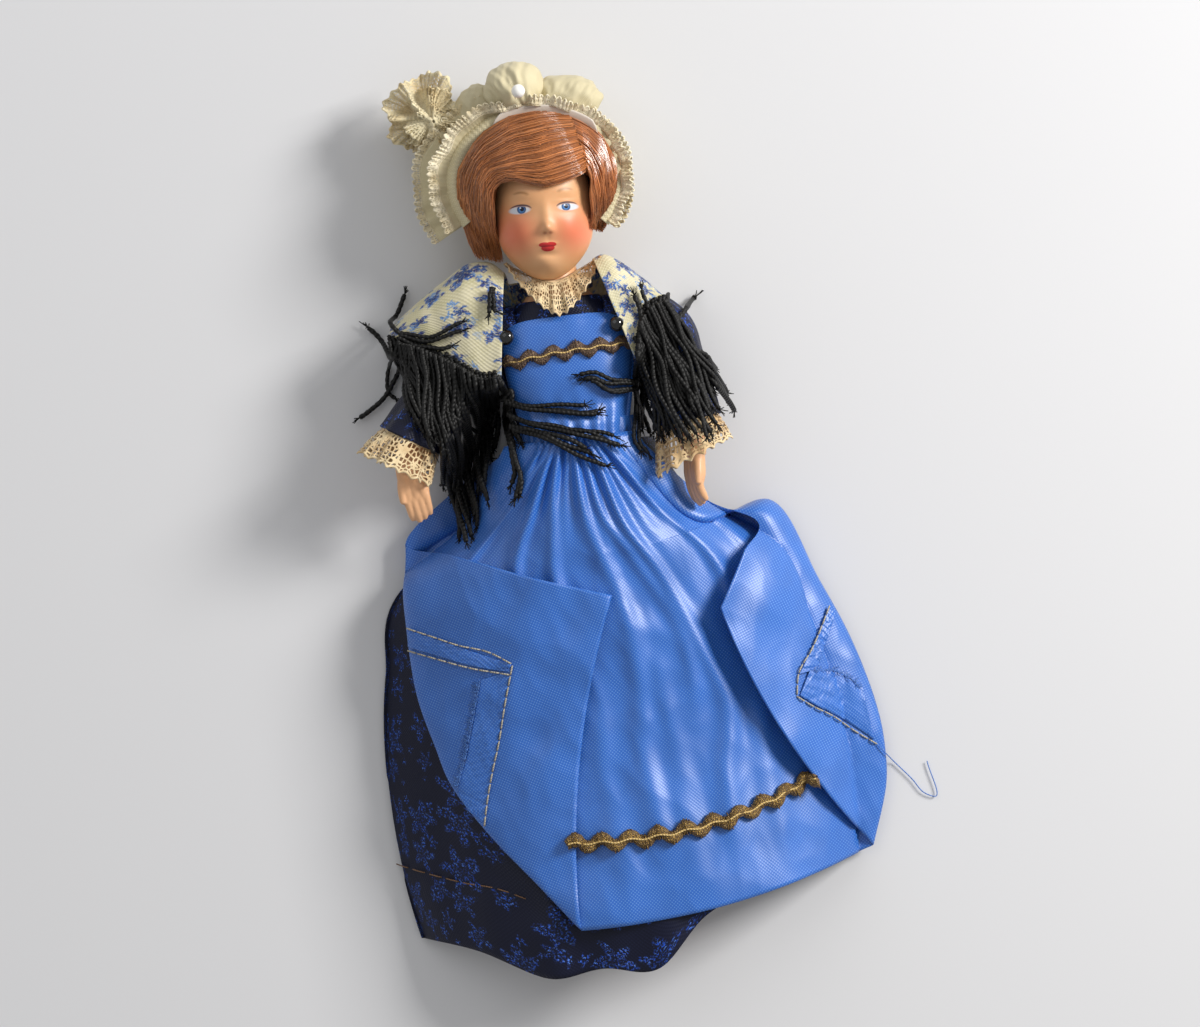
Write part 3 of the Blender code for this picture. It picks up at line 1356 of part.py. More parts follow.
def build_drawers(cotton):
    """Short cotton drawers round the hips and the tops of the thighs."""
    grow = GAP + CLOTH
    low, high = CROTCH_Y - CLOTH, WAIST_Y - 5 * MM
    drawers = trunk_tube("drawers", low, high, grow, cotton, capped=True, sides=18, rings=3)
    hollow = trunk_tube("drawers_hollow", CROTCH_Y, high + 7 * MM, GAP, capped=True, sides=18, rings=3)
    legs, hollows = [], []
    for side, word in ((-1, "right"), (1, "left")):
        top, end = CROTCH_Y + 4 * MM, CROTCH_Y - 8 * MM
        legs.append(leg_tube(f"{word}_drawers_leg", side, grow, top, end, rings=2))
        hollows.append(leg_tube(f"{word}_drawers_room", side, GAP, top + MM, end - 2 * MM, rings=2))
    boolean(drawers, legs, "UNION")
    boolean(drawers, [hollow, *hollows])
    return drawers


def pivot(name, place, children):
    """An empty on a joint's axis that carries the pieces which turn with it."""
    empty = bpy.data.objects.new(name, None)
    empty.location = place
    parts.objects.link(empty)
    bpy.context.view_layer.update()
    for child in children:
        obj = bpy.data.objects[child]
        obj.parent = empty
        obj.matrix_parent_inverse = empty.matrix_world.inverted()


def build():
    skin = material("celluloid", (0.76, 0.46, 0.30), 0.45)
    hair = material("auburn mohair", (0.42, 0.12, 0.04), 0.35)
    brocade = material("navy brocade", (0.01, 0.015, 0.06), 0.4)
    taffeta = material("blue taffeta", (0.04, 0.20, 0.66), 0.35)
    cotton = material("printed cotton", (0.62, 0.58, 0.40), 0.85)
    plain_cotton = material("white cotton", (0.80, 0.80, 0.78), 0.9)
    lace = material("cream lace", (0.78, 0.66, 0.44), 0.9)
    organdy = material("cream organdy", (0.74, 0.62, 0.40), 0.8)
    satin = material("white satin", (0.85, 0.83, 0.78), 0.3)
    silk = material("black silk cord", (0.012, 0.01, 0.01), 0.55)
    gold = material("metal thread braid", (0.30, 0.18, 0.05), 0.45, 0.6)
    black_glass = material("black glass", (0.004, 0.004, 0.005), 0.08)
    pearl = material("pearl", (0.85, 0.80, 0.72), 0.25)
    elastic = material("cord elastic", (0.55, 0.52, 0.46), 0.8)
    wood = material("pressed card", (0.35, 0.22, 0.12), 0.8)

    build_torso(skin)
    build_head(skin)
    build_neck_disc(wood)
    build_head_elastic(elastic)
    build_arm_elastic(elastic)
    arms = (
        ("right", -1, RIGHT_ARM_SPLAY, RIGHT_HAND_TURN),
        ("left", 1, LEFT_ARM_SPLAY, LEFT_HAND_TURN),
    )
    for word, side, splay, hand_turn in arms:
        build_arm(word, side, splay, hand_turn, skin)
        build_sleeve(word, side, splay, brocade)
        build_cuff(word, side, splay, lace)
    build_bodice(brocade)
    build_collar(lace)
    build_shawl(cotton)
    build_fringes(silk)
    build_drawers(plain_cotton)
    build_skirt(brocade)
    build_waistband("skirt_waistband", over_bodice(), BAND, brocade)
    build_waistband("apron_waistband", over_bodice() + BAND + GAP, CLOTH, taffeta)
    build_apron(taffeta)
    build_bib(taffeta)
    build_braids(gold)
    build_pins(black_glass)
    build_wig(hair)
    build_bonnet(organdy, lace, satin, pearl)

    worn_on_head = [
        "head",
        "neck_disc",
        "wig",
        "bonnet_crown",
        "bonnet_inner_frill",
        "bonnet_outer_frill",
        "bonnet_inner_lace",
        "bonnet_outer_lace",
        "bonnet_band",
        "bonnet_rosette",
        "bonnet_pearl",
    ]
    pivot("neck_pivot", (0, NECK_BALL_Y, BODY_Z), worn_on_head)
    for word, side in (("right", -1), ("left", 1)):
        worn = [f"{word}_{piece}" for piece in ("arm", "sleeve", "cuff", "fringe")]
        pivot(f"{word}_shoulder_pivot", (side * (SEAT_X + GAP), SHOULDER_Y, BODY_Z), worn)


clear_scene()
parts = collection("doll")
helpers = collection("doll cutters and forms", hidden=True)
build()
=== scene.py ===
"""The looks of a small celluloid doll in regional dress, lying on its back on a pale floor.

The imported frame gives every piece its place. Each new piece is a surface worked out with numpy from
the doll's own sizes, in the frame's axes: +Y from the feet to the head, +X to the doll's own left
and +Z up, out of its face. Lengths are in metres; sizes are written in millimetres times MM.
"""

from __future__ import annotations

import json
import logging
import math
from collections.abc import Callable, Sequence
from dataclasses import dataclass, field
from enum import Enum

import bmesh
import bpy
import numpy as np
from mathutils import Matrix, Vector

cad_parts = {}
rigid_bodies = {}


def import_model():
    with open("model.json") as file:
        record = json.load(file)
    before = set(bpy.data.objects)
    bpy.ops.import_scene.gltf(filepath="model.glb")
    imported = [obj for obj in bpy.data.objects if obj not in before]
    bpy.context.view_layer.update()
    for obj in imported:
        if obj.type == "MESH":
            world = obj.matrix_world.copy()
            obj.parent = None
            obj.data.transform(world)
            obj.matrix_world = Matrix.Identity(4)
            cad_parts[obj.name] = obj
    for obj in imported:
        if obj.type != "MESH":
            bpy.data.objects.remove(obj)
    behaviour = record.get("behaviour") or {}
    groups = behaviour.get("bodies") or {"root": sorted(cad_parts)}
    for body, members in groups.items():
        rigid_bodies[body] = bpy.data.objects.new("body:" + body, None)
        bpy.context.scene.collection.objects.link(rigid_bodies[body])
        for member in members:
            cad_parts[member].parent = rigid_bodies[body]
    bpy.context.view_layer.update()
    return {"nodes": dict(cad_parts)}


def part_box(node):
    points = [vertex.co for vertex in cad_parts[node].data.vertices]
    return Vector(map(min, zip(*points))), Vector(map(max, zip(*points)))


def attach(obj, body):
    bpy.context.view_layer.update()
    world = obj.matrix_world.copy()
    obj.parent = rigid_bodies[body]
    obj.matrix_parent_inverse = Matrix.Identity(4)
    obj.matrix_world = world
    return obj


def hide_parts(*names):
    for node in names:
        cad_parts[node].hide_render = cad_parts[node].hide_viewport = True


for _obj in list(bpy.data.objects):
    bpy.data.objects.remove(_obj)
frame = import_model()

LOG = logging.getLogger("doll")
MM = 0.001
TURN = 2 * math.pi
GAP = 0.35 * MM
CLOTH = 0.45 * MM
BODY_Z = 9.8 * MM
WAIST_Y = 10.1 * MM

Array = np.ndarray
Colour = tuple[float, float, float, float]
Place = Callable[[Array, Array], Array]
Stations = Sequence[tuple[float, ...]]
Socket = bpy.types.NodeSocket
Node = bpy.types.Node
Tree = bpy.types.NodeTree
Object = bpy.types.Object


def srgb(red: int, green: int, blue: int) -> Colour:
    """Turns a colour as seen, from 0 to 255, into the linear one that a shader takes.

    Args:
        red: Share of red.
        green: Share of green.
        blue: Share of blue.

    Returns:
        The linear colour with full opacity.
    """
    shares = np.array([red, green, blue]) / 255
    linear = np.where(shares <= 0.04045, shares / 12.92, ((shares + 0.055) / 1.055) ** 2.4)
    return (float(linear[0]), float(linear[1]), float(linear[2]), 1.0)


def through(stations: Stations, at: Array, column: int = 1) -> Array:
    """Reads a smooth curve through stations: a cubic with the stations' own mean slopes.

    Args:
        stations: Rows that start with a place and go on with values.
        at: Places to read at; beyond the ends the end value holds.
        column: Which of the values to read.

    Returns:
        The curve's value at each place.
    """
    table = np.array(sorted(stations), float)
    places, values = table[:, 0], table[:, column]
    slopes = np.gradient(values, places)
    low = np.clip(np.searchsorted(places, at) - 1, 0, len(places) - 2)
    step = places[low + 1] - places[low]
    t = np.clip((at - places[low]) / step, 0, 1)
    return (
        (2 * t**3 - 3 * t**2 + 1) * values[low]
        + (t**3 - 2 * t**2 + t) * step * slopes[low]
        + (3 * t**2 - 2 * t**3) * values[low + 1]
        + (t**3 - t**2) * step * slopes[low + 1]
    )


def route(points: Stations, at: Array) -> Array:
    """Follows a smooth route through points given in millimetres.

    Args:
        points: The points that the route passes; where only two coordinates are given the height is 0.
        at: Shares of the route's length, from 0 to 1.

    Returns:
        Points in metres, in the shape of the shares with a last axis of three.
    """
    knots = np.zeros((len(points), 3))
    knots[:, : len(points[0])] = np.array(points, float) * MM
    lengths = np.concatenate([[0], np.cumsum(np.linalg.norm(np.diff(knots, axis=0), axis=1))])
    table = [(length, *knot) for length, knot in zip(lengths / lengths[-1], knots)]
    return np.stack([through(table, at, axis + 1) for axis in range(3)], axis=-1)


def ripples(points: Array, wavelength: float, seed: int, count: int = 7) -> Array:
    """Gives a smooth uneven field: the mean of sines of seeded directions, lengths and phases.

    Args:
        points: Rows of coordinates.
        wavelength: Usual length of a ripple, in the points' unit.
        seed: Chooses the field.
        count: How many sines are added.

    Returns:
        One value a row, mostly between -1 and 1.
    """
    random = np.random.default_rng(seed)
    headings = random.normal(size=(count, points.shape[-1]))
    headings /= np.linalg.norm(headings, axis=1)[:, None]
    lengths = wavelength * random.uniform(0.7, 1.5, count)
    phases = random.uniform(0, TURN, count)
    return np.sin(points @ headings.T * (TURN / lengths) + phases).mean(axis=-1) * 1.7


def unit(vectors: Array) -> Array:
    """Vectors of length one, along the last axis."""
    return vectors / np.maximum(np.linalg.norm(vectors, axis=-1, keepdims=True), 1e-12)


def ease(low: float, high: float, value: Array) -> Array:
    """A soft step from 0 at low to 1 at high: three times the square less twice the cube."""
    t = np.clip((value - low) / (high - low), 0, 1)
    return t * t * (3 - 2 * t)


class Draft:
    """A mesh in the making, gathered from grids and tubes before it becomes one object."""

    def __init__(self) -> None:
        """Starts an empty draft."""
        self.points: list[Array] = []
        self.shades: list[Array] = []
        self.faces: list[Array] = []
        self.places: list[Array] = []
        self.count = 0

    def _take(self, points: Array, faces: Array, places: Array, shades: Array) -> None:
        """Adds vertices with a shade each, and faces with a place on the cloth for each corner."""
        self.points.append(points.reshape(-1, 3))
        self.shades.append(shades.reshape(-1))
        self.faces.append(faces + self.count)
        self.places.append(places.reshape(-1, 2))
        self.count += points.size // 3

    def grid(
        self,
        points: Array,
        size: tuple[float, float] = (1.0, 1.0),
        wrap: bool = False,
        flip: bool = False,
        shade: float = 0.5,
        places: Array | None = None,
    ) -> Draft:
        """Adds a surface of rows and columns of points.

        Args:
            points: Rows by columns by three.
            size: Flat width and length of the cloth, which its map holds.
            wrap: Joins the last column to the first.
            flip: Turns the faces round.
            shade: Value of the shade attribute.
            places: The map's own place of each point, instead of an even spread.

        Returns:
            The draft.
        """
        rows, columns = points.shape[:2]
        spans = columns if wrap else columns - 1
        row, column = np.meshgrid(np.arange(rows - 1), np.arange(spans), indexing="ij")
        after = (column + 1) % columns
        corners = [
            row * columns + column,
            row * columns + after,
            (row + 1) * columns + after,
            (row + 1) * columns + column,
        ]
        u = np.stack([column, column + 1, column + 1, column], -1) / spans * size[0]
        v = np.stack([row, row, row + 1, row + 1], -1) / (rows - 1) * size[1]
        faces = np.stack(corners, -1).reshape(-1, 4)
        spots = np.stack([u, v], -1).reshape(-1, 4, 2) if places is None else places.reshape(-1, 2)[faces]
        if flip:
            faces, spots = faces[:, ::-1], spots[:, ::-1]
        self._take(points, faces, spots, np.full(rows * columns, shade))
        return self

    def sheet(
        self,
        across: int,
        along: int,
        place: Place,
        size: tuple[float, float] = (1.0, 1.0),
        wrap: bool = False,
        flip: bool = False,
    ) -> Draft:
        """Adds the surface place(u, v) over even steps of u across and v along, both from 0 to 1."""
        u, v = np.meshgrid(np.linspace(0, 1, across + 1), np.linspace(0, 1, along + 1))
        points = place(u.ravel(), v.ravel()).reshape(along + 1, across + 1, 3)
        return self.grid(points[:, :-1] if wrap else points, size, wrap, flip)

    def tubes(
        self,
        paths: Array,
        radius: Array | float,
        sides: int = 6,
        twist: float = 0.0,
        lobes: float = 0.0,
        shades: Array | None = None,
    ) -> Draft:
        """Adds round tubes with closed ends along paths of equal point counts.

        A ring's radius is cut by the lobes' share twice a turn, and the cut turns with the way along
        the path, once in each length of twist, as in a cord of two plies.

        Args:
            paths: Tubes by points by three.
            radius: One radius, or one for each tube and point.
            sides: Corners of a ring.
            twist: Length of one turn of the plies.
            lobes: Depth of the groove between the plies, as a share of the radius.
            shades: One value a tube for the shade attribute.

        Returns:
            The draft.
        """
        tubes, steps = paths.shape[:2]
        along = unit(np.gradient(paths, axis=1))
        side = unit(np.cross(along, np.array([0.07, 0.04, 1.0])))
        lift = np.cross(side, along)
        parts = np.linalg.norm(np.diff(paths, axis=1), axis=-1)
        lengths = np.concatenate([np.zeros((tubes, 1)), np.cumsum(parts, axis=1)], axis=1)
        angle = TURN * np.arange(sides) / sides
        turn = lengths * (TURN / twist) if twist else 0 * lengths
        cut = 1 - lobes * (0.5 - 0.5 * np.cos(2 * (angle - turn[:, :, None])))
        size = (np.broadcast_to(radius, (tubes, steps))[:, :, None] * cut)[..., None]
        wheel = np.cos(angle)[:, None] * side[:, :, None] + np.sin(angle)[:, None] * lift[:, :, None]
        rings = paths[:, :, None] + size * wheel
        thick = size[:, [0, -1], 0, :]
        ends = paths[:, [0, -1]] + np.array([-0.5, 0.5])[None, :, None] * thick * along[:, [0, -1]]
        points = np.concatenate([rings.reshape(tubes, -1, 3), ends], axis=1)
        own = steps * sides + 2
        base = (np.arange(tubes) * own)[:, None, None]
        row, column = np.meshgrid(np.arange(steps - 1), np.arange(sides), indexing="ij")
        after = (column + 1) % sides
        corners = [
            (row + 1) * sides + column,
            (row + 1) * sides + after,
            row * sides + after,
            row * sides + column,
        ]
        quads = (base + np.stack(corners, -1).reshape(1, -1, 4)).reshape(-1, 4)
        way = lengths[:, :, None] + 0 * angle
        u = np.stack([column, column + 1, column + 1, column], -1) / sides * MM
        v = np.stack([way[:, row + 1, column], way[:, row + 1, column]], -1)
        w = np.stack([way[:, row, column], way[:, row, column]], -1)
        v = np.concatenate([v, w], -1)
        places = np.stack([np.broadcast_to(u, v.shape), v], -1).reshape(-1, 4, 2)
        value = np.full(tubes, 0.5) if shades is None else shades
        self._take(points, quads, places, np.repeat(value, own))
        start = self.count - tubes * own
        ring, following = np.arange(sides), (np.arange(sides) + 1) % sides
        low = np.stack([ring, following, np.full(sides, own - 2)], -1)
        last = (steps - 1) * sides
        high = np.stack([last + following, last + ring, np.full(sides, own - 1)], -1)
        caps = start + base + np.concatenate([low, high])[None]
        self.faces.append(caps.reshape(-1, 3))
        self.places.append(np.zeros((2 * tubes * sides * 3, 2)))
        return self

    def object(self, name: str, merge: float = 0.0) -> Object:
        """Makes the object, with the map "cloth" and the attribute "shade".

        Args:
            name: The piece's name.
            merge: Vertices closer than this become one.

        Returns:
            The new object, at the origin.
        """
        mesh = bpy.data.meshes.new(name)
        faces = [face for block in self.faces for face in block.tolist()]
        mesh.from_pydata(np.concatenate(self.points).tolist(), [], faces)
        mesh.uv_layers.new(name="cloth")
        mesh.uv_layers["cloth"].data.foreach_set("uv", np.concatenate(self.places).ravel())
        shade = mesh.attributes.new("shade", "FLOAT", "POINT")
        shade.data.foreach_set("value", np.concatenate(self.shades).astype(np.float32))
        if merge:
            edit = bmesh.new()
            edit.from_mesh(mesh)
            bmesh.ops.remove_doubles(edit, verts=edit.verts, dist=merge)
            edit.to_mesh(mesh)
            edit.free()
        mesh.shade_smooth()
        obj = bpy.data.objects.new(name, mesh)
        bpy.context.scene.collection.objects.link(obj)
        return obj


def thicken(obj: Object, thickness: float, offset: float = 0.0) -> Object:
    """Gives a sheet its thickness, on both sides of its surface unless the offset says otherwise."""
    wall = obj.modifiers.new("Thickness", "SOLIDIFY")
    wall.thickness = thickness
    wall.offset = offset
    return obj


def ellipsoid(centre: Sequence[float], radii: Sequence[float], sides: int, rings: int) -> Array:
    """Rows of points on an ellipsoid whose poles lie along Z, in metres, facing outwards on a grid."""
    turns = TURN * np.arange(sides) / sides
    around, down = np.meshgrid(turns, np.linspace(-math.pi / 2, math.pi / 2, rings + 1))
    ball = [np.cos(down) * np.cos(around), np.cos(down) * np.sin(around), np.sin(down)]
    return np.array(centre) + np.stack(ball, -1) * np.array(radii)


class Wiring:
    """Writes shader nodes into one tree."""

    def __init__(self, tree: Tree) -> None:
        """Keeps the tree that the nodes go into."""
        self.tree = tree

    def node(self, kind: str, feeds: dict | None = None, **settings: object) -> Node:
        """Adds a node.

        Args:
            kind: The node's type name.
            feeds: Input names or numbers, with a socket to link or a value to set.
            settings: Properties of the node.

        Returns:
            The node.
        """
        made = self.tree.nodes.new(kind)
        for name, value in settings.items():
            setattr(made, name, value)
        for key, value in (feeds or {}).items():
            self.feed(made.inputs[key], value)
        return made

    def feed(self, socket: Socket, value: object) -> None:
        """Links a socket to an input, or sets the input's own value."""
        if isinstance(value, Socket):
            self.tree.links.new(value, socket)
        else:
            socket.default_value = value

    def math(self, operation: str, *values: object, clamp: bool = False) -> Socket:
        """One sum over its values."""
        made = self.node("ShaderNodeMath", dict(enumerate(values)), operation=operation, use_clamp=clamp)
        return made.outputs[0]

    def times(self, first: object, second: object) -> Socket:
        """The product of two values."""
        return self.math("MULTIPLY", first, second)

    def scaled(self, value: object, factor: object, more: object, clamp: bool = False) -> Socket:
        """A value times a factor, and something more."""
        return self.math("MULTIPLY_ADD", value, factor, more, clamp=clamp)

    def vector(self, operation: str, *values: object, scale: float | None = None) -> Socket:
        """One sum over vectors; scale is the factor of SCALE."""
        made = self.node("ShaderNodeVectorMath", dict(enumerate(values)), operation=operation)
        if scale is not None:
            self.feed(made.inputs["Scale"], scale)
        return made.outputs["Value" if operation in ("LENGTH", "DOT_PRODUCT") else "Vector"]

    def mix(self, share: object, first: object, second: object) -> Socket:
        """A colour between two."""
        made = self.node("ShaderNodeMix", {0: share, 6: first, 7: second}, data_type="RGBA")
        return made.outputs[2]

    def band(self, value: object, low: object, high: object) -> Socket:
        """A soft step from 0 at low to 1 at high; low may be the larger."""
        feeds = {"Value": value, "From Min": low, "From Max": high}
        return self.node("ShaderNodeMapRange", feeds, interpolation_type="SMOOTHSTEP").outputs[0]

    def noise(
        self, vector: object, scale: float, detail: float = 3.0, roughness: float = 0.5
    ) -> Socket:
        """Smooth noise between 0 and 1 at a scale in features per unit of the vector."""
        feeds = {"Vector": vector, "Scale": scale, "Detail": detail, "Roughness": roughness}
        return self.node("ShaderNodeTexNoise", feeds).outputs["Fac"]

    def split(self, vector: object) -> tuple[Socket, ...]:
        """The three numbers of a vector."""
        return tuple(self.node("ShaderNodeSeparateXYZ", {0: vector}).outputs)

    def cloth(self) -> Socket:
        """The place on the flat cloth, in millimetres."""
        made = self.node("ShaderNodeUVMap", uv_map="cloth")
        return self.vector("SCALE", made.outputs[0], scale=1000.0)

    def body(self) -> Socket:
        """The place in the doll's frame, in millimetres."""
        made = self.node("ShaderNodeTexCoord")
        return self.vector("SCALE", made.outputs["Object"], scale=1000.0)

    def shade(self) -> Socket:
        """The piece's own shade attribute."""
        return self.node("ShaderNodeAttribute", attribute_name="shade").outputs["Fac"]

    def group(self, tree: Tree, feeds: dict) -> Node:
        """Places a shared group with its own values."""
        made = self.node("ShaderNodeGroup", node_tree=tree)
        for key, value in feeds.items():
            self.feed(made.inputs[key], value)
        return made

    def bump(self, shader: Node, height: object, strength: float, distance: float) -> None:
        """Feeds a height to the shader's normal; the distance is in millimetres."""
        feeds = {"Height": height, "Strength": strength, "Distance": distance * MM}
        made = self.node("ShaderNodeBump", feeds)
        self.feed(shader.inputs["Normal"], made.outputs[0])


class Patterns:
    """The shader node groups that several finishes share, each built once."""

    made: dict[str, Tree] = {}

    @classmethod
    def shared(
        cls,
        name: str,
        inputs: dict[str, float],
        outputs: Sequence[str],
        draw: Callable[..., tuple[Socket, ...]],
    ) -> Tree:
        """Gives a group that reads a vector and some numbers, drawn the first time it is asked for.

        Args:
            name: The group's name.
            inputs: Name and usual value of each number that it reads beside the vector.
            outputs: Names of its values.
            draw: Takes the group's wiring, its vector and its numbers, and gives its values.

        Returns:
            The group.
        """
        if name in cls.made:
            return cls.made[name]
        tree = bpy.data.node_groups.new(name, "ShaderNodeTree")
        tree.interface.new_socket(name="Vector", in_out="INPUT", socket_type="NodeSocketVector")
        for label, value in inputs.items():
            socket = tree.interface.new_socket(name=label, in_out="INPUT", socket_type="NodeSocketFloat")
            socket.default_value = value
        for label in outputs:
            tree.interface.new_socket(name=label, in_out="OUTPUT", socket_type="NodeSocketFloat")
        given, result = tree.nodes.new("NodeGroupInput"), tree.nodes.new("NodeGroupOutput")
        wiring = Wiring(tree)
        values = draw(wiring, *[given.outputs[label] for label in ("Vector", *inputs)])
        for label, value in zip(outputs, values):
            wiring.feed(result.inputs[label], value)
        cls.made[name] = tree
        return tree

    @classmethod
    def weave(cls) -> Tree:
        """Plain weave: the product of two sines, one along each thread, raised to even dots; the finishes paint
        these dots lighter as a highlight on the raised threads.
        """

        def draw(w: Wiring, vector: Socket, pitch: Socket) -> tuple[Socket, ...]:
            """The height and the dots."""
            x, y, _ = w.split(vector)
            rate = w.math("DIVIDE", math.pi, pitch)
            product = w.times(w.math("SINE", w.times(x, rate)), w.math("SINE", w.times(y, rate)))
            return w.scaled(product, 0.5, 0.5), w.band(product, 0.1, 0.75)

        return cls.shared("plain weave", {"Pitch": 0.5}, ["Height", "Dots"], draw)

    @classmethod
    def unevenness(cls) -> Tree:
        """Slow stains and fine mottle of aged cloth, both from noise."""

        def draw(w: Wiring, vector: Socket, stain_size: Socket) -> tuple[Socket, ...]:
            """The stains and the mottle."""
            stains = w.noise(vector, w.math("DIVIDE", 1.0, stain_size))
            return w.band(stains, 0.38, 0.68), w.noise(vector, 1.6, 4.0, 0.65)

        return cls.shared("unevenness", {"Stain size": 9.0}, ["Stains", "Mottle"], draw)

    @classmethod
    def flowers(cls) -> Tree:
        """Scattered flowers: round each scattered point a distance cut by five petals.

        The petal's edge lies at size times (0.72 + 0.28 cos(5 angle)), the heart at 0.4 of it, and
        each flower has its own turn and size.
        """

        def draw(w: Wiring, vector: Socket, spacing: Socket, size: Socket, soft: Socket) -> tuple[Socket, ...]:
            """The petals, the heart, and a number of each flower's own."""
            place = w.vector("SCALE", vector, scale=w.math("DIVIDE", 1.0, spacing))
            feeds = {"Vector": place, "Scale": 1.0, "Randomness": 0.75}
            cells = w.node("ShaderNodeTexVoronoi", feeds, voronoi_dimensions="2D")
            x, y, _ = w.split(w.vector("SUBTRACT", place, cells.outputs["Position"]))
            kind, other, _ = w.split(cells.outputs["Color"])
            turn = w.scaled(kind, TURN, w.math("ARCTAN2", y, x))
            petal = w.scaled(w.math("COSINE", w.times(turn, 5.0)), 0.28, 0.72)
            edge = w.times(w.times(petal, w.scaled(other, 0.7, 0.55)), size)
            length = w.math("SQRT", w.scaled(x, x, w.times(y, y)))
            inside = w.math("DIVIDE", w.math("SUBTRACT", edge, length), soft, clamp=True)
            heart = w.math("DIVIDE", w.math("SUBTRACT", w.times(edge, 0.4), length), 0.03, clamp=True)
            return inside, heart, kind

        usual = {"Spacing": 8.0, "Size": 0.36, "Soft": 0.05}
        return cls.shared("scattered flowers", usual, ["Petals", "Heart", "Kind"], draw)

    @classmethod
    def net(cls) -> Tree:
        """Lace: threads round the edges of scattered cells, with solid flowers and solid borders."""

        def draw(w: Wiring, vector: Socket, cell: Socket, width: Socket, thread: Socket) -> tuple[Socket, ...]:
            """All the threads, and the solid places among them."""
            place = w.vector("SCALE", vector, scale=w.math("DIVIDE", 1.0, cell))
            feeds = {"Vector": place, "Scale": 1.0, "Randomness": 0.55}
            kinds = {"voronoi_dimensions": "2D", "feature": "DISTANCE_TO_EDGE"}
            web = w.node("ShaderNodeTexVoronoi", feeds, **kinds).outputs["Distance"]
            threads = w.band(web, thread, w.times(thread, 0.55))
            feeds = {"Vector": vector, "Spacing": 3.4, "Size": 0.42, "Soft": 0.05}
            motif = w.group(cls.flowers(), feeds)
            share = w.math("DIVIDE", w.split(vector)[1], width)
            border = w.math("MAXIMUM", w.band(share, 0.90, 0.96), w.band(share, 0.10, 0.05))
            solid = w.math("MAXIMUM", w.times(motif.outputs["Petals"], 0.98), border)
            return w.math("MAXIMUM", threads, solid), solid

        return cls.shared("lace net", {"Cell": 0.8, "Width": 5.0, "Thread": 0.17}, ["Thread", "Solid"], draw)

    @classmethod
    def spot(cls) -> Tree:
        """A painted oval: one inside its edge and nought outside, with a soft rim."""

        def draw(w: Wiring, vector: Socket, left: Socket, low: Socket, *sizes: Socket) -> tuple[Socket, ...]:
            """The oval's mask."""
            half_width, half_height, soft = sizes
            x, y, _ = w.split(vector)
            across = w.math("DIVIDE", w.math("SUBTRACT", x, left), half_width)
            up = w.math("DIVIDE", w.math("SUBTRACT", y, low), half_height)
            away = w.math("SQRT", w.scaled(across, across, w.times(up, up)))
            return (w.band(away, w.math("ADD", 1.0, soft), w.math("SUBTRACT", 1.0, soft)),)

        usual = {"X": 0.0, "Y": 0.0, "Half width": 1.0, "Half height": 1.0, "Soft": 0.1}
        return cls.shared("painted spot", usual, ["Mask"], draw)


@dataclass(frozen=True)
class Finish:
    """A plain finish with a mottled colour; the others build on it.

    Attributes:
        name: The material's name.
        colour: The usual colour.
        second: The colour of its stains or second thread, or, in woven cloth and cord, the painted highlight on
            its raised threads and plies.
        roughness: The surface's roughness.
        sheen: Weight of the cloth's sheen.
        specular: Level of its plain reflection.
    """

    name: str
    colour: Colour
    second: Colour
    roughness: float = 0.6
    sheen: float = 0.0
    specular: float = 0.5

    def material(self) -> bpy.types.Material:
        """Gives the material, made the first time it is asked for."""
        found = bpy.data.materials.get(self.name)
        if found:
            return found
        made = bpy.data.materials.new(self.name)
        made.use_nodes = True
        made.diffuse_color = self.colour
        shader = made.node_tree.nodes["Principled BSDF"]
        for label, value in (
            ("Roughness", self.roughness),
            ("Sheen Weight", self.sheen),
            ("Sheen Roughness", 0.4),
            ("Specular IOR Level", self.specular),
        ):
            shader.inputs[label].default_value = value
        self.wire(Wiring(made.node_tree), shader)
        return made

    @staticmethod
    def worn(w: Wiring, stain_size: float = 9.0) -> Node:
        """The stains and the mottle at the doll's own place, the stains of a size in millimetres."""
        return w.group(Patterns.unevenness(), {"Vector": w.body(), "Stain size": stain_size})

    @staticmethod
    def scatter(w: Wiring, vector: object, spacing: float, size: float, soft: float) -> Node:
        """Flowers scattered at a spacing in millimetres; the size is a share of it."""
        feeds = {"Vector": vector, "Spacing": spacing, "Size": size, "Soft": soft}
        return w.group(Patterns.flowers(), feeds)

    @staticmethod
    def warped(
        w: Wiring, place: object, scale: float, reach: float, detail: float = 2.0
    ) -> Socket:
        """A place pushed about by noise, by up to a reach in millimetres."""
        feeds = {"Vector": place, "Scale": scale, "Detail": detail}
        push = w.node("ShaderNodeTexNoise", feeds).outputs["Color"]
        return w.vector("ADD", place, w.vector("SCALE", push, scale=reach))

    def wire(self, w: Wiring, shader: Node) -> None:
        """Mixes the two colours by stains, and breaks the surface with a fine mottle."""
        uneven = self.worn(w)
        stains = w.times(uneven.outputs["Stains"], 0.6)
        w.feed(shader.inputs["Base Color"], w.mix(stains, self.colour, self.second))
        w.bump(shader, uneven.outputs["Mottle"], 0.3, 0.08)


@dataclass(frozen=True)
class Plain(Finish):
    """One even colour."""

    def wire(self, w: Wiring, shader: Node) -> None:
        """Sets the colour on the shader itself."""
        shader.inputs["Base Color"].default_value = self.colour


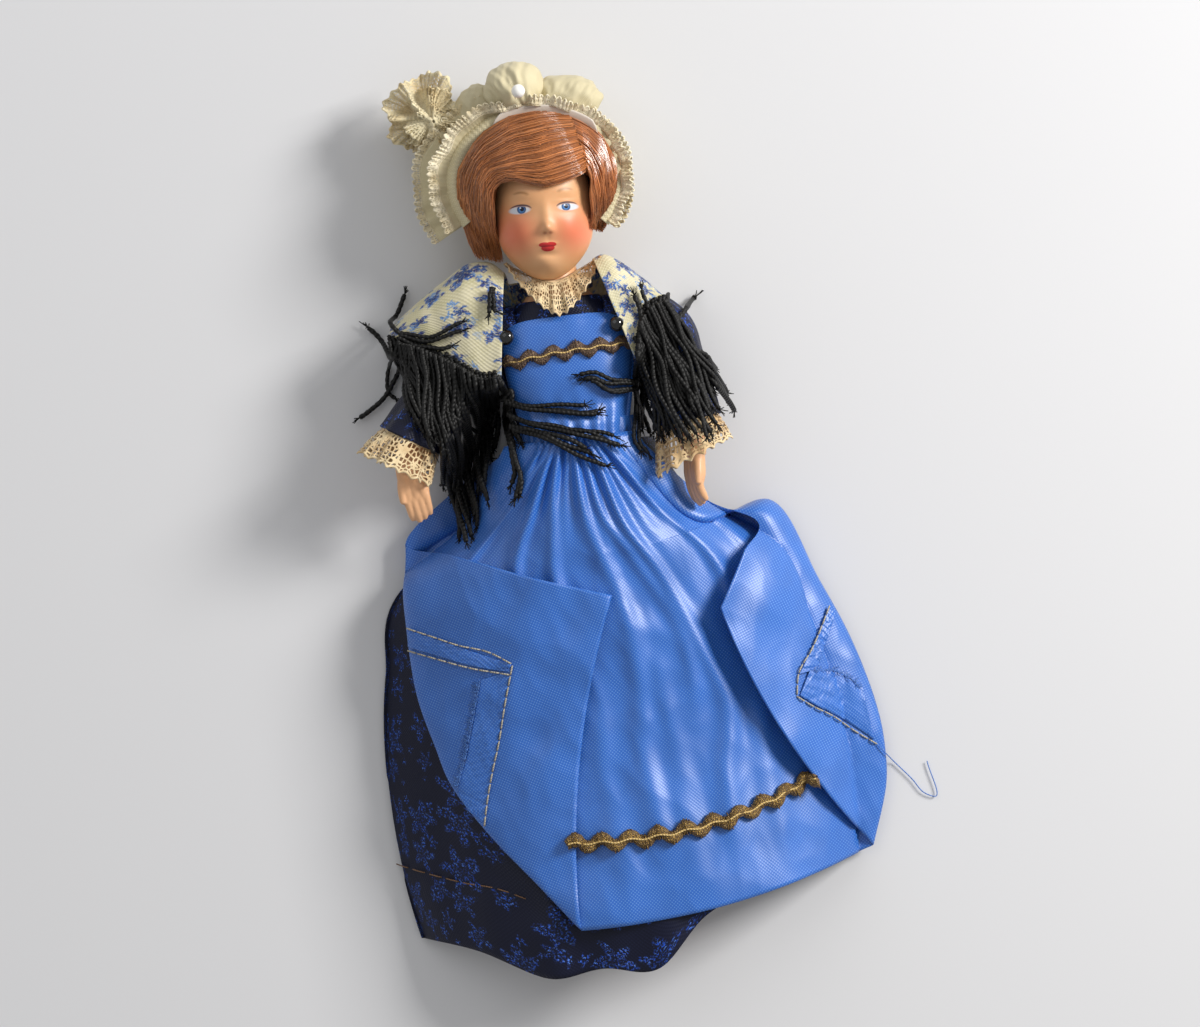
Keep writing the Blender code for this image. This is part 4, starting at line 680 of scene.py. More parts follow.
@dataclass(frozen=True)
class Woven(Finish):
    """Plain woven cloth with threads that show, the raised ones painted lighter as a highlight.

    Attributes:
        pitch: Distance between threads, in millimetres.
        relief: Height of the weave, in millimetres.
        glint: How much lighter the raised threads are painted, as a painted highlight on the weave.
    """

    pitch: float = 0.4
    relief: float = 0.05
    glint: float = 0.3

    def wire(self, w: Wiring, shader: Node) -> None:
        """Paints dots of the second colour over the first on the raised threads as a painted highlight, with
        stains and wrinkles.
        """
        weave = w.group(Patterns.weave(), {"Vector": w.cloth(), "Pitch": self.pitch})
        uneven = self.worn(w)
        # Painted highlight: the raised threads are lightened towards the second colour.
        highlight_share = w.times(weave.outputs["Dots"], self.glint)
        plain = w.mix(highlight_share, self.colour, self.second)
        shadow = w.times(uneven.outputs["Stains"], 0.22)
        darker = tuple(0.55 * part for part in self.colour[:3]) + (1.0,)
        w.feed(shader.inputs["Base Color"], w.mix(shadow, plain, darker))
        wrinkles = w.times(uneven.outputs["Mottle"], 0.5)
        w.bump(shader, w.math("ADD", weave.outputs["Height"], wrinkles), 0.8, self.relief)


@dataclass(frozen=True)
class Brocade(Finish):
    """Near-black satin ground with flowers in bright flecks of floating thread."""

    def wire(self, w: Wiring, shader: Node) -> None:
        """Lights flecks of the second colour inside scattered flowers and sprays, and paints the ground's
        raised threads lighter as a highlight.
        """
        place = w.cloth()
        warped = self.warped(w, place, 0.25, 2.4)
        large = self.scatter(w, warped, 7.4, 0.52, 0.12)
        small = self.scatter(w, w.vector("ADD", warped, (5.3, 2.1, 0.0)), 3.3, 0.38, 0.1)
        chosen = w.band(small.outputs["Kind"], 0.62, 0.66)
        motif = w.math("MAXIMUM", large.outputs["Petals"], w.times(small.outputs["Petals"], chosen))
        ring = w.math("SUBTRACT", motif, w.times(large.outputs["Heart"], 0.7), clamp=True)
        flecks = w.band(w.noise(place, 2.4, 3.0, 0.75), 0.5, 0.6)
        lit = w.times(ring, flecks)
        threads = w.group(Patterns.weave(), {"Vector": place, "Pitch": 0.32})
        # Painted highlight: the weave's raised threads lighten the near-black ground.
        ground = w.mix(w.times(threads.outputs["Dots"], 0.5), self.colour, srgb(20, 26, 52))
        bright = w.mix(w.band(w.noise(place, 2.6, 1.0), 0.5, 0.62), self.second, srgb(92, 140, 232))
        w.feed(shader.inputs["Base Color"], w.mix(lit, ground, bright))
        w.feed(shader.inputs["Roughness"], w.scaled(lit, -0.16, self.roughness))
        height = w.scaled(lit, 1.2, threads.outputs["Height"])
        w.bump(shader, height, 0.7, 0.07)


@dataclass(frozen=True)
class Printed(Finish):
    """Coarse cotton printed with loose flowers and leaves of the second colour."""

    def wire(self, w: Wiring, shader: Node) -> None:
        """Prints two blues over the ground with ragged edges, and weaves the cloth, its raised threads painted
        lighter as a highlight.
        """
        place = w.cloth()
        warped = self.warped(w, place, 0.55, 3.6, 3.0)
        large = self.scatter(w, warped, 7.2, 0.6, 0.12)
        leaves = self.scatter(w, w.vector("ADD", warped, (3.7, 6.2, 0.0)), 4.2, 0.46, 0.1)
        some = w.band(leaves.outputs["Kind"], 0.5, 0.56)
        grain = w.band(w.noise(place, 1.7, 2.0, 0.7), 0.34, 0.5)
        first = w.times(large.outputs["Petals"], grain)
        second = w.times(w.times(leaves.outputs["Petals"], some), grain)
        weave = w.group(Patterns.weave(), {"Vector": place, "Pitch": 0.55})
        uneven = self.worn(w, 6.0)
        ground = w.mix(w.times(uneven.outputs["Stains"], 0.55), self.colour, srgb(178, 172, 122))
        # Painted highlight: the weave's raised threads lighten the stained ground.
        threads = w.mix(w.times(weave.outputs["Dots"], 0.35), ground, srgb(236, 230, 205))
        printed = w.mix(w.times(second, 0.85), threads, srgb(76, 138, 205))
        blue = w.mix(w.band(w.noise(place, 0.9, 2.0), 0.45, 0.6), self.second, srgb(24, 48, 128))
        flowers = w.mix(w.times(first, 0.95), printed, blue)
        hearts = w.times(large.outputs["Heart"], 0.6)
        w.feed(shader.inputs["Base Color"], w.mix(hearts, flowers, srgb(20, 34, 80)))
        w.bump(shader, weave.outputs["Height"], 0.8, 0.09)


@dataclass(frozen=True)
class Lacy(Finish):
    """Cotton lace with open cells between its threads.

    Attributes:
        width: Width of the lace, in millimetres, from its plain edge to its scallops.
        cell: Size of an open cell, in millimetres.
        thread: Half width of a thread, as a share of a cell.
    """

    width: float = 5.0
    cell: float = 0.8
    thread: float = 0.17

    def wire(self, w: Wiring, shader: Node) -> None:
        """Opens the cells, and yellows the threads in places."""
        feeds = {"Vector": w.cloth(), "Cell": self.cell, "Width": self.width, "Thread": self.thread}
        net = w.group(Patterns.net(), feeds)
        uneven = self.worn(w, 5.0)
        stains = w.times(uneven.outputs["Stains"], 0.7)
        w.feed(shader.inputs["Base Color"], w.mix(stains, self.colour, self.second))
        w.feed(shader.inputs["Alpha"], net.outputs["Thread"])
        height = w.scaled(net.outputs["Solid"], 0.5, uneven.outputs["Mottle"])
        w.bump(shader, height, 0.7, 0.15)


@dataclass(frozen=True)
class Twisted(Finish):
    """Twisted cord or thread: slanting plies along the cord, with fibre between them; the plies' tops are
    painted lighter as a highlight.

    Attributes:
        pitch: Length of one slant along the cord, in millimetres.
    """

    pitch: float = 0.9

    def wire(self, w: Wiring, shader: Node) -> None:
        """Slants stripes round the cord: a sine of the way along plus the way round; the raised plies take the
        second colour as a painted highlight.
        """
        x, y, _ = w.split(w.cloth())
        slant = w.scaled(y, TURN / self.pitch, w.times(x, TURN))
        plies = w.scaled(w.math("SINE", slant), 0.5, 0.5)
        fibre = w.noise(w.body(), 5.0, 3.0, 0.7)
        # Painted highlight: the raised plies are lightened towards the second colour where the fibre lets them.
        raised = w.times(plies, w.band(fibre, 0.35, 0.7))
        own = w.mix(w.shade(), self.colour, tuple(0.7 * part for part in self.colour[:3]) + (1.0,))
        w.feed(shader.inputs["Base Color"], w.mix(w.times(raised, 0.75), own, self.second))
        w.bump(shader, w.math("ADD", plies, w.times(fibre, 0.6)), 0.8, 0.12)


@dataclass(frozen=True)
class Hair(Finish):
    """Glossy mohair in strands, each with its own shade between two colours."""

    def wire(self, w: Wiring, shader: Node) -> None:
        """Shades each strand, and streaks it along its length."""
        x, y, _ = w.split(w.cloth())
        stretched = {
            0: w.times(x, 9.0),
            1: w.times(y, 0.25),
            2: w.times(w.shade(), 40.0),
        }
        streak = w.noise(w.node("ShaderNodeCombineXYZ", stretched).outputs[0], 1.0, 2.0)
        share = w.scaled(streak, 0.5, w.times(w.shade(), 0.75), clamp=True)
        w.feed(shader.inputs["Base Color"], w.mix(share, self.colour, self.second))
        w.bump(shader, streak, 0.4, 0.05)


@dataclass(frozen=True)
class Braid(Finish):
    """Tinsel braid: tangled metal thread that glitters between dark gaps."""

    def wire(self, w: Wiring, shader: Node) -> None:
        """Crosses bright loops of thread over a dark ground."""
        place = w.body()
        loops = w.node(
            "ShaderNodeTexVoronoi", {"Vector": place, "Scale": 2.6}, feature="DISTANCE_TO_EDGE"
        ).outputs["Distance"]
        thread = w.band(loops, 0.16, 0.04)
        fibre = w.noise(place, 4.5, 3.0, 0.7)
        lit = w.times(thread, w.band(fibre, 0.36, 0.62))
        w.feed(shader.inputs["Base Color"], w.mix(lit, self.colour, self.second))
        w.feed(shader.inputs["Metallic"], w.times(lit, 0.7))
        w.bump(shader, w.math("ADD", thread, fibre), 0.9, 0.2)


@dataclass(frozen=True)
class Paint:
    """One oval of paint on the face, in millimetres from the middle of the skull.

    Attributes:
        x: Place across the face.
        y: Place up the face.
        half_width: Half its width.
        half_height: Half its height.
        soft: Share of its size over which its rim fades.
    """

    x: float
    y: float
    half_width: float
    half_height: float
    soft: float = 0.12


@dataclass(frozen=True)
class PaintedFace(Finish):
    """Painted celluloid: blushed cheeks, blue eyes under dark lashes, thin brows and small red lips."""

    tilt: float = math.radians(3.0)
    x: float = -0.5
    height: float = 57.5

    def place(self, w: Wiring) -> Socket:
        """The place on the face, in millimetres from the middle of the skull."""
        cos, sin = math.cos(self.tilt), math.sin(self.tilt)
        feeds = {
            "Vector": w.node("ShaderNodeTexCoord").outputs["Object"],
            "Location": (self.height * sin - self.x * cos, -self.height * cos - self.x * sin, 0.0),
            "Rotation": (0.0, 0.0, self.tilt),
            "Scale": (1000.0, 1000.0, 1000.0),
        }
        return w.node("ShaderNodeMapping", feeds).outputs[0]

    def wire(self, w: Wiring, shader: Node) -> None:
        """Lays one coat of paint over the other, each in ovals on the front of the skull."""
        place = self.place(w)
        front = w.band(w.split(place)[2], 15.0, 17.0)

        def spot(paint: Paint) -> Socket:
            """The mask of one oval."""
            values = {"Vector": place, "X": paint.x, "Y": paint.y, "Soft": paint.soft}
            values |= {"Half width": paint.half_width, "Half height": paint.half_height}
            return w.group(Patterns.spot(), values).outputs["Mask"]

        def several(paints: Sequence[Paint]) -> Socket:
            """The mask of some ovals together."""
            mask = spot(paints[0])
            for paint in paints[1:]:
                mask = w.math("MAXIMUM", mask, spot(paint))
            return mask

        def rinds(*pairs: tuple[Paint, Paint]) -> Socket:
            """What the first oval of each pair has over the second: thin crescents."""
            first, second = (w.math("SUBTRACT", spot(a), spot(b), clamp=True) for a, b in pairs)
            return w.math("MAXIMUM", first, second)

        uneven = self.worn(w)
        bare = w.mix(w.times(uneven.outputs["Stains"], 0.4), self.colour, self.second)
        cheeks = several([Paint(-5.9, -6.7, 3.9, 3.7, 0.9), Paint(5.8, -6.8, 3.6, 3.6, 0.9)])
        nostrils = several([Paint(0.05, -6.95, 0.35, 0.24, 0.7), Paint(1.15, -6.95, 0.35, 0.24, 0.7)])
        brows = rinds(
            (Paint(-4.1, 0.5, 1.5, 0.75, 0.3), Paint(-4.5, 0.0, 1.9, 0.8, 0.3)),
            (Paint(4.5, 0.7, 1.5, 0.75, 0.3), Paint(4.9, 0.2, 1.9, 0.8, 0.3)),
        )
        whites = several([Paint(-4.5, -2.28, 2.0, 0.7, 0.2), Paint(4.77, -2.23, 1.9, 0.66, 0.2)])
        irises = several([Paint(-4.1, -2.12, 0.86, 0.86), Paint(4.36, -2.12, 0.84, 0.84)])
        inner = several([Paint(-4.12, -2.2, 0.62, 0.6, 0.3), Paint(4.34, -2.2, 0.6, 0.58, 0.3)])
        pupils = several([Paint(-4.0, -2.1, 0.4, 0.42), Paint(4.4, -2.1, 0.39, 0.41)])
        lashes = rinds(
            (Paint(-4.3, -2.2, 2.15, 1.02, 0.08), Paint(-4.45, -2.62, 2.5, 1.1, 0.08)),
            (Paint(4.6, -2.15, 2.05, 0.98, 0.08), Paint(4.75, -2.55, 2.4, 1.06, 0.08)),
        )
        glints = several([Paint(-4.32, -1.85, 0.16, 0.15, 0.3), Paint(4.12, -1.85, 0.15, 0.14, 0.3)])
        upper = [Paint(-0.28, -9.12, 1.05, 0.46), Paint(1.02, -9.12, 1.05, 0.46)]
        lips = several([*upper, Paint(0.38, -9.72, 1.3, 0.68)])
        line = w.times(spot(Paint(0.38, -9.42, 1.5, 0.09, 0.4)), lips)
        colour = bare
        for mask, weight, paint in (
            (cheeks, 0.72, srgb(224, 100, 72)),
            (nostrils, 0.55, srgb(160, 84, 48)),
            (brows, 0.7, srgb(140, 92, 36)),
            (whites, 1.0, srgb(212, 216, 224)),
            (w.times(irises, whites), 1.0, srgb(30, 56, 104)),
            (w.times(inner, whites), 1.0, srgb(78, 128, 186)),
            (pupils, 1.0, srgb(14, 18, 44)),
            (lashes, 0.9, srgb(52, 44, 66)),
            (glints, 0.9, srgb(240, 244, 250)),
            (lips, 0.96, srgb(188, 22, 34)),
            (line, 0.7, srgb(104, 8, 20)),
        ):
            colour = w.mix(w.times(mask, weight), colour, paint)
        w.feed(shader.inputs["Base Color"], w.mix(front, bare, colour))
        glossy = w.math("MAXIMUM", lips, whites)
        w.feed(shader.inputs["Roughness"], w.scaled(glossy, -0.16, self.roughness))
        shader.inputs["Subsurface Weight"].default_value = 0.08
        shader.inputs["Subsurface Radius"].default_value = (0.0016, 0.0008, 0.0005)
        w.bump(shader, uneven.outputs["Mottle"], 0.12, 0.05)


@dataclass(frozen=True)
class Gloss(Finish):
    """A bead's smooth coat over its own colour.

    Attributes:
        coat: Weight of the clear coat.
    """

    coat: float = 0.6

    def wire(self, w: Wiring, shader: Node) -> None:
        """Clouds the colour softly under a clear coat."""
        clouds = w.band(w.noise(w.body(), 0.9, 2.0), 0.35, 0.65)
        w.feed(shader.inputs["Base Color"], w.mix(clouds, self.colour, self.second))
        shader.inputs["Coat Weight"].default_value = self.coat
        shader.inputs["Coat Roughness"].default_value = 0.08


class Finishes(Enum):
    """The doll's finishes by their use."""

    SKIN = Finish("painted celluloid", srgb(224, 172, 128), srgb(206, 148, 100), 0.42)
    FACE = PaintedFace("painted celluloid face", srgb(226, 172, 124), srgb(216, 154, 102), 0.42)
    HAIR = Hair("auburn mohair", srgb(74, 30, 14), srgb(222, 142, 84), 0.24, specular=0.9)
    ORGANDY = Woven(
        "cream organdy", srgb(208, 196, 158), srgb(236, 228, 202), 0.7, 0.15, pitch=0.3, relief=0.04, glint=0.5
    )
    LACE_TRIM = Lacy(
        "cream lace trim", srgb(240, 230, 202), srgb(214, 194, 146), 0.8, 0.1, width=1.7, cell=0.62, thread=0.3
    )
    LACE_FROTH = Lacy(
        "cream lace froth", srgb(236, 224, 188), srgb(196, 168, 112), 0.8, 0.1, width=9.0, cell=0.8, thread=0.28
    )
    LACE_WORN = Lacy(
        "worn cream lace", srgb(228, 206, 164), srgb(188, 146, 92), 0.8, 0.1, width=6.4, cell=0.95, thread=0.17
    )
    SATIN = Woven(
        "white satin ribbon", srgb(226, 214, 200), srgb(244, 236, 226), 0.22,
        specular=0.9, pitch=0.18, relief=0.02, glint=0.4,
    )
    BROCADE = Brocade("navy brocade", srgb(9, 14, 40), srgb(36, 86, 204), 0.45, specular=0.3)
    COTTON = Printed("flower printed cotton", srgb(216, 208, 176), srgb(46, 98, 170), 0.8, 0.1)
    PLAIN_COTTON = Woven(
        "plain white cotton", srgb(226, 224, 216), srgb(240, 240, 236), 0.85, 0.1, pitch=0.4, relief=0.06
    )
    TAFFETA = Woven(
        "blue taffeta", srgb(34, 98, 190), srgb(128, 178, 236), 0.4, 0.1,
        specular=0.7, pitch=0.34, relief=0.025, glint=0.45,
    )
    CORD = Twisted("black silk cord", srgb(6, 6, 6), srgb(34, 32, 29), 0.5, specular=0.35)
    BRAID = Braid("dull gold tinsel", srgb(84, 58, 24), srgb(218, 178, 98), 0.4, specular=0.6)
    BIB_BRAID = Braid("faded mauve tinsel", srgb(86, 66, 54), srgb(168, 140, 112), 0.45, specular=0.5)
    CORE = Twisted("pale gold thread", srgb(214, 178, 104), srgb(240, 214, 150), 0.4, pitch=0.6, specular=0.6)
    STITCH = Twisted("sewing thread", srgb(176, 168, 146), srgb(214, 208, 190), 0.6, pitch=0.5)
    RUST = Twisted("brown sewing thread", srgb(120, 86, 58), srgb(156, 118, 84), 0.6, pitch=0.5)
    FRAY = Twisted("loose blue thread", srgb(70, 122, 206), srgb(140, 180, 236), 0.5, pitch=0.8)
    GLASS = Gloss("black glass", srgb(8, 8, 9), srgb(14, 14, 16), 0.06)
    PEARL = Gloss("pearl", srgb(238, 232, 232), srgb(222, 212, 216), 0.25)
    CARD = Finish("pressed card", srgb(158, 128, 97), srgb(120, 94, 66), 0.8)
    ELASTIC = Twisted("covered elastic", srgb(194, 188, 178), srgb(222, 218, 208), 0.8, pitch=1.2)
    FLOOR = Plain("pale floor", srgb(221, 221, 223), srgb(217, 217, 219), 0.85, specular=0.2)


def dress(
    obj: Object,
    body: str,
    finish: Finishes,
    replaces: Sequence[str] = (),
) -> Object:
    """Gives a piece its finish and its body, and hides the frame nodes that it stands for.

    Args:
        obj: The piece, in place.
        body: The frame's body that carries it.
        finish: Its finish.
        replaces: The frame nodes that it stands for.

    Returns:
        The piece.
    """
    obj.data.materials.append(finish.value.material())
    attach(obj, body)
    if replaces:
        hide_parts(*replaces)
    LOG.info("%s: %d faces, %s, rides on %s", obj.name, len(obj.data.polygons), finish.value.name, body)
    return obj


@dataclass(frozen=True)
class Trunk:
    """The body under the clothes: at each level a rounded square of a half width and a half depth."""

    shoulder_y: float = 33.0 * MM
    squareness: float = 2.4
    seat_x: float = 13.9 * MM
    seat_radius: float = 4.7 * MM
    shoulder_half_width: float = 12.6 * MM

    def half(self, y: Array, grow: float) -> tuple[Array, Array]:
        """Half width and half depth at the levels y, grown all round: smooth curves through stations."""
        rows = [(-8, 9.335, 5.7), (0, 11.6, 7.2), (12.5, 9.6, 6.2), (25, 12.2, 7.1)]
        rows += [(33, 12.6, 6.0), (39.5, 6.0, 5.2)]
        table = [tuple(MM * value for value in row) for row in rows]
        return through(table, y) + grow, through(table, y, 2) + grow

    def point(self, angle: Array, y: Array, grow: Array | float) -> Array:
        """Points round the body: cosine and sine of the angle raised to two over the squareness."""
        width, depth = self.half(y, 0.0)
        power = 2 / self.squareness
        cos, sin = np.cos(angle), np.sin(angle)
        x = (width + grow) * np.sign(cos) * np.abs(cos) ** power
        z = BODY_Z + (depth + grow) * np.sign(sin) * np.abs(sin) ** power
        return np.stack([x, y, z], axis=-1)

    def front(self, x: Array, y: Array, grow: float) -> Array:
        """Height of the front over (x, y); it runs level past the last of the side."""
        width, depth = self.half(y, grow)
        share = np.clip(np.abs(x) / width, 0, 0.97)
        return BODY_Z + depth * (1 - share**self.squareness) ** (1 / self.squareness)

    def bodice_front(self, x: Array, y: Array) -> Array:
        """Height of the bodice's front, and of the round shoulder seats where they stand through it."""
        seat = np.sqrt(np.clip(self.seat_radius**2 - (y - self.shoulder_y) ** 2, 0, None))
        rise = np.clip((np.abs(x) - 0.6 * self.shoulder_half_width) / (0.2 * self.shoulder_half_width), 0, 1)
        return np.maximum(self.front(x, y, GAP + CLOTH) + 0.1 * MM, BODY_Z + seat * rise)


TRUNK = Trunk()


@dataclass(frozen=True)
class WigForm:
    """The hair's outline: an ellipsoid that the bonnet is fitted round."""

    x: float = -1.2 * MM
    y: float = 61.4 * MM
    z: float = 12.8 * MM
    half_width: float = 15.4 * MM
    half_height: float = 12.7 * MM
    half_depth: float = 12.0 * MM

    def rim(self, angle: Array, outward: Array, z: Array) -> Array:
        """A point outside the hair's outline as seen from above, at a height."""
        x = self.x + (self.half_width + GAP + outward) * np.cos(angle)
        y = self.y + (self.half_height + GAP + outward) * np.sin(angle)
        return np.stack([x, y, z + 0 * x], axis=-1)

    def front(self, x: Array, y: Array, lift: Array | float = 0.0) -> Array:
        """Height of the hair over (x, y): the ellipsoid a little widened, kept clear of the skull."""
        share = ((x - self.x) / (15.9 * MM)) ** 2 + ((y - self.y) / (13.6 * MM)) ** 2
        hair = self.z + (self.half_depth + lift) * np.sqrt(np.clip(1 - share, 0.015, 1))
        inside = 1 - (x / (9.8 * MM)) ** 2 - ((y - 57 * MM) / (15.4 * MM)) ** 2
        skull = np.where(inside > 0, 14.6 * MM + 9.6 * MM * np.sqrt(np.clip(inside, 0, 1)), 0)
        return np.maximum(hair, skull + 0.35 * MM + lift)


WIG = WigForm()


@dataclass
class Head:
    """The hollow celluloid head with its neck, its face in low relief under the paint."""

    x: float = -0.5 * MM
    y: float = 57.0 * MM
    z: float = 14.6 * MM
    half_width: float = 9.5 * MM
    half_height: float = 15.4 * MM
    cheek_fullness: float = 0.08
    feature_rise: float = 0.5 * MM
    jaw_share: float = 0.97
    face_depth: float = 9.6 * MM
    occiput: float = 11.0 * MM
    tilt: float = math.radians(-3.0)
    features: list[tuple[float, ...]] = field(
        default_factory=lambda: [
            # centre x, centre y, half width, half height and height, in millimetres
            (0.6, -6.0, 0.95, 0.95, 1.1),
            (0.6, -5.6, 1.5, 1.6, 0.45),
            (-0.2, -6.55, 0.6, 0.5, 0.35),
            (1.4, -6.55, 0.6, 0.5, 0.35),
            (0.4, -3.4, 0.9, 2.4, 0.32),
            (-4.4, -2.2, 2.4, 1.5, -0.85),
            (4.5, -2.2, 2.4, 1.5, -0.85),
            (-4.3, -2.2, 1.7, 0.95, 0.55),
            (4.5, -2.2, 1.7, 0.95, 0.55),
            (-4.4, -1.05, 1.9, 0.28, 0.16),
            (4.6, -1.05, 1.9, 0.28, 0.16),
            (-4.2, 0.9, 2.4, 0.8, 0.2),
            (4.4, 0.9, 2.4, 0.8, 0.2),
            (-5.2, -7.0, 2.6, 2.8, 0.6),
            (5.2, -7.0, 2.6, 2.8, 0.6),
            (0.36, -9.08, 1.5, 0.45, 0.5),
            (0.36, -9.85, 1.2, 0.5, 0.5),
            (0.36, -9.43, 1.5, 0.14, -0.22),
            (0.5, -7.8, 0.4, 0.7, -0.14),
            (0.3, -11.0, 1.7, 0.6, -0.35),
            (0.1, -13.0, 2.5, 1.8, 1.2),
        ]
    )

    def skull(self, ball: Array) -> Array:
        """The skull over a unit ball.

        The half widths scale the ball, a bell curve widens it at the cheeks, and every feature adds
        its height times exp(-(across)^2 - (up)^2) to the front.

        Args:
            ball: Rows of points on the unit ball.

        Returns:
            Rows of points in metres.
        """
        a, b, c = np.moveaxis(ball, -1, 0)
        y = b * self.half_height * np.where(b < 0, self.jaw_share, 1)
        cheeks = 1 + self.cheek_fullness * np.exp(-(((y + 8.6 * MM) / (4.2 * MM)) ** 2))
        x = a * self.half_width * cheeks
        z = c * np.where(c > 0, self.face_depth, self.occiput)
        front = np.clip(c, 0, 1) ** 0.5
        for centre_x, centre_y, half_x, half_y, height in self.features:
            across = (x - centre_x * MM) / (half_x * MM)
            up = (y - self.feature_rise - centre_y * MM) / (half_y * MM)
            z = z + front * height * MM * np.exp(-(across**2) - up**2)
        cos, sin = math.cos(self.tilt), math.sin(self.tilt)
        return np.stack([self.x + x * cos - y * sin, self.y + x * sin + y * cos, self.z + z], axis=-1)

    def build(self) -> None:
        """Builds the head and the neck as one piece, and finishes what is inside them."""

        def place(u: Array, v: Array) -> Array:
            """Poles up and down the face, columns closer together at the front."""
            around = TURN * u - 0.35 * np.sin(TURN * u) ** 2 * np.sign(np.sin(TURN * u)) * np.cos(TURN * u)
            down = math.pi * v
            ball = [np.sin(down) * np.cos(around), np.cos(down), np.sin(down) * np.sin(around)]
            return self.skull(np.stack(ball, -1))

        def neck(u: Array, v: Array) -> Array:
            """A round neck on a ball: its radius is a smooth curve of the level."""
            y = (53.0 - 16.4 * v) * MM
            rows = [(36.6, 0.05), (37.0, 2.2), (38.4, 3.8), (41, 4.6), (43.4, 4.35), (53, 4.3)]
            radius = through([(a * MM, b * MM) for a, b in rows], y)
            return np.stack([radius * np.cos(TURN * u), y, BODY_Z + radius * np.sin(TURN * u)], axis=-1)

        draft = Draft().sheet(230, 170, place, wrap=True).sheet(48, 24, neck, wrap=True)
        dress(draft.object("painted_head", merge=0.002 * MM), "head", Finishes.FACE, ["head"])
        for node, finish in (("neck_disc", Finishes.CARD), ("head_elastic", Finishes.ELASTIC)):
            refinish(node, finish)


def refinish(node: str, finish: Finishes) -> None:
    """Gives a frame node a finish in place of its plain one."""
    obj = frame["nodes"][node]
    obj.data.materials.clear()
    obj.data.materials.append(finish.value.material())
    LOG.info("%s keeps its solid, in %s", node, finish.value.name)


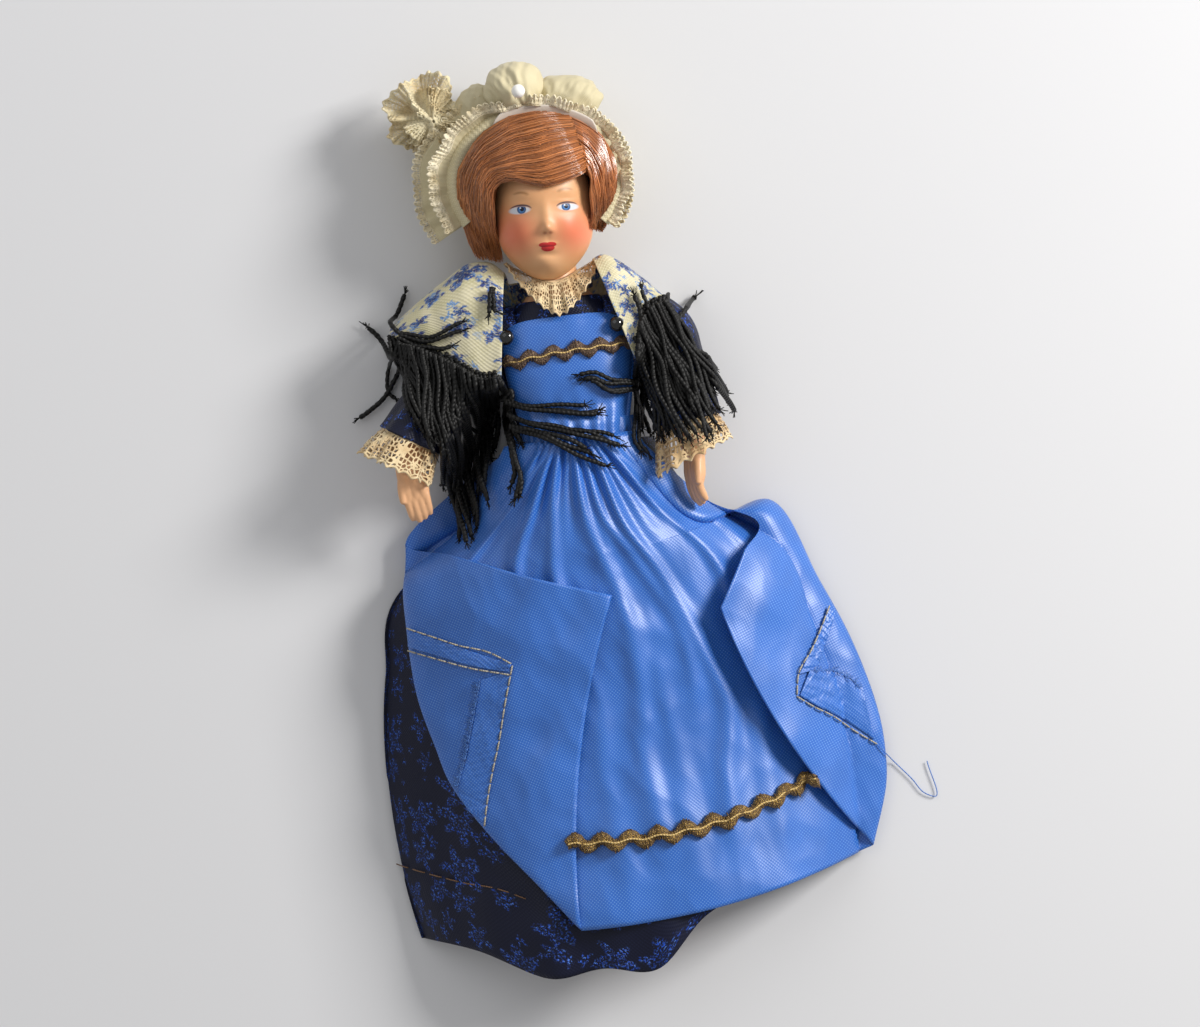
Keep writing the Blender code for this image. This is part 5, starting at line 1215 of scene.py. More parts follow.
@dataclass
class Wig:
    """Waved hair from a parting over the doll's left eye, swept across the forehead to its right."""

    sweep_low: Stations = (
        (9.0, 61.9), (5.7, 60.4), (0.6, 59.6), (-3.2, 60.4), (-7.4, 61.8), (-9.8, 59.8), (-10.5, 55.8),
        (-10.2, 51.5), (-9.7, 46.4),
    )
    sweep_high: Stations = (
        (6.2, 74.0), (2.0, 74.4), (-3.0, 74.0), (-8.4, 72.2), (-12.6, 68.8), (-15.6, 64.4), (-16.5, 59.2),
        (-15.9, 53.4), (-14.2, 47.8),
    )
    fall_low: Stations = ((8.6, 62.2), (9.1, 60.0), (9.0, 57.0), (8.7, 54.0), (8.2, 50.4))
    fall_high: Stations = ((6.6, 74.2), (10.8, 71.8), (13.6, 67.6), (14.4, 62.0), (13.0, 55.0), (9.9, 50.0))
    strand_radius: float = 0.105 * MM
    sweep_count: int = 2350
    side_count: int = 1000
    loose_count: int = 260
    opening: tuple[float, float] = (0.0, 54.0 * MM)
    opening_drop: float = 4.3 * MM
    opening_half_width: float = 9.9 * MM
    opening_half_height: float = 13.4 * MM
    wave_length: float = 7.4 * MM
    locks: int = 34

    def strands(
        self, low: Stations, high: Stations, count: int, seed: int, wave: float
    ) -> tuple[Array, Array, Array]:
        """Lays strands between two outer routes.

        A strand is the mix of the two routes by its own share; towards its tip the share moves to that
        of its lock. Waves are sines of the way along, the same over all the hair.

        Args:
            low: Route at the forehead.
            high: Route at the crown.
            count: How many strands.
            seed: Chooses their jitter.
            wave: Half height of the waves, in metres.

        Returns:
            The paths, their radii and their shades.
        """
        random = np.random.default_rng(seed)
        t = np.linspace(0, 1, 14)
        reach = t * random.uniform(0.84, 1.0, (count, 1))
        first = route(low, reach)
        last = route(high, reach)
        share = np.sort(random.uniform(-0.01, 1.01, count))
        locks = np.round(share * self.locks + random.normal(0, 0.15, count)) / self.locks
        shares = share[:, None] + (locks - share)[:, None] * 0.5 * t**2
        paths = first + (last - first) * shares[:, :, None]
        start = random.uniform(-0.02, 0.05, count)[:, None, None]
        whole = paths[:, :1, :2] - paths[:, -1:, :2]
        paths[:, :, :2] += start * whole * (1 - t)[None, :, None] * 0.3
        heading = unit(np.gradient(paths, axis=1))
        across = np.stack([-heading[..., 1], heading[..., 0]], -1)
        length = np.cumsum(np.linalg.norm(np.diff(paths, axis=1, prepend=paths[:, :1]), axis=-1), axis=1)
        phase = length * TURN / self.wave_length + 2.0 * shares
        bend = wave * np.sin(phase) * ease(0, 0.25, t)
        stray = random.normal(0, 0.16 * MM, (count, 1)) * (0.4 + t)
        paths[:, :, :2] += (bend + stray)[:, :, None] * across
        rise = random.gamma(1.6, 0.13, count)[:, None] * MM + 0.1 * MM
        apart = (share - locks)[:, None] * self.locks * math.pi
        groove = 0.05 * MM * np.cos(apart) * ease(0, 0.3, t)
        swell = 0.22 * MM * np.sin(phase + 1.2) * ease(0, 0.2, t)
        tip = 1.2 * MM * ease(0.75, 1.0, t)
        paths[:, :, 2] = WIG.front(paths[:, :, 0], paths[:, :, 1]) + rise + groove + swell - tip
        radius = self.strand_radius * random.uniform(0.75, 1.35, count)[:, None] * (1 - 0.7 * t**4)
        return paths, radius, np.clip(random.normal(0.42, 0.3, count), 0, 1)

    def cap(self) -> Array:
        """The hair under the strands: rings from the face's opening out to the outline and round the back.

        On each ray from the middle of the face the way goes from the opening, a squared oval found by
        halving, to the outline at half way, and back to the middle behind; its height is the ellipsoid's.
        """
        columns, rows = 110, 64
        angle, way = np.meshgrid(TURN * np.arange(columns) / columns, np.linspace(0, 1, rows))
        cos, sin = np.cos(angle), np.sin(angle)
        centre_x, centre_y = self.opening
        wide, tall = 0.985 * WIG.half_width, 0.985 * WIG.half_height
        a = (cos / wide) ** 2 + (sin / tall) ** 2
        b = 2 * (cos * (centre_x - WIG.x) / wide**2 + sin * (centre_y - WIG.y) / tall**2)
        c = ((centre_x - WIG.x) / wide) ** 2 + ((centre_y - WIG.y) / tall) ** 2 - 1
        outline = (-b + np.sqrt(b * b - 4 * a * c)) / (2 * a)
        low, high = 0 * cos, 0 * cos + 20 * MM
        for _ in range(30):
            middle = (low + high) / 2
            across = np.abs(middle * cos) / self.opening_half_width
            up = np.abs(middle * sin + self.opening_drop) / self.opening_half_height


            inside = across**4 + up**4 < 1
            low, high = np.where(inside, middle, low), np.where(inside, high, middle)
        opening = np.minimum(low, 0.97 * outline)
        front = way <= 0.5
        reach = np.where(
            front,
            opening + (outline - opening) * np.sin(math.pi * way),
            outline * np.clip(np.sin(math.pi * way), 0.02, 1),
        )
        x, y = centre_x + reach * cos, centre_y + reach * sin
        share = np.clip(1 - ((x - WIG.x) / wide) ** 2 - ((y - WIG.y) / tall) ** 2, 0, 1)
        height = 0.97 * WIG.half_depth * np.sqrt(share)
        lip = 1.3 * MM * (1 - ease(0, 0.12, way)) * front
        z = WIG.z + np.where(front, height - lip, -height)
        return np.stack([x, y, np.maximum(z, 0.9 * MM)], axis=-1)

    def build(self) -> None:
        """Builds the hair's body, the sweep, the side fall and a few loose hairs."""
        # The hair's body takes a low shade, darker than the strands over it: painted shade deep in the hair.
        cap = Draft().grid(self.cap(), (0.09, 0.05), wrap=True, shade=0.1).object("wig_cap")
        dress(cap, "head", Finishes.HAIR, ["wig"])
        sweep, fall = (self.sweep_low, self.sweep_high), (self.fall_low, self.fall_high)
        self.piece("wig_sweep", *self.strands(*sweep, self.sweep_count, 3, 0.16 * MM))
        self.piece("wig_side", *self.strands(*fall, self.side_count, 5, 0.16 * MM))
        paths, radius, shades = self.strands(*sweep, self.loose_count, 9, 0.45 * MM)
        paths[:, :, 2] += 0.5 * MM * np.linspace(0, 1, paths.shape[1]) ** 2
        self.piece("wig_loose_hairs", paths, 0.45 * radius, np.clip(shades + 0.3, 0, 1))

    def piece(self, name: str, paths: Array, radius: Array, shades: Array) -> None:
        """Makes one piece of three-sided strands."""
        made = Draft().tubes(paths, radius, 3, shades=shades).object(name)
        dress(made, "head", Finishes.HAIR)


@dataclass
class Bonnet:
    """Organdy cap with a gathered crown, two frills with lace edgings, a satin band and a rosette."""

    nape_y: float = 51.0 * MM
    start_deg: float = -42.0
    end_deg: float = 208.0
    low_z: float = 12.0 * MM
    high_z: float = 16.2 * MM
    inner_width: float = 3.0 * MM
    outer_width: float = 6.3 * MM
    lace_width: float = 1.7 * MM
    scallops: int = 34
    flutes: int = 13
    gathers: int = 84
    rosette_centre: tuple[float, float, float] = (-21.0 * MM, 76.5 * MM, 9.1 * MM)
    rosette_radius: float = 8.2 * MM
    pearl_radius: float = 1.3 * MM

    def cap(self) -> Array:
        """The cap behind the hair: an ellipsoid from its back up to the frills, or to the nape.

        Along each ray the polar angle goes from the back to the lesser of the rim's and the nape's;
        the back is pressed flat on the floor, and gathers deepen towards the rim.
        """
        columns, rows = 240, 40
        around, way = np.meshgrid(TURN * np.arange(columns) / columns, np.linspace(0.02, 1, rows))
        wide, tall, deep = 17.1 * MM, 14.4 * MM, 13.7 * MM
        rim = math.acos((WIG.z - self.low_z + 0.6 * MM) / deep)
        down = np.maximum(-np.sin(around), 1e-3)
        nape = np.arcsin(np.clip((WIG.y - self.nape_y) / (tall * down), -1, 1))
        polar = way * np.minimum(rim, np.where(np.sin(around) < 0, nape, rim))
        gathers = 1 + 0.016 * np.cos(44 * around + 2 * np.sin(3 * around)) * way**3
        x = WIG.x + wide * gathers * np.sin(polar) * np.cos(around)
        y = WIG.y + tall * gathers * np.sin(polar) * np.sin(around)
        z = np.maximum(WIG.z - deep * np.cos(polar), 0.3 * MM)
        return np.stack([x, y, z], axis=-1)

    def lobe(self, centre: Stations, radii: Sequence[float], lean: float, seed: int) -> Array:
        """One puff of the crown: an ellipsoid whose pleats rise from the band.

        Each point moves outwards by a sum of ripples that are short across the pleats and long along
        them, and by a wrinkle that fades towards the puff's top.
        """
        ball = ellipsoid((0, 0, 0), (1, 1, 1), 120, 70)
        across = ball[..., 0] * (2.4 - 0.9 * ball[..., 1]) + lean * ball[..., 1]
        fanned = np.stack([across, 0.3 * ball[..., 1], 0.8 * ball[..., 2]], -1)
        pleat = ripples(fanned, 1.0, seed) + 0.45 * ripples(2.2 * fanned, 0.8, seed + 5)
        wrinkle = ripples(ball * np.array([2.4, 1.4, 1.4]), 0.7, seed + 1)
        fade = 0.3 + 0.7 * (1 - ball[..., 1]) / 2
        grown = 1 + 0.085 * pleat * fade + 0.025 * wrinkle
        points = np.array(centre) * MM + ball * grown[..., None] * np.array(radii) * MM
        points[..., 2] = np.maximum(points[..., 2], 0.4 * MM)
        return points

    def reach(self, angle: Array, width: float) -> Array:
        """Width of a frill round the face: full on the doll's right, narrow on its left and at the top."""
        return width * (0.58 - 0.42 * np.cos(angle) - 0.3 * np.clip(np.sin(angle), 0, 1) ** 6)

    def frill(self, width: float, heights: tuple[float, float], seed: int, beyond: float = 0.0) -> Place:
        """The surface of a frill, or of the lace on its edge where beyond is the lace's width.

        The angle runs round the hair, the way goes out, and the height is a straight rise plus
        flutes: sines of the angle whose depth grows outwards and changes along the frill.
        """

        def place(u: Array, v: Array) -> Array:
            """A point of the strip at a share of its length and of its width."""
            angle = np.radians(self.start_deg + (self.end_deg - self.start_deg) * u)
            out = (1.0 if beyond else v) + 0 * v
            scallop = 0.72 + 0.28 * np.abs(np.sin(TURN * self.scallops * u))
            edge = beyond * (v * np.where(v > 0.5, scallop, 1) - 0.25) if beyond else 0 * v
            uneven = 0.7 + 0.5 * ripples(u[:, None] * 40, 9.0, seed)
            bend = np.sin(TURN * self.flutes * u + 3.5 * np.sin(TURN * 3 * u + seed))
            flute = 0.55 * MM * uneven * bend * out
            tucks = np.sin(TURN * self.gathers * u + 4 * np.sin(TURN * 9 * u))
            gather = 0.07 * MM * tucks * (1 - 0.85 * out)
            tight = np.sin(TURN * 74 * u + 3 * np.sin(TURN * 11 * u + seed))
            frizz = 0.26 * MM * tight * v * (1 if beyond else 0)
            sway = 0.5 * MM * ripples(u[:, None] * 40, 5.0, seed + 4) * out
            lower = 1.0 if heights[1] > heights[0] else 0.9
            crest = 2.1 * MM * np.clip(np.sin(angle), 0, 1) ** 4 * out * lower
            z = heights[0] + (heights[1] - heights[0]) * out + flute + gather + frizz + 0.5 * edge + crest
            return WIG.rim(angle, 0.5 * MM + self.reach(angle, width) * out + edge + sway, z)

        return place

    def rosette(self) -> Draft:
        """Gathered lace in a rose: rings of ruffle, each wider and flatter than the one above it.

        A ring's radius goes from its root outwards with the way, its height is a sine of the angle
        whose depth grows with the way, and a slower sine makes the outline uneven.
        """
        draft = Draft()
        x0, y0, z0 = self.rosette_centre
        rings = [(0.12, 1.0, 0.0, 7, 2.0), (0.10, 0.8, 1.5, 6, 2.2)]
        rings += [(0.08, 0.6, 2.9, 5, 2.0), (0.04, 0.36, 4.0, 4, 1.4)]
        for number, (root, edge, lift, flutes, depth) in enumerate(rings):

            def place(u: Array, v: Array) -> Array:
                """A point of this ring."""
                angle = TURN * u
                circle = np.stack([np.cos(angle), np.sin(angle)], -1)
                outline = 1 + 0.16 * ripples(circle, 1.3, 50 + number) + 0.04 * np.sin(29 * angle)
                radius = self.rosette_radius * (root + (edge - root) * v * outline)
                wave = depth * MM * v * np.sin(flutes * angle + 1.3 * np.sin(2 * angle + number) + number)
                small = 0.45 * MM * v**2 * np.sin(37 * angle + 3 * np.sin(5 * angle))
                z = z0 + lift * MM * (1 - 0.35 * v) + wave + small + 0.6 * MM * (1 - v)
                shift = 1.0 * MM * v * np.cos(flutes * angle + number)
                lean = 0.5 * MM * number
                x = x0 + lean + (radius + shift) * np.cos(angle) * 0.92
                return np.stack([x, y0 - lean + radius * np.sin(angle), z], -1)

            draft.sheet(300, 14, place, (0.05 * edge * 3, 9.0 * MM * edge), wrap=True)
        return draft

    def build(self) -> None:
        """Builds the cap and its puffs, the frills, their lace, the band, the rosette and the pearl."""
        crown = Draft().grid(self.cap(), (0.10, 0.03), wrap=True, flip=True)
        for centre, radii, lean, seed in (
            ((-3.3, 79.4, 12.6), (6.0, 5.2, 7.8), 0.5, 11),
            ((5.6, 76.6, 10.6), (7.4, 4.6, 6.2), -0.6, 21),
            ((-10.4, 75.6, 9.6), (5.2, 5.8, 5.6), 1.2, 31),
        ):
            crown.grid(self.lobe(centre, radii, lean, seed), (0.04, 0.03), wrap=True)
        cap = dress(crown.object("bonnet_cap"), "head", Finishes.ORGANDY, ["bonnet_crown"])
        inner, outer = (self.high_z - 2.2 * MM, self.high_z), (self.low_z + 0.4 * MM, self.low_z)
        pieces = {}
        for word, width, heights, seed, flat in (
            ("inner", self.inner_width, inner, 2, (0.150, 0.0055)),
            ("outer", self.outer_width, outer, 7, (0.160, 0.0075)),
        ):
            frill = Draft().sheet(720, 12, self.frill(width, heights, seed), flat)
            pieces[word] = thicken(frill.object(f"bonnet_{word}_ruffle"), 0.25 * MM)
            dress(pieces[word], "head", Finishes.ORGANDY, [f"bonnet_{word}_frill"])
            place = self.frill(width, heights, seed, self.lace_width * 1.3)
            lace = Draft().sheet(960, 8, place, (0.170, 1.7 * MM))
            pieces[f"{word} lace"] = thicken(lace.object(f"bonnet_{word}_edging"), 0.22 * MM)
            dress(pieces[f"{word} lace"], "head", Finishes.LACE_TRIM, [f"bonnet_{word}_lace"])

        def satin(u: Array, v: Array) -> Array:
            """The ribbon: it leans outwards from the hair to the frill, slightly domed."""
            angle = np.radians(32 + 88 * u)
            v = v * np.minimum(1, 7 * np.minimum(u, 1 - u)) ** 0.5
            dome = 0.35 * MM * np.sin(math.pi * v)
            return WIG.rim(angle, (-1.7 + 2.8 * v) * MM, 15.6 * MM + 2.1 * MM * v + dome)

        ribbon = Draft().sheet(160, 8, satin, (0.036, 0.0028), flip=True)
        band = thicken(ribbon.object("bonnet_ribbon"), 0.15 * MM)
        dress(band, "head", Finishes.SATIN, ["bonnet_band"])

        def lining(u: Array, v: Array) -> Array:
            """The casing that holds the hair's edge, from under the hair to the frills."""
            angle = np.radians(self.start_deg - 2 + (self.end_deg - self.start_deg + 4) * u)
            dome = 0.8 * MM * np.sin(math.pi * v) + 0.05 * MM * np.sin(TURN * 70 * u)
            height = (15.3 - 0.7 * v) * MM + dome + 1.0 * MM * np.sin(angle) ** 2
            return WIG.rim(angle, (-1.3 + 3.0 * v) * MM, height)

        strip = Draft().sheet(320, 10, lining, (0.075, 0.003), flip=True)
        casing = thicken(strip.object("bonnet_casing"), 0.2 * MM)
        dress(casing, "head", Finishes.ORGANDY)
        rosette = thicken(self.rosette().object("bonnet_lace_rosette"), 0.2 * MM)
        dress(rosette, "head", Finishes.LACE_FROTH, ["bonnet_rosette"])
        low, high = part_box("bonnet_pearl")
        middle = [(low[axis] + high[axis]) / 2 for axis in range(3)]
        bead = Draft().grid(ellipsoid(middle, [self.pearl_radius] * 3, 40, 24), wrap=True)
        dress(bead.object("bonnet_bead", merge=0.002 * MM), "head", Finishes.PEARL, ["bonnet_pearl"])


@dataclass(frozen=True)
class ArmLine:
    """An arm's middle line and the pieces round it.

    Attributes:
        word: Which arm, as the doll has it.
        side: -1 for the doll's right and 1 for its left.
        splay: Angle by which the straight part leans outwards.
        hand_turn: Angle by which the hand turns from the forearm.
        hand_roll: Angle by which the hand rolls about its own length.
    """

    word: str
    side: int
    splay: float
    hand_turn: float
    hand_roll: float = 0.0
    length: float = 31.5 * MM
    bend_radius: float = 6.4 * MM
    lift: float = 5.4 * MM
    sleeve_length: float = 24.5 * MM
    sleeve_radius: float = 5.35 * MM
    cuff_length: float = 7.0 * MM
    cuff_drape: float = 0.0
    drift: float = 0.0

    def frame(self, distance: Array) -> tuple[Array, Array]:
        """Points on the middle line and the unit vectors sideways from it.

        The line leaves the seat along X, bends down by a quarter turn less the splay, runs straight,
        and rises with the square of the way.
        """
        turn = math.pi / 2 - self.splay
        bend = np.clip(distance / self.bend_radius, 0, turn)
        rest = np.maximum(distance - self.bend_radius * turn, 0)
        x = TRUNK.seat_x + GAP + self.bend_radius * np.sin(bend) + rest * math.cos(turn)
        y = TRUNK.shoulder_y - self.bend_radius * (1 - np.cos(bend)) - rest * math.sin(turn)
        z = BODY_Z + self.lift * np.clip(distance / self.length, 0, None) ** 2
        middle = np.stack([self.side * x, y, z], axis=-1)
        return middle, np.stack([self.side * np.sin(bend), np.cos(bend), 0 * bend], axis=-1)

    def tube(self, start: float, end: float, radius_at: Callable[[Array, Array], Array]) -> Place:
        """The surface round the middle line at a radius given by the distance and the angle."""

        def place(u: Array, v: Array) -> Array:
            """A point at a share of the turn and of the way."""
            distance = start + (end - start) * v
            angle = -self.side * TURN * u
            middle, across = self.frame(distance)
            middle[..., 0] += self.side * self.drift * np.clip(distance / self.sleeve_length, 0, 1.1) ** 2
            radius = radius_at(distance, angle)[..., None]
            up = np.array([0.0, 0.0, 1.0])
            return middle + radius * (np.cos(angle)[..., None] * across + np.sin(angle)[..., None] * up)

        return place


@dataclass
class Arm:
    """One arm: moulded celluloid with a small hand, in a brocade sleeve with a lace cuff.

    Attributes:
        line: The arm's middle line.
        arm_radii: Radii of the arm by the distance from the seat, in millimetres.
        palm_radii: Radii of the palm's three ridges by the share of their length.
        finger_radii: The same of a finger.
        thumb_radii: The same of the thumb.
    """

    line: ArmLine
    arm_radii: Stations = ((0, 4.6), (6.3, 4.3), (17.3, 3.2), (25.2, 2.8), (31.5, 2.2))
    palm_radii: Stations = ((0, 1.5), (0.4, 1.5), (0.8, 1.35), (1, 0.95))
    finger_radii: Stations = ((0, 0.84), (0.5, 0.8), (0.85, 0.7), (1, 0.5))
    thumb_radii: Stations = ((0, 1.0), (0.6, 0.9), (1, 0.6))

    def hand(self, draft: Draft) -> None:
        """Adds the palm, the fingers and the thumb as tapered tubes that fan out a little and curl down.

        Args:
            draft: Takes the tubes.
        """
        line = self.line
        wrist = line.frame(np.array([line.length - 1.2 * MM]))[0][0]
        heading = -math.pi / 2 + line.side * line.splay + line.hand_turn
        along = unit(np.array([math.cos(heading), math.sin(heading), 0.02]))
        wide = unit(np.cross(along, [0, 0, 1.0]))
        thick = np.cross(wide, along)
        cos, sin = math.cos(line.hand_roll), math.sin(line.hand_roll)
        wide, thick = wide * cos + thick * sin, thick * cos - wide * sin
        way = np.linspace(0, 1, 16)[:, None]

        def limb(path: Array, radii: Stations, sides: int = 12) -> None:
            """Adds one tapered tube."""
            draft.tubes(path[None], through(radii, way[:, 0])[None] * MM, sides)

        for share in (-0.42, 0.0, 0.42):
            ridge = wrist + along * way * 6.6 * MM + wide * share * 3.6 * MM * (0.75 + 0.25 * way)
            limb(ridge, self.palm_radii, 14)
        for share in (-1.0, -0.5 / 1.5, 0.5 / 1.5, 1.0):
            root = wrist + along * 5.4 * MM + wide * share * 1.85 * MM
            reach = 5.4 * MM * (1 - 0.16 * abs(share - 0.2))
            curl = thick * (-1.7 * MM) * way**2
            fan = wide * share * 0.15 * MM * way
            limb(root + along * reach * way - fan + curl + thick * 0.25 * MM, self.finger_radii)
        root = wrist + along * 2.4 * MM - line.side * wide * 1.8 * MM + thick * 0.3 * MM
        fan = line.side * wide * 0.9 * MM * way**0.7
        limb(root + along * 4.2 * MM * way - fan + thick * 0.5 * MM * way, self.thumb_radii)

    def flesh(self) -> Object:
        """The arm and the hand, as round forms melted into one skin.

        The arm's radius is a smooth curve of the distance; a voxel remesh joins it to the hand's tubes
        before they are smoothed.
        """
        line = self.line
        table = [(a * MM, b * MM) for a, b in self.arm_radii]
        draft = Draft()
        t = np.linspace(0, 1, 40)
        middle, _ = line.frame(line.length * t)
        draft.tubes(middle[None], through(table, line.length * t)[None], 24)
        self.hand(draft)
        arm = draft.object(f"{line.word}_moulded_arm")
        melt = arm.modifiers.new("Melt", "REMESH")
        melt.mode = "VOXEL"
        melt.voxel_size = 0.2 * MM
        melt.use_smooth_shade = True
        smooth = arm.modifiers.new("Smooth", "SMOOTH")
        smooth.factor, smooth.iterations = 0.5, 4
        return arm

    def sleeve(self) -> Object:
        """The sleeve: its radius grows to the hem, with long folds and wrinkles at the bend."""
        line = self.line

        def radius_at(distance: Array, angle: Array) -> Array:
            """Radius over the arm: fullness plus cosines of the angle plus uneven ripples."""
            share = np.clip(distance / line.sleeve_length, 0, 1)
            folds = 0.24 * MM * share * np.cos(5 * angle + 1.0) + 0.14 * MM * np.cos(9 * angle + 6 * share)
            field_points = np.stack([np.cos(angle) * 4, np.sin(angle) * 4, distance / MM * 0.9], -1)
            return line.sleeve_radius + 1.2 * MM * share**2 + folds + 0.2 * MM * ripples(field_points, 5.0, 17)

        around = line.tube(-1.0 * MM, line.sleeve_length, radius_at)
        draft = Draft().sheet(110, 90, around, (0.036, 0.0245), wrap=True)
        return thicken(draft.object(f"{line.word}_brocade_sleeve"), CLOTH, 1.0)

    def cuff(self) -> Object:
        """The cuff: lace that flares over the hand in flutes, with scallops at its edge."""
        line = self.line
        start = line.sleeve_length - 0.6 * MM

        def radius_at(distance: Array, angle: Array) -> Array:
            """Radius by the root of the way, plus flutes that deepen outwards."""
            share = (distance - start) / line.cuff_length
            flute = 0.62 * MM * np.cos(9 * angle + 1.4 * np.sin(2 * angle)) + 0.22 * MM * np.cos(23 * angle)
            return (5.6 + 0.24 * line.cuff_length / MM * share**0.6) * MM + flute * share

        def place(u: Array, v: Array) -> Array:
            """The cuff's surface, its way shortened between the scallops."""
            scallop = 1 - 0.1 * np.abs(np.sin(TURN * 9 * u)) * ease(0.6, 1, v)
            lopsided = 1 - 0.22 * (1 + np.cos(TURN * u)) * line.cuff_drape
            return line.tube(start, start + line.cuff_length, radius_at)(u, v * scallop * lopsided)

        draft = Draft().sheet(240, 20, place, (0.048, 0.0064), wrap=True)
        return thicken(draft.object(f"{line.word}_lace_cuff"), 0.25 * MM, 1.0)

    def build(self) -> None:
        """Builds the arm, its sleeve and its cuff on the arm's body."""
        word = self.line.word
        body = f"{word}_arm"
        dress(self.flesh(), body, Finishes.SKIN, [f"{word}_arm"])
        sleeve = dress(self.sleeve(), body, Finishes.BROCADE, [f"{word}_sleeve"])
        cuff = dress(self.cuff(), body, Finishes.LACE_WORN, [f"{word}_cuff"])


class Relief:
    """The height of whatever lies on the table so far, in square cells seen from above."""

    def __init__(self, cell: float = 0.4 * MM) -> None:
        """Starts with a bare table of the doll's size."""
        self.cell = cell
        self.corner = np.array([-75.0, -105.0]) * MM
        self.shape = (520, 380)
        self.cells = np.full(self.shape, 0.15 * MM)

    def add(self, *objects: Object) -> None:
        """Takes the highest vertex of each cell from the objects as they are shown."""
        shown = bpy.context.evaluated_depsgraph_get()
        for obj in objects:
            mesh = obj.evaluated_get(shown).to_mesh()
            points = np.empty(len(mesh.vertices) * 3)
            mesh.vertices.foreach_get("co", points)
            points = points.reshape(-1, 3)
            column, row = np.floor((points[:, :2] - self.corner) / self.cell).astype(int).T
            inside = (row > 0) & (row < self.shape[0] - 1) & (column > 0) & (column < self.shape[1] - 1)
            fresh = np.zeros(self.shape)
            np.maximum.at(fresh, (row[inside], column[inside]), points[inside, 2])
            spread = fresh
            for shift in (-1, 1):
                spread = np.maximum(spread, np.maximum(np.roll(fresh, shift, 0), np.roll(fresh, shift, 1)))
            self.cells = np.maximum(self.cells, spread)

    def at(self, x: Array, y: Array) -> Array:
        """The height over (x, y), mixed between the four nearest cells."""
        column = (x - self.corner[0]) / self.cell - 0.5
        row = (y - self.corner[1]) / self.cell - 0.5
        left, low = np.floor(column).astype(int), np.floor(row).astype(int)
        left, low = np.clip(left, 0, self.shape[1] - 2), np.clip(low, 0, self.shape[0] - 2)
        a, b = column - left, row - low
        bottom = self.cells[low, left] * (1 - a) + self.cells[low, left + 1] * a
        top = self.cells[low + 1, left] * (1 - a) + self.cells[low + 1, left + 1] * a
        return bottom * (1 - b) + top * b

    def lay(self, paths: Array, lift: Array | float, slack: int = 5) -> Array:
        """Lays paths over what is there: each rides over the highest places near it, drawn smooth.

        Args:
            paths: Tubes by points by three; their heights are replaced.
            lift: Height of the middle line over the relief.
            slack: How many points on each side a taut path spans.

        Returns:
            The paths in place.
        """
        height = self.at(paths[..., 0], paths[..., 1])
        edge = np.pad(height, ((0, 0), (slack, slack)), mode="edge")
        steps = height.shape[1]
        high = np.max([edge[:, k : k + steps] for k in range(2 * slack + 1)], axis=0)
        wide = np.pad(high, ((0, 0), (slack, slack)), mode="edge")
        smooth = np.mean([wide[:, k : k + steps] for k in range(2 * slack + 1)], axis=0)
        laid = paths.copy()
        laid[..., 2] = np.maximum(smooth, height) + lift
        return laid


RELIEF = Relief()


@dataclass
class Stitching:
    """A row of machine stitches: short threads that dip into the cloth at their ends."""

    length: float = 1.9 * MM
    space: float = 0.5 * MM
    radius: float = 0.17 * MM

    def add(self, draft: Draft, points: Stations, lift: float = 0.12 * MM, steps: int = 7) -> None:
        """Adds the stitches along a route given in millimetres, on top of what lies there."""
        total = float(np.linalg.norm(np.diff(np.array(points) * MM, axis=0), axis=1).sum())
        count = max(int(total / (self.length + self.space)), 1)
        starts = np.arange(count)[:, None] / count
        way = starts + np.linspace(0, self.length / (self.length + self.space), steps)[None] / count
        paths = RELIEF.lay(route(points, way), lift, 1)
        paths[..., 2] -= 0.3 * MM * np.abs(np.linspace(-1, 1, steps)) ** 4
        draft.tubes(paths, self.radius, 5)


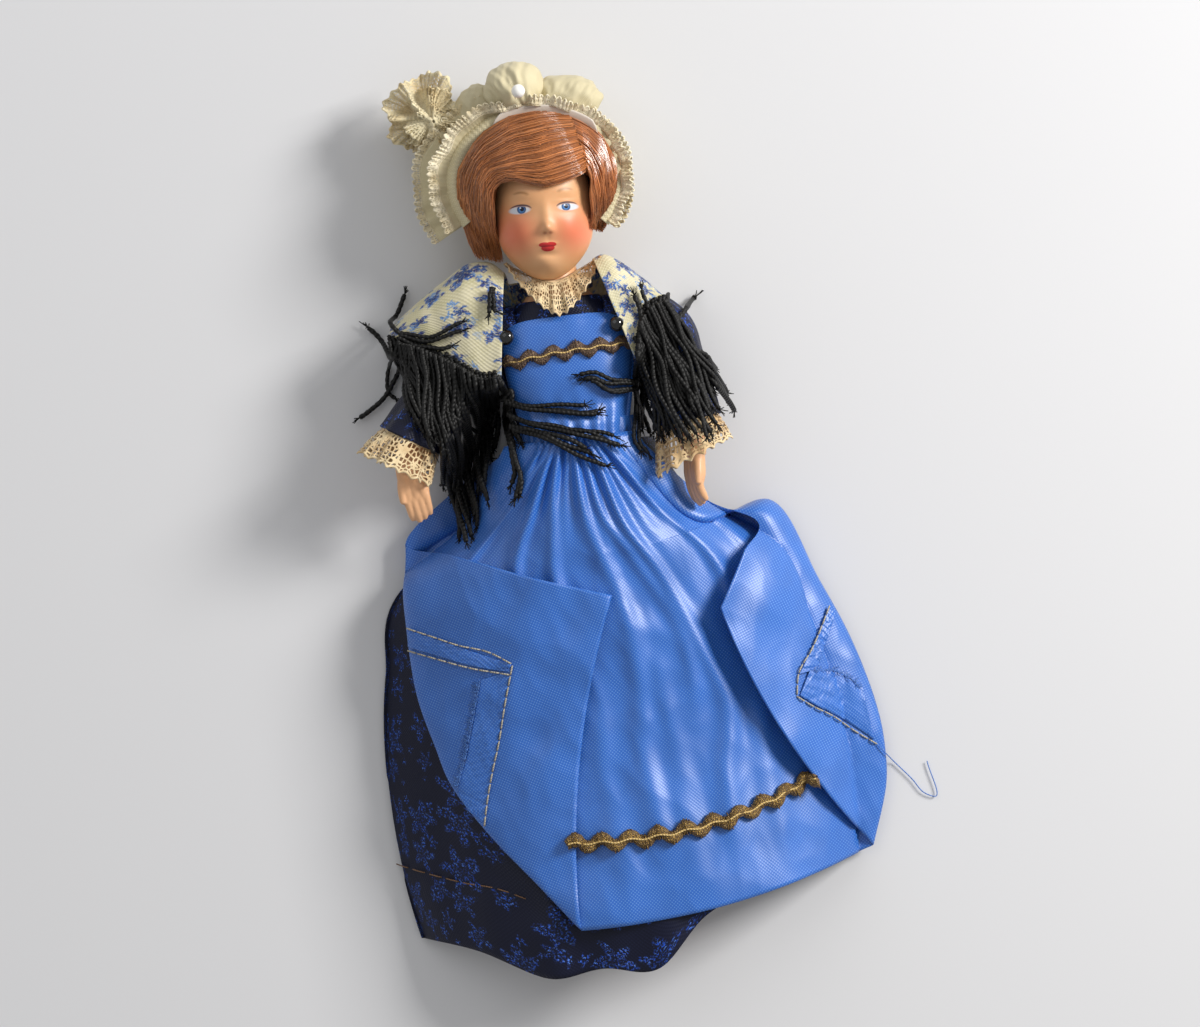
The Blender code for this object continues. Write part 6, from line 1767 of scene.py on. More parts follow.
@dataclass
class Skirt:
    """Wide brocade skirt spread flat, full at the sides, with its waistband and the drawers in it."""

    back_rise: float = 1.9 * MM
    side_z: float = 1.2 * MM
    hem: Stations = (
        (-45, -80), (-30, -84.4), (-18, -90.8), (-7, -90), (4, -91), (13, -82.5), (25, -78), (45, -73),
    )
    right: Stations = (
        (14.1, 13), (10.1, 15), (5, 17.4), (0, 20), (-4, 22.5), (-14, 37), (-30, 41.9), (-60, 44.4),
        (-81, 41), (-94, 37),
    )
    left: Stations = (
        (14.1, 13), (10.1, 15), (5, 17.4), (0, 20), (-4, 22), (-14, 34), (-30, 39), (-60, 43), (-81, 42),
        (-94, 40),
    )
    crest: Stations = (
        (14.1, 17.7), (10.1, 18.3), (0, 18.9), (-20, 17.9), (-48, 16.7), (-70, 18.5), (-81, 19.7),
        (-94, 17.4),
    )
    slope: Stations = ((14.1, 0.417), (10.1, 0.417), (5, 0.45), (0, 0.6), (-8, 0.8), (-94, 0.8))

    def back(self, y: Array) -> Array:
        """Height of the back: flat on the floor, rising a little to the waist."""
        return self.back_rise * np.clip((y - 4.0 * MM) / (WAIST_Y - 4.0 * MM), 0, 1)

    def height(self, x: Array, y: Array) -> Array:
        """Height of the front over (x, y): a crest that falls to the sides by a power curve."""
        places = y / MM
        half = np.where(x < 0, through(self.right, places), through(self.left, places)) * MM
        share = np.clip(np.abs(x) / half, 0, 1)
        side = self.back(y) + self.side_z
        crest = through(self.crest, places) * MM
        tall = side + (crest - side) * (1 - share**2.3) ** through(self.slope, places)
        return np.where(np.abs(x) < half, tall, 0)

    def place(self, u: Array, v: Array) -> Array:
        """The skirt's tube: over the front for half a turn and back along the floor.

        The front carries folds that run down from the waist: cosines of the share across whose depth
        grows with the way down, and uneven ripples.
        """
        angle = TURN * u
        share = np.cos(angle)
        start = WAIST_Y
        guess = 40 * MM * share
        hem = through(self.hem, guess / MM) * MM
        y = start + v**1.18 * (hem - start)
        half = np.where(share < 0, through(self.right, y / MM), through(self.left, y / MM)) * MM
        half *= 1 + 0.012 * np.sin(9 * v + 2 * share) * v
        x = half * share
        upper = np.sin(angle) >= 0
        edge = np.clip((np.abs(share) - 0.9) / 0.1, 0, 1)
        bottom = self.back(y) + self.side_z * edge**2 + 0.05 * MM
        down = ease(0, 0.5, v)
        folds = 0.7 * MM * np.cos(11 * share + 1.5 * np.sin(4 * v)) + 0.35 * MM * np.cos(23 * share + 3 * v)
        wrinkle = 0.35 * MM * ripples(np.stack([x, y], -1) / MM, 13.0, 41)
        top = self.height(0.9999 * x, y) + (folds * down + wrinkle) * np.sin(angle) ** 2
        return np.stack([x, y, np.where(upper, np.maximum(top, bottom + 0.2 * MM), bottom)], -1)

    def build(self) -> None:
        """Builds the skirt, its waistband, its hem stitches and the drawers."""
        cloth = Draft().sheet(320, 120, self.place, (0.20, 0.10), wrap=True).object("skirt_brocade")
        skirt = dress(thicken(cloth, CLOTH, -1.0), "root", Finishes.BROCADE, ["skirt"])
        RELIEF.add(skirt)
        stitches = Draft()
        row = ((-44.6, -66.5), (-35.9, -69.6), (-31.9, -70.9), (-25.8, -72.4), (-19, -75.5))
        Stitching(2.2 * MM, 0.9 * MM, 0.13 * MM).add(stitches, row)
        hem = dress(stitches.object("skirt_hem_stitches"), "root", Finishes.RUST)

        def band(u: Array, v: Array) -> Array:
            """The skirt's waistband round the body, drawn in by small gathers."""
            angle = -TURN * u
            grow = 1.3 * MM + 0.12 * MM * np.cos(41 * angle) + 0 * v
            return TRUNK.point(angle, (10.6 + 3.8 * v) * MM, grow)

        waist = Draft().sheet(200, 8, band, (0.075, 0.004), wrap=True).object("skirt_waist_gathers")
        dress(thicken(waist, 0.4 * MM), "root", Finishes.BROCADE, ["skirt_waistband"])
        drawers = Draft()

        def hips(u: Array, v: Array) -> Array:
            """The drawers round the hips, gathered by cosines of the angle."""
            angle = -TURN * u
            grow = 0.6 * MM + 0.1 * MM * np.cos(26 * angle) + 0 * v
            return TRUNK.point(angle, (-8.0 + 15.3 * v) * MM, grow)

        drawers.sheet(160, 24, hips, (0.072, 0.0155), wrap=True)
        for side in (-1, 1):

            def leg(u: Array, v: Array, side: int = side) -> Array:
                """One leg of the drawers, fuller at its hem."""
                angle = -TURN * u
                radius = (5.95 + 0.12 * np.cos(17 * angle) + 0.25 * v) * MM
                x = side * 6.2 * MM + 0.97 * radius * np.cos(angle)
                return np.stack([x, (-5.0 - 10.6 * v) * MM, 7.6 * MM + radius * np.sin(angle)], -1)

            drawers.sheet(90, 16, leg, (0.038, 0.0106), wrap=True, flip=True)
        cotton = thicken(drawers.object("cotton_drawers"), 0.3 * MM)
        dress(cotton, "root", Finishes.PLAIN_COTTON, ["drawers"])


@dataclass
class Apron:
    """Taffeta apron with both lower corners turned up over it, a bib, bands, braids and stitches."""

    fold_share: float = 0.24
    fall: float = 90 * MM
    clearance: float = 1.4 * MM
    flap_height: float = 2.0 * MM
    curl_height: float = 6.0 * MM
    right_edge: Stations = (
        (0, -13.5, 10.1), (0.2, -26, 3.2), (0.4, -35.0, -5.2), (0.55, -27.0, -7.9), (0.68, -19.8, -10.6),
        (0.8, -12.9, -13.5), (1, 3.4, -19.3),
    )
    right_fold: Stations = (
        (0, -8.5, 10.1), (0.2, -20, -0.5), (0.4, -35.8, -11), (0.5, -36.7, -20.7), (0.6, -36.3, -33.8),
        (0.7, -33.9, -44.4), (0.8, -31.0, -53.5), (0.88, -24.3, -63.8), (0.94, -17.5, -72.4), (1, -10.2, -82.0),
    )
    left_fold: Stations = (
        (0, 8, 10.1), (0.2, 22, -7.5), (0.35, 36.5, -5.2), (0.5, 43.6, -21.2), (0.62, 48.6, -34),
        (0.72, 51.6, -45.7), (0.82, 52.5, -55), (0.9, 51.9, -62.5), (1, 48, -74.0),
    )
    left_edge: Stations = (
        (0, 11.8, 10.1), (0.2, 24, -3.5), (0.35, 32.5, -8.2), (0.6, 29.5, -14.2), (1, 23.7, -24.2),
    )
    sag: Stations = ((0, 0), (0.2, 4.5), (0.4, 8), (0.6, 10.4), (0.8, 9.6), (1, 2.5))
    ridges: tuple[tuple[Stations, float, float], ...] = (
        (
            ((10.1, 3.5), (-5.0, 7.0), (-16.2, 13.1), (-32.1, 19.6), (-43.0, 23.0), (-55.8, 21.3), (-70, 21)),
            1.7,
            1.1,
        ),
        (((10.1, -1.0), (-8, 1.2), (-20, 5.0), (-36, 6.6), (-50, 6.0), (-70, 8.0)), 1.9, 1.0),
        (((10.1, 1.0), (-4, 3.6), (-14, 9.0), (-26, 15.0), (-34, 17.0), (-44, 16.5)), 1.5, 0.7),
        (((10.1, -3.5), (-4, -6.0), (-12, -7.0), (-22, -6.5), (-30, -6.0)), 1.6, 1.1),
        (((10.1, -5.0), (-2, -10.0), (-8, -13.0), (-16, -15.0)), 1.5, 1.2),
        (((10.1, -6.5), (-2, -15.0), (-8, -21.0), (-12, -25.0)), 1.3, 1.1),
        (((10.1, 6.0), (-4, 15.0), (-12, 22.0), (-22, 27.0), (-36, 31.0)), 1.8, 1.3),
        (((10.1, 7.5), (-3, 19.0), (-9, 27.0), (-14, 31.0)), 1.4, 1.2),
        (((-30, 10.0), (-44, 11.5), (-58, 12.5), (-74, 13.0)), 1.8, 0.6),
        (((-40, -1.0), (-52, -2.5), (-66, -1.0), (-76, 0.0)), 1.7, 0.6),
        (((-42, 28.5), (-52, 29.0), (-64, 30.0), (-72, 31.0)), 1.8, 0.8),
    )

    def flat(self, across: Array, down: Array) -> tuple[Array, ...]:
        """Where a point of the cloth lies from above, and how far it is turned over on each side.

        Between the folds it is a mix of the two fold lines that sags to the hem; beyond a fold it is
        a mix of the fold and the edge, bowed outwards along the hem.
        """
        share = np.clip((across - self.fold_share) / (1 - 2 * self.fold_share), 0, 1)
        right = np.clip(1 - across / self.fold_share, 0, 1)
        left = np.clip((across - 1 + self.fold_share) / self.fold_share, 0, 1)
        lines = {}
        for name in ("right_edge", "right_fold", "left_fold", "left_edge"):
            stations = getattr(self, name)
            lines[name] = through(stations, down), through(stations, down, 2)
        sag = through(self.sag, down) * 4 * share * (1 - share)
        x = lines["right_fold"][0] * (1 - share) + lines["left_fold"][0] * share
        y = lines["right_fold"][1] * (1 - share) + lines["left_fold"][1] * share - sag
        bow = 13.0 * ease(0.45, 1, down)
        for turned, side in ((right, "right"), (left, "left")):
            edge = lines[f"{side}_edge"]
            x = x + turned * (edge[0] - x) - bow * turned * (1 - turned)
            y = y + turned * (edge[1] - y)
        return x * MM, y * MM, right, left

    def lift_of(self, x: Array, y: Array, main: Array) -> Array:
        """Folds of the main cloth: bell curves across ridge lines that start at the waist.

        Each ridge is a pleat: its height is h exp(-(x - line)^2 / w^2), and it is widest at the hem;
        fine gathers under the band fade downwards.
        """
        total = 0 * x
        down = np.clip((WAIST_Y - y) / self.fall, 0, 1)
        level = y / MM
        for line, width, height in self.ridges:
            middle = through(line, level) * MM
            low, high = min(station[0] for station in line), max(station[0] for station in line)
            present = ease(low - 6, low + 6, level) * (1 - ease(high - 6, high + 1, level))
            present = np.maximum(present, (high > 10) * (y > 4 * MM))
            wide = width * MM * (0.55 + 1.1 * down)
            total = total + height * MM * present * np.exp(-(((x - middle) / wide) ** 2))
        spread = np.maximum(8.5 * MM + 1.05 * (WAIST_Y - y), 6 * MM)
        gathers = 0.42 * MM * np.cos(TURN * 6.5 * x / spread + 0.7) * (1 - ease(0, 0.28, down))
        slow = 0.4 * MM * ripples(np.stack([x, 0.5 * y], -1) / MM, 11.0, 51) * ease(0.05, 0.3, down)
        return (total + gathers) * main + slow * (0.4 + 0.6 * main)

    def place(self, u: Array, v: Array) -> Array:
        """A point of the apron: over the skirt, the turned corners over the main cloth, with sharp creases.

        A crease is the ridge where a sum of ripples changes its sign.
        """
        across = self.spaced(u)
        x, y, right, left = self.flat(across, v)
        y = y + 1.3 * MM * np.clip(1 - v / 0.02, 0, 1)
        free = np.clip(3 * v, 0, 1)
        flap = self.flap_height * np.sin(0.5 * math.pi * right) ** 0.45
        curl = self.curl_height * np.sin(0.5 * math.pi * np.clip(1.15 * left, 0, 1)) ** 0.6
        ground = np.maximum(SKIRT.height(0.95 * x, y - MM), 0.3 * MM)
        main = np.where((right > 0) | (left > 0), 0, 1) * np.minimum(
            ease(0.0, 0.06, across - self.fold_share), ease(0.0, 0.06, 1 - self.fold_share - across)
        )
        billow = 0.55 * MM * ripples(np.stack([x, y], -1) / MM, 15.0, 61) * np.maximum(right, left) ** 0.5
        z = ground + self.clearance + free * (flap + curl) + billow * free + self.lift_of(x, y, main)
        spots = np.stack([x, y], -1) / MM
        sharp = 0.6 * np.abs(ripples(spots, 24.0, 67)) + 0.16 * np.abs(ripples(spots, 9.0, 68))
        z = z + np.clip(0.6 - sharp, 0, 1) * MM * ease(0.05, 0.3, v)
        return np.stack([x, y, np.maximum(z, 0.6 * MM)], -1)

    def spaced(self, u: Array) -> Array:
        """Spaces the columns: three in ten on the right flap and a quarter of them on the left one."""
        knots = np.array([(0, 0), (0.3, self.fold_share), (0.75, 1 - self.fold_share), (1, 1)], float)
        return np.interp(u, knots[:, 0], knots[:, 1])

    def panel(self) -> Object:
        """Builds the apron's cloth with its map laid flat, turned with the corners."""
        columns, rows = 330, 145
        u, v = np.meshgrid(np.linspace(0, 1, columns), np.linspace(0, 1, rows))
        points = self.place(u.ravel(), v.ravel()).reshape(rows, columns, 3)
        _, _, right, left = self.flat(self.spaced(u), v)
        turn = np.where(right > 0, math.radians(-16), 0) + np.where(left > 0, math.radians(24), 0)
        x, y = points[..., 0], points[..., 1]
        places = np.stack([x * np.cos(turn) - y * np.sin(turn), x * np.sin(turn) + y * np.cos(turn)], -1)
        draft = Draft().grid(points, places=places, flip=True)
        return thicken(draft.object("taffeta_apron"), 0.3 * MM)

    def stitches(self) -> tuple[Object, Object]:
        """The seams of the turned hems, and the loose threads at their ends."""
        rows = (
            ((-36.6, -21.0), (-31.0, -23.5), (-27.3, -25.2), (-21.3, -27.3), (-17.0, -30.1)),
            ((-37.0, -25.3), (-31.2, -27.6), (-25.8, -29.7), (-17.5, -32.1)),
            ((-17.1, -30.4), (-19.5, -37.9), (-21.7, -45.4), (-23.3, -49.9), (-25.0, -55.4), (-26.3, -60.6)),
            ((45.0, -26.8), (42.3, -31.5), (40.3, -34.6), (37.3, -38.5), (36.3, -43.0)),
            ((36.3, -43.0), (39.0, -45.2), (42.9, -47.8), (46.7, -51.2), (51.2, -54.7)),
        )
        draft = Draft()
        for row in rows:
            Stitching(1.7 * MM, 0.35 * MM).add(draft, row)
        sewn = dress(draft.object("apron_hem_stitches"), "root", Finishes.STITCH)
        loose = Draft()
        tail = ((51.0, -54.6), (54.1, -58.6), (57.1, -62.3), (59.2, -65.3), (61.0, -66.2), (60.4, -59.2))
        paths = RELIEF.lay(route(tail, np.linspace(0, 1, 60))[None], 0.15 * MM, 2)
        loose.tubes(paths, 0.11 * MM, 5)
        random = np.random.default_rng(71)
        for line, reach, count in (
            (((-23.6, -32.7), (-26.0, -40.2), (-28.5, -47.7), (-30.6, -52.6)), -1.7, 150),
            (((39.8, -38.3), (43.9, -39.1), (47.1, -40.9), (49.3, -43.3)), 0.8, 60),
        ):
            start = route(line, random.uniform(0, 1, count))
            t = np.linspace(0, 1, 6)[None, :, None]
            sideways = reach * random.uniform(0.2, 1, count)
            end = start + np.stack([sideways, random.normal(0, 0.5, count), 0 * start[:, 0]], -1) * MM
            fray = start[:, None] + (end - start)[:, None] * t
            fray[..., 1] += random.normal(0, 0.25, (count, 1)) * MM * np.sin(3 * t[..., 0])
            loose.tubes(RELIEF.lay(fray, 0.1 * MM, 1), 0.07 * MM, 4)
        return sewn, dress(loose.object("apron_loose_threads"), "root", Finishes.FRAY)

    def facings(self) -> Object:
        """The turned hems on the corners: strips of the same cloth between a raw edge and the seam."""
        draft = Draft()
        for outer, inner in (
            (
                ((-23.6, -32.4), (-26.0, -40.2), (-28.5, -47.7), (-30.6, -52.6), (-29.0, -57.0)),
                ((-17.4, -31.2), (-19.8, -38.2), (-21.9, -45.6), (-24.6, -54.0), (-26.2, -59.8)),
            ),
            (
                ((-36.8, -24.6), (-31.0, -27.0), (-25.8, -29.2), (-17.7, -31.6)),
                ((-36.4, -21.4), (-31.0, -23.8), (-27.3, -25.5), (-17.3, -30.0)),
            ),
            (
                ((39.6, -38.2), (43.9, -39.1), (47.1, -40.9), (49.6, -43.4)),
                ((36.9, -42.9), (40.0, -45.4), (43.8, -47.9), (50.4, -53.6)),
            ),
            (
                ((46.2, -27.8), (44.2, -32.0), (42.6, -35.0), (41.0, -38.4)),
                ((44.6, -27.2), (42.0, -31.9), (40.0, -35.0), (37.2, -38.9)),
            ),
        ):
            t, s = np.meshgrid(np.linspace(0, 1, 80), np.linspace(0, 1, 16))
            first = route(outer, t)
            last = route(inner, t)
            points = first + (last - first) * s[..., None]
            step = (0.38 * MM) * (1 - 0.8 * s**3) + 0.12 * MM * np.sin(19 * t) * (1 - s)
            points[..., 2] = RELIEF.at(points[..., 0], points[..., 1]) + step
            draft.grid(points, places=points[..., [1, 0]], flip=True)
        return dress(thicken(draft.object("apron_turned_hems"), 0.22 * MM), "root", Finishes.TAFFETA)

    def bib_surface(self, x: Array, y: Array, lift: float) -> Array:
        """Height of the bib: over the bodice and the shoulder seats, with slight puckers."""
        pucker = 0.16 * MM * ripples(np.stack([x, 0.4 * y], -1) / MM, 5.0, 33)
        return TRUNK.bodice_front(x, y) + GAP + CLOTH / 2 + lift + pucker

    def bib(self) -> Object:
        """Builds the bib, pinned at its upper corners."""

        def place(u: Array, v: Array) -> Array:
            """The bib between its two side lines, rounded at its upper corners, its foot over the band."""
            top = 34.8 - 2.6 * np.abs(2 * u - 1) ** 5
            y = (10.9 + (top - 10.9) * v) * MM
            over = 1.35 * MM * (1 - ease(13.2, 17.6, y / MM))
            left = through(((12.5, -9.6), (25, -11.6), (34.8, -12.2)), y / MM)
            right = through(((12.5, 10.6), (25, 13.0), (34.8, 12.6)), y / MM)
            x = (left + (right - left) * u) * MM
            gathers = 0.3 * MM * np.cos(TURN * 7 * u + 0.5) * (1 - ease(0, 0.45, v))
            roll = 0.3 * MM * (ease(0.94, 1, v) + ease(0.96, 1, np.abs(2 * u - 1)))
            return np.stack([x, y, self.bib_surface(x, y, 0.0) + gathers + over + 0.25 * MM - roll], -1)

        bib = thicken(Draft().sheet(150, 120, place, (0.0255, 0.024)).object("taffeta_bib"), 0.3 * MM)
        return dress(bib, "root", Finishes.TAFFETA, ["apron_bib"])

    def braid(self, name: str, path: Array, pitch: float, size: float, finish: Finishes) -> Object:
        """A scalloped tinsel braid along a path, with its core thread on top.

        The wave is a sine of the length; wound loops of fine thread circle it, each turn a little
        uneven, and a flattened tube fills it.

        Args:
            name: The piece's name.
            path: Points on the cloth, in metres.
            pitch: Distance between two lumps of one side.
            size: Half width of the tinsel.
            finish: Its finish.

        Returns:
            The braid.
        """
        length = np.concatenate([[0], np.cumsum(np.linalg.norm(np.diff(path, axis=0), axis=1))])
        turns = length[-1] / pitch
        heading = unit(np.gradient(path, axis=0))
        across = np.stack([-heading[:, 1], heading[:, 0], 0 * heading[:, 0]], -1)
        wave = np.sin(length * TURN / pitch)
        middle = path + across * (0.62 * size * np.sign(wave) * np.abs(wave) ** 0.8)[:, None]
        draft = Draft()
        thick = size * (0.78 + 0.2 * np.abs(wave))
        draft.tubes(middle[None] - np.array([0, 0, 0.1 * MM]), thick[None], 10)
        random = np.random.default_rng(int(turns * 10))
        for strand in range(4):
            wound = int(turns * (8 + strand))
            t = np.linspace(0, 1, wound * 11)
            angle = TURN * wound * t + strand
            at = np.stack([np.interp(t * length[-1], length, middle[:, axis]) for axis in range(3)], -1)
            side = np.stack([np.interp(t * length[-1], length, across[:, axis]) for axis in range(3)], -1)
            reach = np.interp(t * length[-1], length, thick) + 0.1 * MM
            reach = reach * (1 + 0.16 * np.interp(t, np.linspace(0, 1, wound), random.normal(0, 1, wound)))
            up = np.array([0, 0, 1.0]) * (0.72 * reach * np.sin(angle))[:, None]
            loop = at + side * (reach * np.cos(angle))[:, None] + up
            draft.tubes(loop[None], 0.1 * MM, 4)
        core = path + across * (0.2 * size * wave)[:, None]
        core[:, 2] += 0.8 * size
        braid = dress(draft.object(name), "root", finish, [name.removesuffix("_tinsel")])
        thread = Draft().tubes(core[None], 0.17 * size, 8, 0.9 * MM, 0.3).object(f"{name}_core")
        dress(thread, "root", Finishes.CORE)
        return braid

    def bands(self) -> Object:
        """Builds the apron's waistband, which covers the skirt's."""

        def place(u: Array, v: Array) -> Array:
            """The band round the waist, pulled into small pleats below."""
            angle = -TURN * u
            pleats = 0.14 * MM * np.cos(33 * angle + 2 * np.sin(3 * angle)) * (1 - 0.6 * v)
            dome = 0.25 * MM * np.sin(math.pi * v)
            return TRUNK.point(angle, (10.5 + 4.0 * v) * MM, 2.25 * MM + pleats + dome)

        loop = Draft().sheet(220, 10, place, (0.078, 0.004), wrap=True)
        band = thicken(loop.object("taffeta_waistband"), 0.3 * MM)
        return dress(band, "root", Finishes.TAFFETA, ["apron_waistband"])

    def pins(self) -> None:
        """Builds the two glass pin heads, each with the small collar that it sits on."""
        for word in ("right", "left"):
            low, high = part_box(f"{word}_bead_pin")
            middle = [(low[0] + high[0]) / 2, (low[1] + high[1]) / 2, high[2] - 1.5 * MM]
            draft = Draft().grid(ellipsoid(middle, [1.5 * MM] * 3, 40, 24), wrap=True)
            collar = [middle[0], middle[1], middle[2] - 1.25 * MM]
            draft.grid(ellipsoid(collar, [0.62 * MM, 0.62 * MM, 0.5 * MM], 20, 10), wrap=True)
            pin = draft.object(f"{word}_glass_pin", merge=0.002 * MM)
            dress(pin, "root", Finishes.GLASS, [f"{word}_bead_pin"])

    def build(self) -> None:
        """Builds the apron and everything sewn or pinned to it."""
        panel = dress(self.panel(), "root", Finishes.TAFFETA, ["apron"])
        RELIEF.add(panel)
        facings = self.facings()
        RELIEF.add(facings)
        sewn, loose = self.stitches()
        u = np.linspace(0.02, 0.985, 900)
        line = ((-11.6, -65.2), (-3, -65.8), (7.0, -65.8), (14.8, -65.2), (24, -63.5), (38.6, -58.6))
        path = RELIEF.lay(route(line, u)[None], 0.62 * MM, 9)[0]
        hem = self.braid("hem_braid_tinsel", path, 5.5 * MM, 1.25 * MM, Finishes.BRAID)
        bib, band = self.bib(), self.bands()
        RELIEF.add(bib, band)
        path = route(((-12.2, 26.9), (-6, 27.5), (0, 27.9), (7, 28.1), (12.9, 28.3)), u)
        path[:, 2] = self.bib_surface(path[:, 0], path[:, 1], 0.75 * MM)
        trim = self.braid("bib_braid_tinsel", path, 4.6 * MM, 1.05 * MM, Finishes.BIB_BRAID)
        RELIEF.add(hem, trim)
        self.pins()


SKIRT = Skirt()


@dataclass
class Bodice:
    """The brocade bodice and the gathered lace collar at its neck."""

    low_y: float = 8.1 * MM
    high_y: float = 38.3 * MM
    armhole: float = 5.4 * MM

    def body(self) -> Object:
        """Builds the bodice with its armholes."""

        def place(u: Array, v: Array) -> Array:
            """The cloth round the trunk with shallow wrinkles."""
            angle = -TURN * u
            y = self.low_y + (self.high_y - self.low_y) * v
            places = np.stack([np.cos(angle) * 11, np.sin(angle) * 7, y / MM], -1)
            return TRUNK.point(angle, y, GAP + 0.25 * MM + 0.1 * MM * ripples(places, 6.0, 81))

        draft = Draft().sheet(240, 90, place, (0.068, 0.030), wrap=True)
        middle = draft.points[0][draft.faces[0]].mean(axis=1)
        away = np.hypot(middle[:, 1] - TRUNK.shoulder_y, middle[:, 2] - BODY_Z)
        keep = (away > self.armhole) | (np.abs(middle[:, 0]) < 0.6 * TRUNK.seat_x)
        draft.faces[0] = draft.faces[0][keep]
        draft.places[0] = draft.places[0].reshape(-1, 4, 2)[keep].reshape(-1, 2)
        for side in (-1, 1):

            def seat(u: Array, v: Array, side: int = side) -> Array:
                """The short round cap over a shoulder seat, under the head of the sleeve."""
                angle = TURN * u
                radius = (4.98 + 0.05 * np.cos(15 * angle)) * MM
                x = side * (7.4 + 6.3 * v) * MM
                y, z = TRUNK.shoulder_y + radius * np.cos(angle), BODY_Z + radius * np.sin(angle)
                return np.stack([x, y, z], -1)

            draft.sheet(72, 8, seat, (0.031, 0.0055), wrap=True, flip=side > 0)
        bodice = thicken(draft.object("brocade_bodice"), 0.3 * MM, 0.0)
        return dress(bodice, "root", Finishes.BROCADE, ["bodice"])

    def collar(self) -> Object:
        """Builds the collar: lace gathered at the neck that falls in flutes over the bodice."""

        def place(u: Array, v: Array) -> Array:
            """The lace from the neck outwards, lowest in front, lifted by flutes."""
            angle = math.radians(-212) + math.radians(244) * u
            cos, sin = np.cos(angle), -np.sin(angle)
            front = np.clip(sin, -0.5, 1)
            scallop = 1 - 0.09 * np.abs(np.sin(TURN * 11 * u)) * ease(0.6, 1, v)
            reach = (5.0 + (4.3 - 2.0 * front) * v * scallop) * MM
            x = -reach * cos
            drop = (0.6 + 6.6 * np.clip(front, 0, 1) ** 0.9) * MM * v * scallop
            y = 41.8 * MM + (1.9 + 2.4 * v) * MM * np.abs(cos) ** 1.5 - drop + 0.9 * MM * np.clip(cos, 0, 1) * v
            flute = 0.55 * MM * np.sin(TURN * 8 * u + 1.5 * np.sin(TURN * 2 * u)) * v
            frill = 0.2 * MM * np.sin(TURN * 23 * u) * v
            z = BODY_Z + 5.0 * MM * np.clip(front, -0.4, 1) + (3.3 + 0.5 * front) * MM * v**0.7 + flute + frill
            return np.stack([x, y, z], -1)

        lace = Draft().sheet(320, 20, place, (0.062, 0.0064), flip=True).object("lace_collar")
        return dress(thicken(lace, 0.25 * MM), "root", Finishes.LACE_WORN, ["collar"])

    def build(self) -> None:
        """Builds the bodice, the collar, and what shows of the body in the solids' own shapes."""
        bodice = self.body()
        RELIEF.add(bodice)
        collar = self.collar()
        for node, finish in (("torso", Finishes.SKIN), ("arm_elastic", Finishes.ELASTIC)):
            refinish(node, finish)


@dataclass(frozen=True)
class ShawlSide:
    """One half of the shawl.

    Attributes:
        crest: Where it turns over the shoulder, from the neck outwards, in millimetres.
        front: Its front edge, from the opening outwards.
        back: Its back edge.
    """

    crest: Stations
    front: Stations
    back: Stations


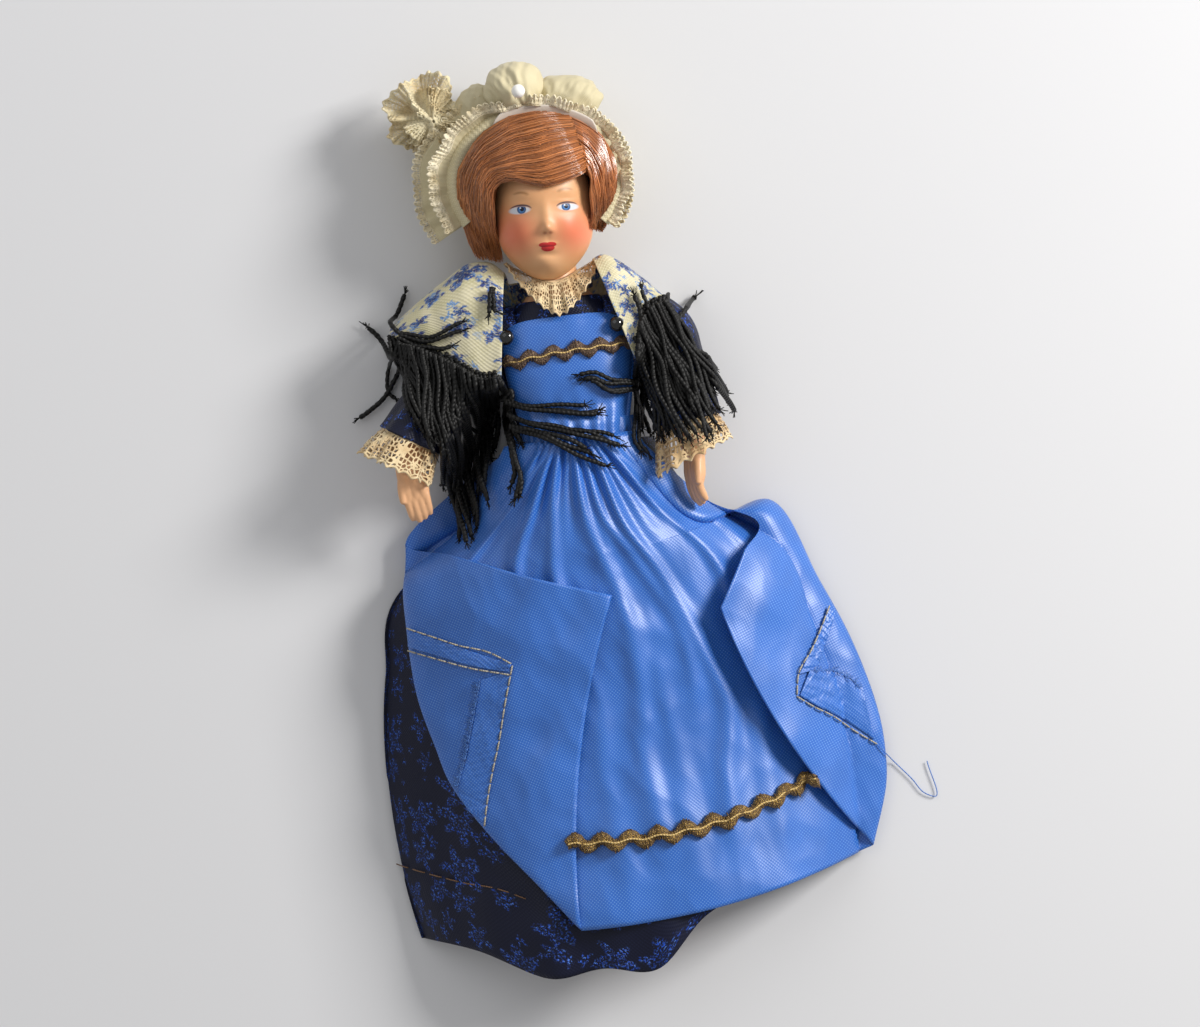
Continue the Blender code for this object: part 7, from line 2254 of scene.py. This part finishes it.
@dataclass
class Shawl:
    """Printed cotton shawl over the shoulders, its front edges fringed with knotted cord."""

    right: ShawlSide = ShawlSide(
        crest=((-9.6, 44.6), (-12.0, 46.8), (-15.8, 47.2), (-21.0, 44.6), (-26.5, 41.2), (-32.6, 36.8)),
        front=((-12.6, 23.6), (-15.2, 22.8), (-19.5, 25.2), (-24.0, 28.2), (-28.4, 30.6), (-33.0, 32.0)),
        back=((-4.0, 17.0), (-9.0, 19.0), (-14.0, 23.0), (-19.0, 27.0), (-25.0, 31.0), (-32.0, 34.5)),
    )
    left: ShawlSide = ShawlSide(
        crest=((7.6, 45.2), (9.4, 45.8), (12.2, 44.4), (15.2, 41.8), (18.2, 38.8), (20.8, 35.8)),
        front=((13.4, 24.6), (14.2, 26.2), (15.2, 28.4), (16.6, 30.6), (18.4, 32.4), (20.8, 34.0)),
        back=((4.0, 17.0), (8.0, 18.0), (12.0, 21.0), (16.0, 25.0), (19.0, 29.0), (21.5, 33.0)),
    )
    low_z: float = 0.6 * MM
    front_z: float = 17.6 * MM

    def half(self, side: ShawlSide) -> Array:
        """Points of one half: rows from the front edge over the crest to the back edge.

        From above a row is a mix of the edge and the crest, then of the crest and the back edge.
        Seen from the side it is level, turns down by a quarter of an ellipse on each side of the
        crest, and lies along the floor.
        """
        rows, columns = 120, 110
        across, way = np.meshgrid(np.linspace(0, 1, columns), np.linspace(0, 1, rows))
        front, crest, back = (route(line, across) for line in (side.front, side.crest, side.back))
        crest_share, rest_share = 0.55, 0.45
        up = np.clip(way / crest_share, 0, 1)[..., None]
        over = np.clip((way - crest_share) / rest_share, 0, 1)[..., None]
        points = front + (crest - front) * up + (back - crest) * over
        bow = 0.9 * MM * np.sin(math.pi * up[..., 0]) * np.sin(math.pi * across)
        points[..., 0] += bow * np.sign(points[..., 0])
        ground = RELIEF.at(points[..., 0], points[..., 1])
        ground = np.maximum(ground, self.front_z - 5.0 * MM * across**1.5)
        for _ in range(10):
            padded = np.pad(ground, 1, mode="edge")
            beside = padded[:-2, 1:-1] + padded[2:, 1:-1] + padded[1:-1, :-2] + padded[1:-1, 2:]
            ground = (beside + 2 * ground) / 6
        turn = np.clip((up[..., 0] - 0.62) / 0.38, 0, 1)
        tall = ground + 0.7 * MM
        middle = 0.55 * (tall + self.low_z)
        fall = middle + (tall - middle) * np.sqrt(1 - turn**2)
        under = np.clip(1 - over[..., 0] / 0.35, 0, 1)
        rise = self.low_z + (middle - self.low_z) * (1 - np.sqrt(1 - under**2))
        points[..., 2] = np.where(over[..., 0] > 0, rise, fall)
        waves = 0.35 * MM * ripples(points / MM, 9.0, 91) + 0.12 * MM * ripples(points / MM, 3.5, 92)
        points[..., 2] += waves * ease(0, 0.08, way) * (1 - ease(0.5, 0.6, way))
        edge = 0.35 * MM * np.exp(-((across / 0.05) ** 2))
        points[..., 2] += edge * (1 - over[..., 0])
        return points

    def build(self) -> Object:
        """Builds both halves and the back between them as one cloth."""
        right, left = self.half(self.right), self.half(self.left)
        draft = Draft()
        for half, flip in ((right, True), (left, False)):
            rows, columns = half.shape[:2]
            u, v = np.meshgrid(np.linspace(0, 0.024, columns), np.linspace(0, 0.062, rows))
            draft.grid(half, places=np.stack([u * (1 if flip else -1), v], -1), flip=flip)
        share = np.linspace(0, 1, 40)[None, :, None]
        start = int(0.58 * right.shape[0])
        back = right[start:, :1] * (1 - share) + left[start:, :1] * share
        back[..., 2] = np.minimum(back[..., 2], 3.2 * MM)
        back[..., 2] *= 1 - 0.2 * np.sin(math.pi * share[..., 0])
        draft.grid(back, (0.02, 0.03))
        cloth = thicken(draft.object("flowered_shawl", merge=0.002 * MM), 0.4 * MM)
        shawl = dress(cloth, "root", Finishes.COTTON, ["shawl"])
        RELIEF.add(shawl)
        return shawl


@dataclass
class Fringe:
    """Twisted silk cords knotted into the shawl's front edges, in four bunches."""

    radius: float = 0.52 * MM
    twist: float = 2.6 * MM
    lobes: float = 0.24
    sway_length: float = 17 * MM
    pieces: list[Object] = field(default_factory=list)

    def cords(self, draft: Draft, paths: Array, layers: Array, taut: int = 6, random_seed: int = 1) -> None:
        """Lays twisted cords over what is there, each at its own layer, with frayed ends.

        Args:
            draft: Takes the cords.
            paths: Cords by points by three, from above.
            layers: Height of each cord's middle over the relief, in metres.
            taut: How far a cord spans hollows, in points.
            random_seed: Chooses the fray.
        """
        laid = RELIEF.lay(paths, layers[:, None], taut)
        random = np.random.default_rng(random_seed)
        radius = self.radius * random.uniform(0.82, 1.1, len(paths))[:, None] * np.ones(paths.shape[1])
        radius[:, 0] *= 1.2
        draft.tubes(laid, radius, 9, self.twist, self.lobes, random.uniform(0, 1, len(paths)))
        tips, before = laid[:, -1], laid[:, -3]
        heading = unit(tips - before)
        t = np.linspace(0, 1, 5)[None, None, :, None]
        spread = random.normal(0, 0.45, (len(paths), 9, 1, 3)) * MM
        reach = heading[:, None, None] * random.uniform(0.8, 2.0, (len(paths), 9, 1, 1)) * MM
        wisps = tips[:, None, None] - heading[:, None, None] * 0.3 * MM + (reach + spread * t) * t
        wisps[..., 2] = np.maximum(wisps[..., 2], 0.2 * MM)
        draft.tubes(wisps.reshape(-1, 5, 3), 0.09 * MM, 4)

    def bunch(
        self,
        header: Stations,
        drops: Stations,
        leans: Stations,
        count: int,
        gather: tuple[float, float, float],
        seed: int,
    ) -> tuple[Array, Array]:
        """Paths of a bunch that hangs from a header line.

        A cord starts at its share of the header and falls by its drop; on the way it leans out, is
        drawn towards the bunch's axis by the square of the way, and sways by a sine.

        Args:
            header: The shawl's edge, in millimetres.
            drops: Length of the fall by the share of the header.
            leans: Shift across at the tip by the share.
            count: Number of cords.
            gather: Place across of the bunch's axis at the tips, its strength, and the sway.
            seed: Chooses the jitter.

        Returns:
            The paths and their layers.
        """
        random = np.random.default_rng(seed)
        share = np.clip(np.linspace(0, 1, count) + random.normal(0, 0.3 / count, count), 0, 1)
        start = route(header, share)
        t = np.linspace(0, 1, 44)
        drop = through(drops, share) * MM * random.uniform(0.84, 1.06, count)
        lean = (through(leans, share) + random.normal(0, 0.7, count)) * MM
        axis, strength, sway = gather
        pull = (axis * MM - start[:, 0]) * strength * random.uniform(0.7, 1.2, count) * drop / (40 * MM)
        phase = random.uniform(0, TURN, count)[:, None]
        swing = np.sin(phase + TURN * drop[:, None] * t / self.sway_length) - np.sin(phase)
        wave = sway * MM * swing * ease(0, 0.4, t)
        x = start[:, :1] + lean[:, None] * t + pull[:, None] * t**1.6 + wave
        y = start[:, 1:2] + 0.6 * MM - (drop[:, None] + 0.6 * MM) * t
        layers = self.radius + random.choice([0.0, 0.75, 1.5], count, p=[0.45, 0.35, 0.2]) * MM
        return np.stack([x, y, 0 * x], -1), layers

    def single(
        self, lines: Sequence[Stations], copies: int, seed: int, spread: float = 0.8
    ) -> tuple[Array, Array]:
        """Paths of cords that lie on their own, each line with a few neighbours."""
        random = np.random.default_rng(seed)
        t = np.linspace(0, 1, 40)
        paths = []
        for line in lines:
            for copy in range(copies):
                path = route(line, t * random.uniform(0.9, 1.0))
                shift = random.normal(0, spread, 2) * MM * (copy > 0)
                bend = 0.45 * MM * np.sin(TURN * t * random.uniform(0.8, 1.8) + random.uniform(0, TURN)) * t
                path[:, 0] += shift[0] * (0.3 + t) + 0.5 * bend
                path[:, 1] += shift[1] * (0.3 + t) + bend
                paths.append(path)
        layers = self.radius * 0.9 + random.uniform(0, 0.6, len(paths)) * MM
        return np.array(paths), layers

    def finish(self, draft: Draft, name: str, body: str, node: str) -> None:
        """Makes one bunch and rides it on its body."""
        made = dress(draft.object(name), body, Finishes.CORD, [node])
        self.pieces.append(made)

    def knots(self, draft: Draft, header: Stations, count: int, seed: int) -> None:
        """Adds the knotted heading: short loops through the cloth's edge."""
        random = np.random.default_rng(seed)
        start = route(header, np.linspace(0.01, 0.99, count))
        t = np.linspace(-1, 1, 12)[None]
        path = np.repeat(start[:, None], 12, axis=1)
        path[..., 1] += 1.5 * MM * t + 0.4 * MM
        path[..., 0] += random.normal(0, 0.25, (count, 1)) * MM * t
        draft.tubes(RELIEF.lay(path, 0.3 * MM, 1), self.radius, 8, 1.6 * MM, 0.3)

    def build(self) -> list[Object]:
        """Builds the four bunches.

        Returns:
            The pieces.
        """
        edge = ((-33.0, 33.4), (-28.4, 31.9), (-24.0, 29.4), (-19.5, 26.4), (-16.0, 24.0), (-13.6, 24.0))
        draft = Draft()
        self.knots(draft, edge, 26, 5)
        drops = ((0, 14), (0.15, 17), (0.3, 23), (0.45, 32), (0.55, 34), (0.68, 28), (0.82, 19), (1, 10))
        leans = ((0, 0.5), (0.3, 0.5), (0.5, 0.5), (0.7, 0.5), (1, 0.0))
        for count, seed, size in ((34, 11, 1.0), (28, 12, 0.85)):
            smaller = tuple((share, drop * size) for share, drop in drops)
            self.cords(draft, *self.bunch(edge, smaller, leans, count, (-24.5, 0.55, 0.7), seed), 6, seed)
        strays = (
            ((-31, 34), (-33.2, 31), (-34.6, 33.6), (-37.4, 38.0)),
            ((-30.5, 35), (-32.6, 38), (-31, 40.5), (-29.6, 43.2)),
            ((-31, 31), (-33.5, 27), (-36, 23.8), (-39, 22.0), (-42, 20.4)),
            ((-31, 32), (-34, 30), (-35, 26.5), (-33.8, 23.0)),
        )
        self.cords(draft, *self.single(strays, 1, 21), 4, 21)
        tangle = (
            ((-31, 34.5), (-26, 31.8), (-20.6, 31.9)),
            ((-32, 31), (-27.5, 26.5), (-19, 22.5)),
            ((-30, 29), (-24.5, 21.5), (-17, 17.5)),
        )
        self.cords(draft, *self.single(tangle, 4, 22, 1.3), 4, 22)
        self.finish(draft, "right_fringe_cords", "right_arm", "right_fringe")
        draft = Draft()
        left_edge = ((13.9, 25.6), (14.6, 28.4), (15.4, 31.6), (17.6, 33.8), (20.8, 34.8))
        self.knots(draft, left_edge, 18, 6)
        tilt = ((0, -0.5), (0.5, 5.0), (1, 9.5))
        for falls, count, seed in (
            (((0, 14), (0.3, 20), (0.6, 24), (1, 22)), 26, 31),
            (((0, 9), (0.5, 17), (1, 18)), 20, 32),
        ):
            self.cords(draft, *self.bunch(left_edge, falls, tilt, count, (22.0, 0.15, 0.7), seed), 6, seed)
        strays = (
            ((20.5, 30), (22.4, 31.5), (24.6, 34.0), (26.6, 36.0)),
            ((16.2, 30), (15.4, 33.0), (14.8, 37.9)),
            ((17.4, 30), (16.8, 34), (16.4, 38.4)),
            ((20, 29), (24, 26), (29, 22)),
        )
        self.cords(draft, *self.single(strays, 1, 41), 4, 41)
        self.finish(draft, "left_fringe_cords", "left_arm", "left_fringe")
        draft = Draft()
        lines = (
            ((-12.2, 19.8), (-8.9, 18.2), (-3, 16.6), (4.9, 15.8)),
            ((-12.2, 17.5), (-8.8, 15.6), (-2, 13.6), (4, 12.0), (7.2, 10.4)),
            ((-12.0, 15.0), (-8, 13.6), (-3, 11.2), (3.2, 7.1)),
            ((-12.4, 13.5), (-11.6, 9), (-11, 5), (-12.2, 0.5)),
            ((-12.8, 20.5), (-11.0, 22.0), (-11.9, 17.0), (-10.4, 13.0)),
        )
        self.cords(draft, *self.single(lines, 3, 51), 4, 51)
        inner = (
            ((-11.9, 41.6), (-12.2, 39.5), (-11.9, 37.0)),
            ((-13.2, 24.6), (-12.4, 21.0), (-12.5, 15.0), (-11.4, 12.0)),
        )
        self.cords(draft, *self.single(inner, 2, 61, 0.5), 3, 61)
        self.finish(draft, "right_front_fringe_cords", "root", "right_front_fringe")
        draft = Draft()
        lines = (
            ((13.0, 20.6), (9.0, 21.6), (5.0, 23.0), (1.8, 23.8)),
            ((13.0, 19.4), (9.5, 19.4), (6.0, 20.6), (4.2, 21.6)),
            ((12.8, 18.0), (12.0, 14.0), (11.4, 10.0), (12.2, 6.4)),
        )
        self.cords(draft, *self.single(lines, 2, 71), 4, 71)
        self.finish(draft, "left_front_fringe_cords", "root", "left_front_fringe")
        return self.pieces


@dataclass
class Studio:
    """The camera over the doll, two soft lamps and a plain floor."""

    turn: float = math.radians(-7)
    height: float = 0.912
    lens: float = 140.4
    aim: tuple[float, float] = (0.00305, -0.00357)
    floor_half: float = 0.9

    def build(self) -> None:
        """Sets the stage, the camera, the lamps and the surroundings."""
        scene = bpy.context.scene
        scene.view_settings.view_transform = "Standard"
        edge, below = self.floor_half, -0.2 * MM
        floor = Draft().grid(np.array([[[x, y, below] for x in (-edge, edge)] for y in (-edge, edge)]))
        table = floor.object("floor")
        table.data.materials.append(Finishes.FLOOR.value.material())
        camera = bpy.data.objects.new("camera", bpy.data.cameras.new("camera"))
        camera.location = (*self.aim, self.height)
        camera.rotation_euler = (0, 0, self.turn)
        camera.data.lens = self.lens
        camera.data.clip_end = 10
        scene.collection.objects.link(camera)
        scene.camera = camera
        self.lamp("key lamp", (0.62, 0.36, 0.43), 0.26, 7.6, (1.0, 0.985, 0.96))
        self.lamp("fill lamp", (-0.4, 0.45, 0.6), 0.7, 1.0, (0.95, 0.97, 1.0))
        world = bpy.data.worlds.new("studio")
        world.use_nodes = True
        sky = world.node_tree.nodes["Background"]
        sky.inputs["Color"].default_value = (1.0, 1.0, 1.0, 1.0)
        sky.inputs["Strength"].default_value = 0.4
        scene.world = world

    def lamp(
        self, name: str, place: tuple[float, float, float], size: float, power: float, colour: Sequence[float]
    ) -> None:
        """Hangs a square soft lamp that looks at the doll.

        Args:
            name: The lamp's name.
            place: Where it hangs, in the picture's own axes: right, up and towards the viewer.
            size: Its side.
            power: Its power, in watts.
            colour: Its colour.
        """
        right, up, above = place
        cos, sin = math.cos(self.turn), math.sin(self.turn)
        where = np.array([right * cos - up * sin, right * sin + up * cos, above])
        lamp = bpy.data.lights.new(name, "AREA")
        lamp.size, lamp.energy, lamp.color = size, power, colour
        obj = bpy.data.objects.new(name, lamp)
        obj.location = where
        aim = -where / np.linalg.norm(where)
        pitch, heading = math.acos(-aim[2]), math.atan2(aim[0], -aim[1])
        obj.rotation_euler = (pitch, 0, math.pi + heading)
        bpy.context.scene.collection.objects.link(obj)


def main() -> None:
    """Builds the doll from the floor up."""
    logging.basicConfig(level=logging.INFO, format="%(name)s: %(message)s")
    Studio().build()
    SKIRT.build()
    Apron().build()
    arms = []
    turned = math.radians(-62)
    for line in (
        ArmLine("right", -1, math.radians(32), math.radians(40), drift=2.0 * MM),
        ArmLine("left", 1, math.radians(5), math.radians(-10), turned, cuff_length=10.5 * MM, cuff_drape=1.0),
    ):
        before = set(bpy.data.objects)
        Arm(line).build()
        arms += [obj for obj in bpy.data.objects if obj not in before]
    RELIEF.add(*arms)
    Bodice().build()
    shawl = Shawl().build()
    fringe = Fringe().build()
    Head().build()
    Wig().build()
    Bonnet().build()


if __name__ == "__main__":
    main()
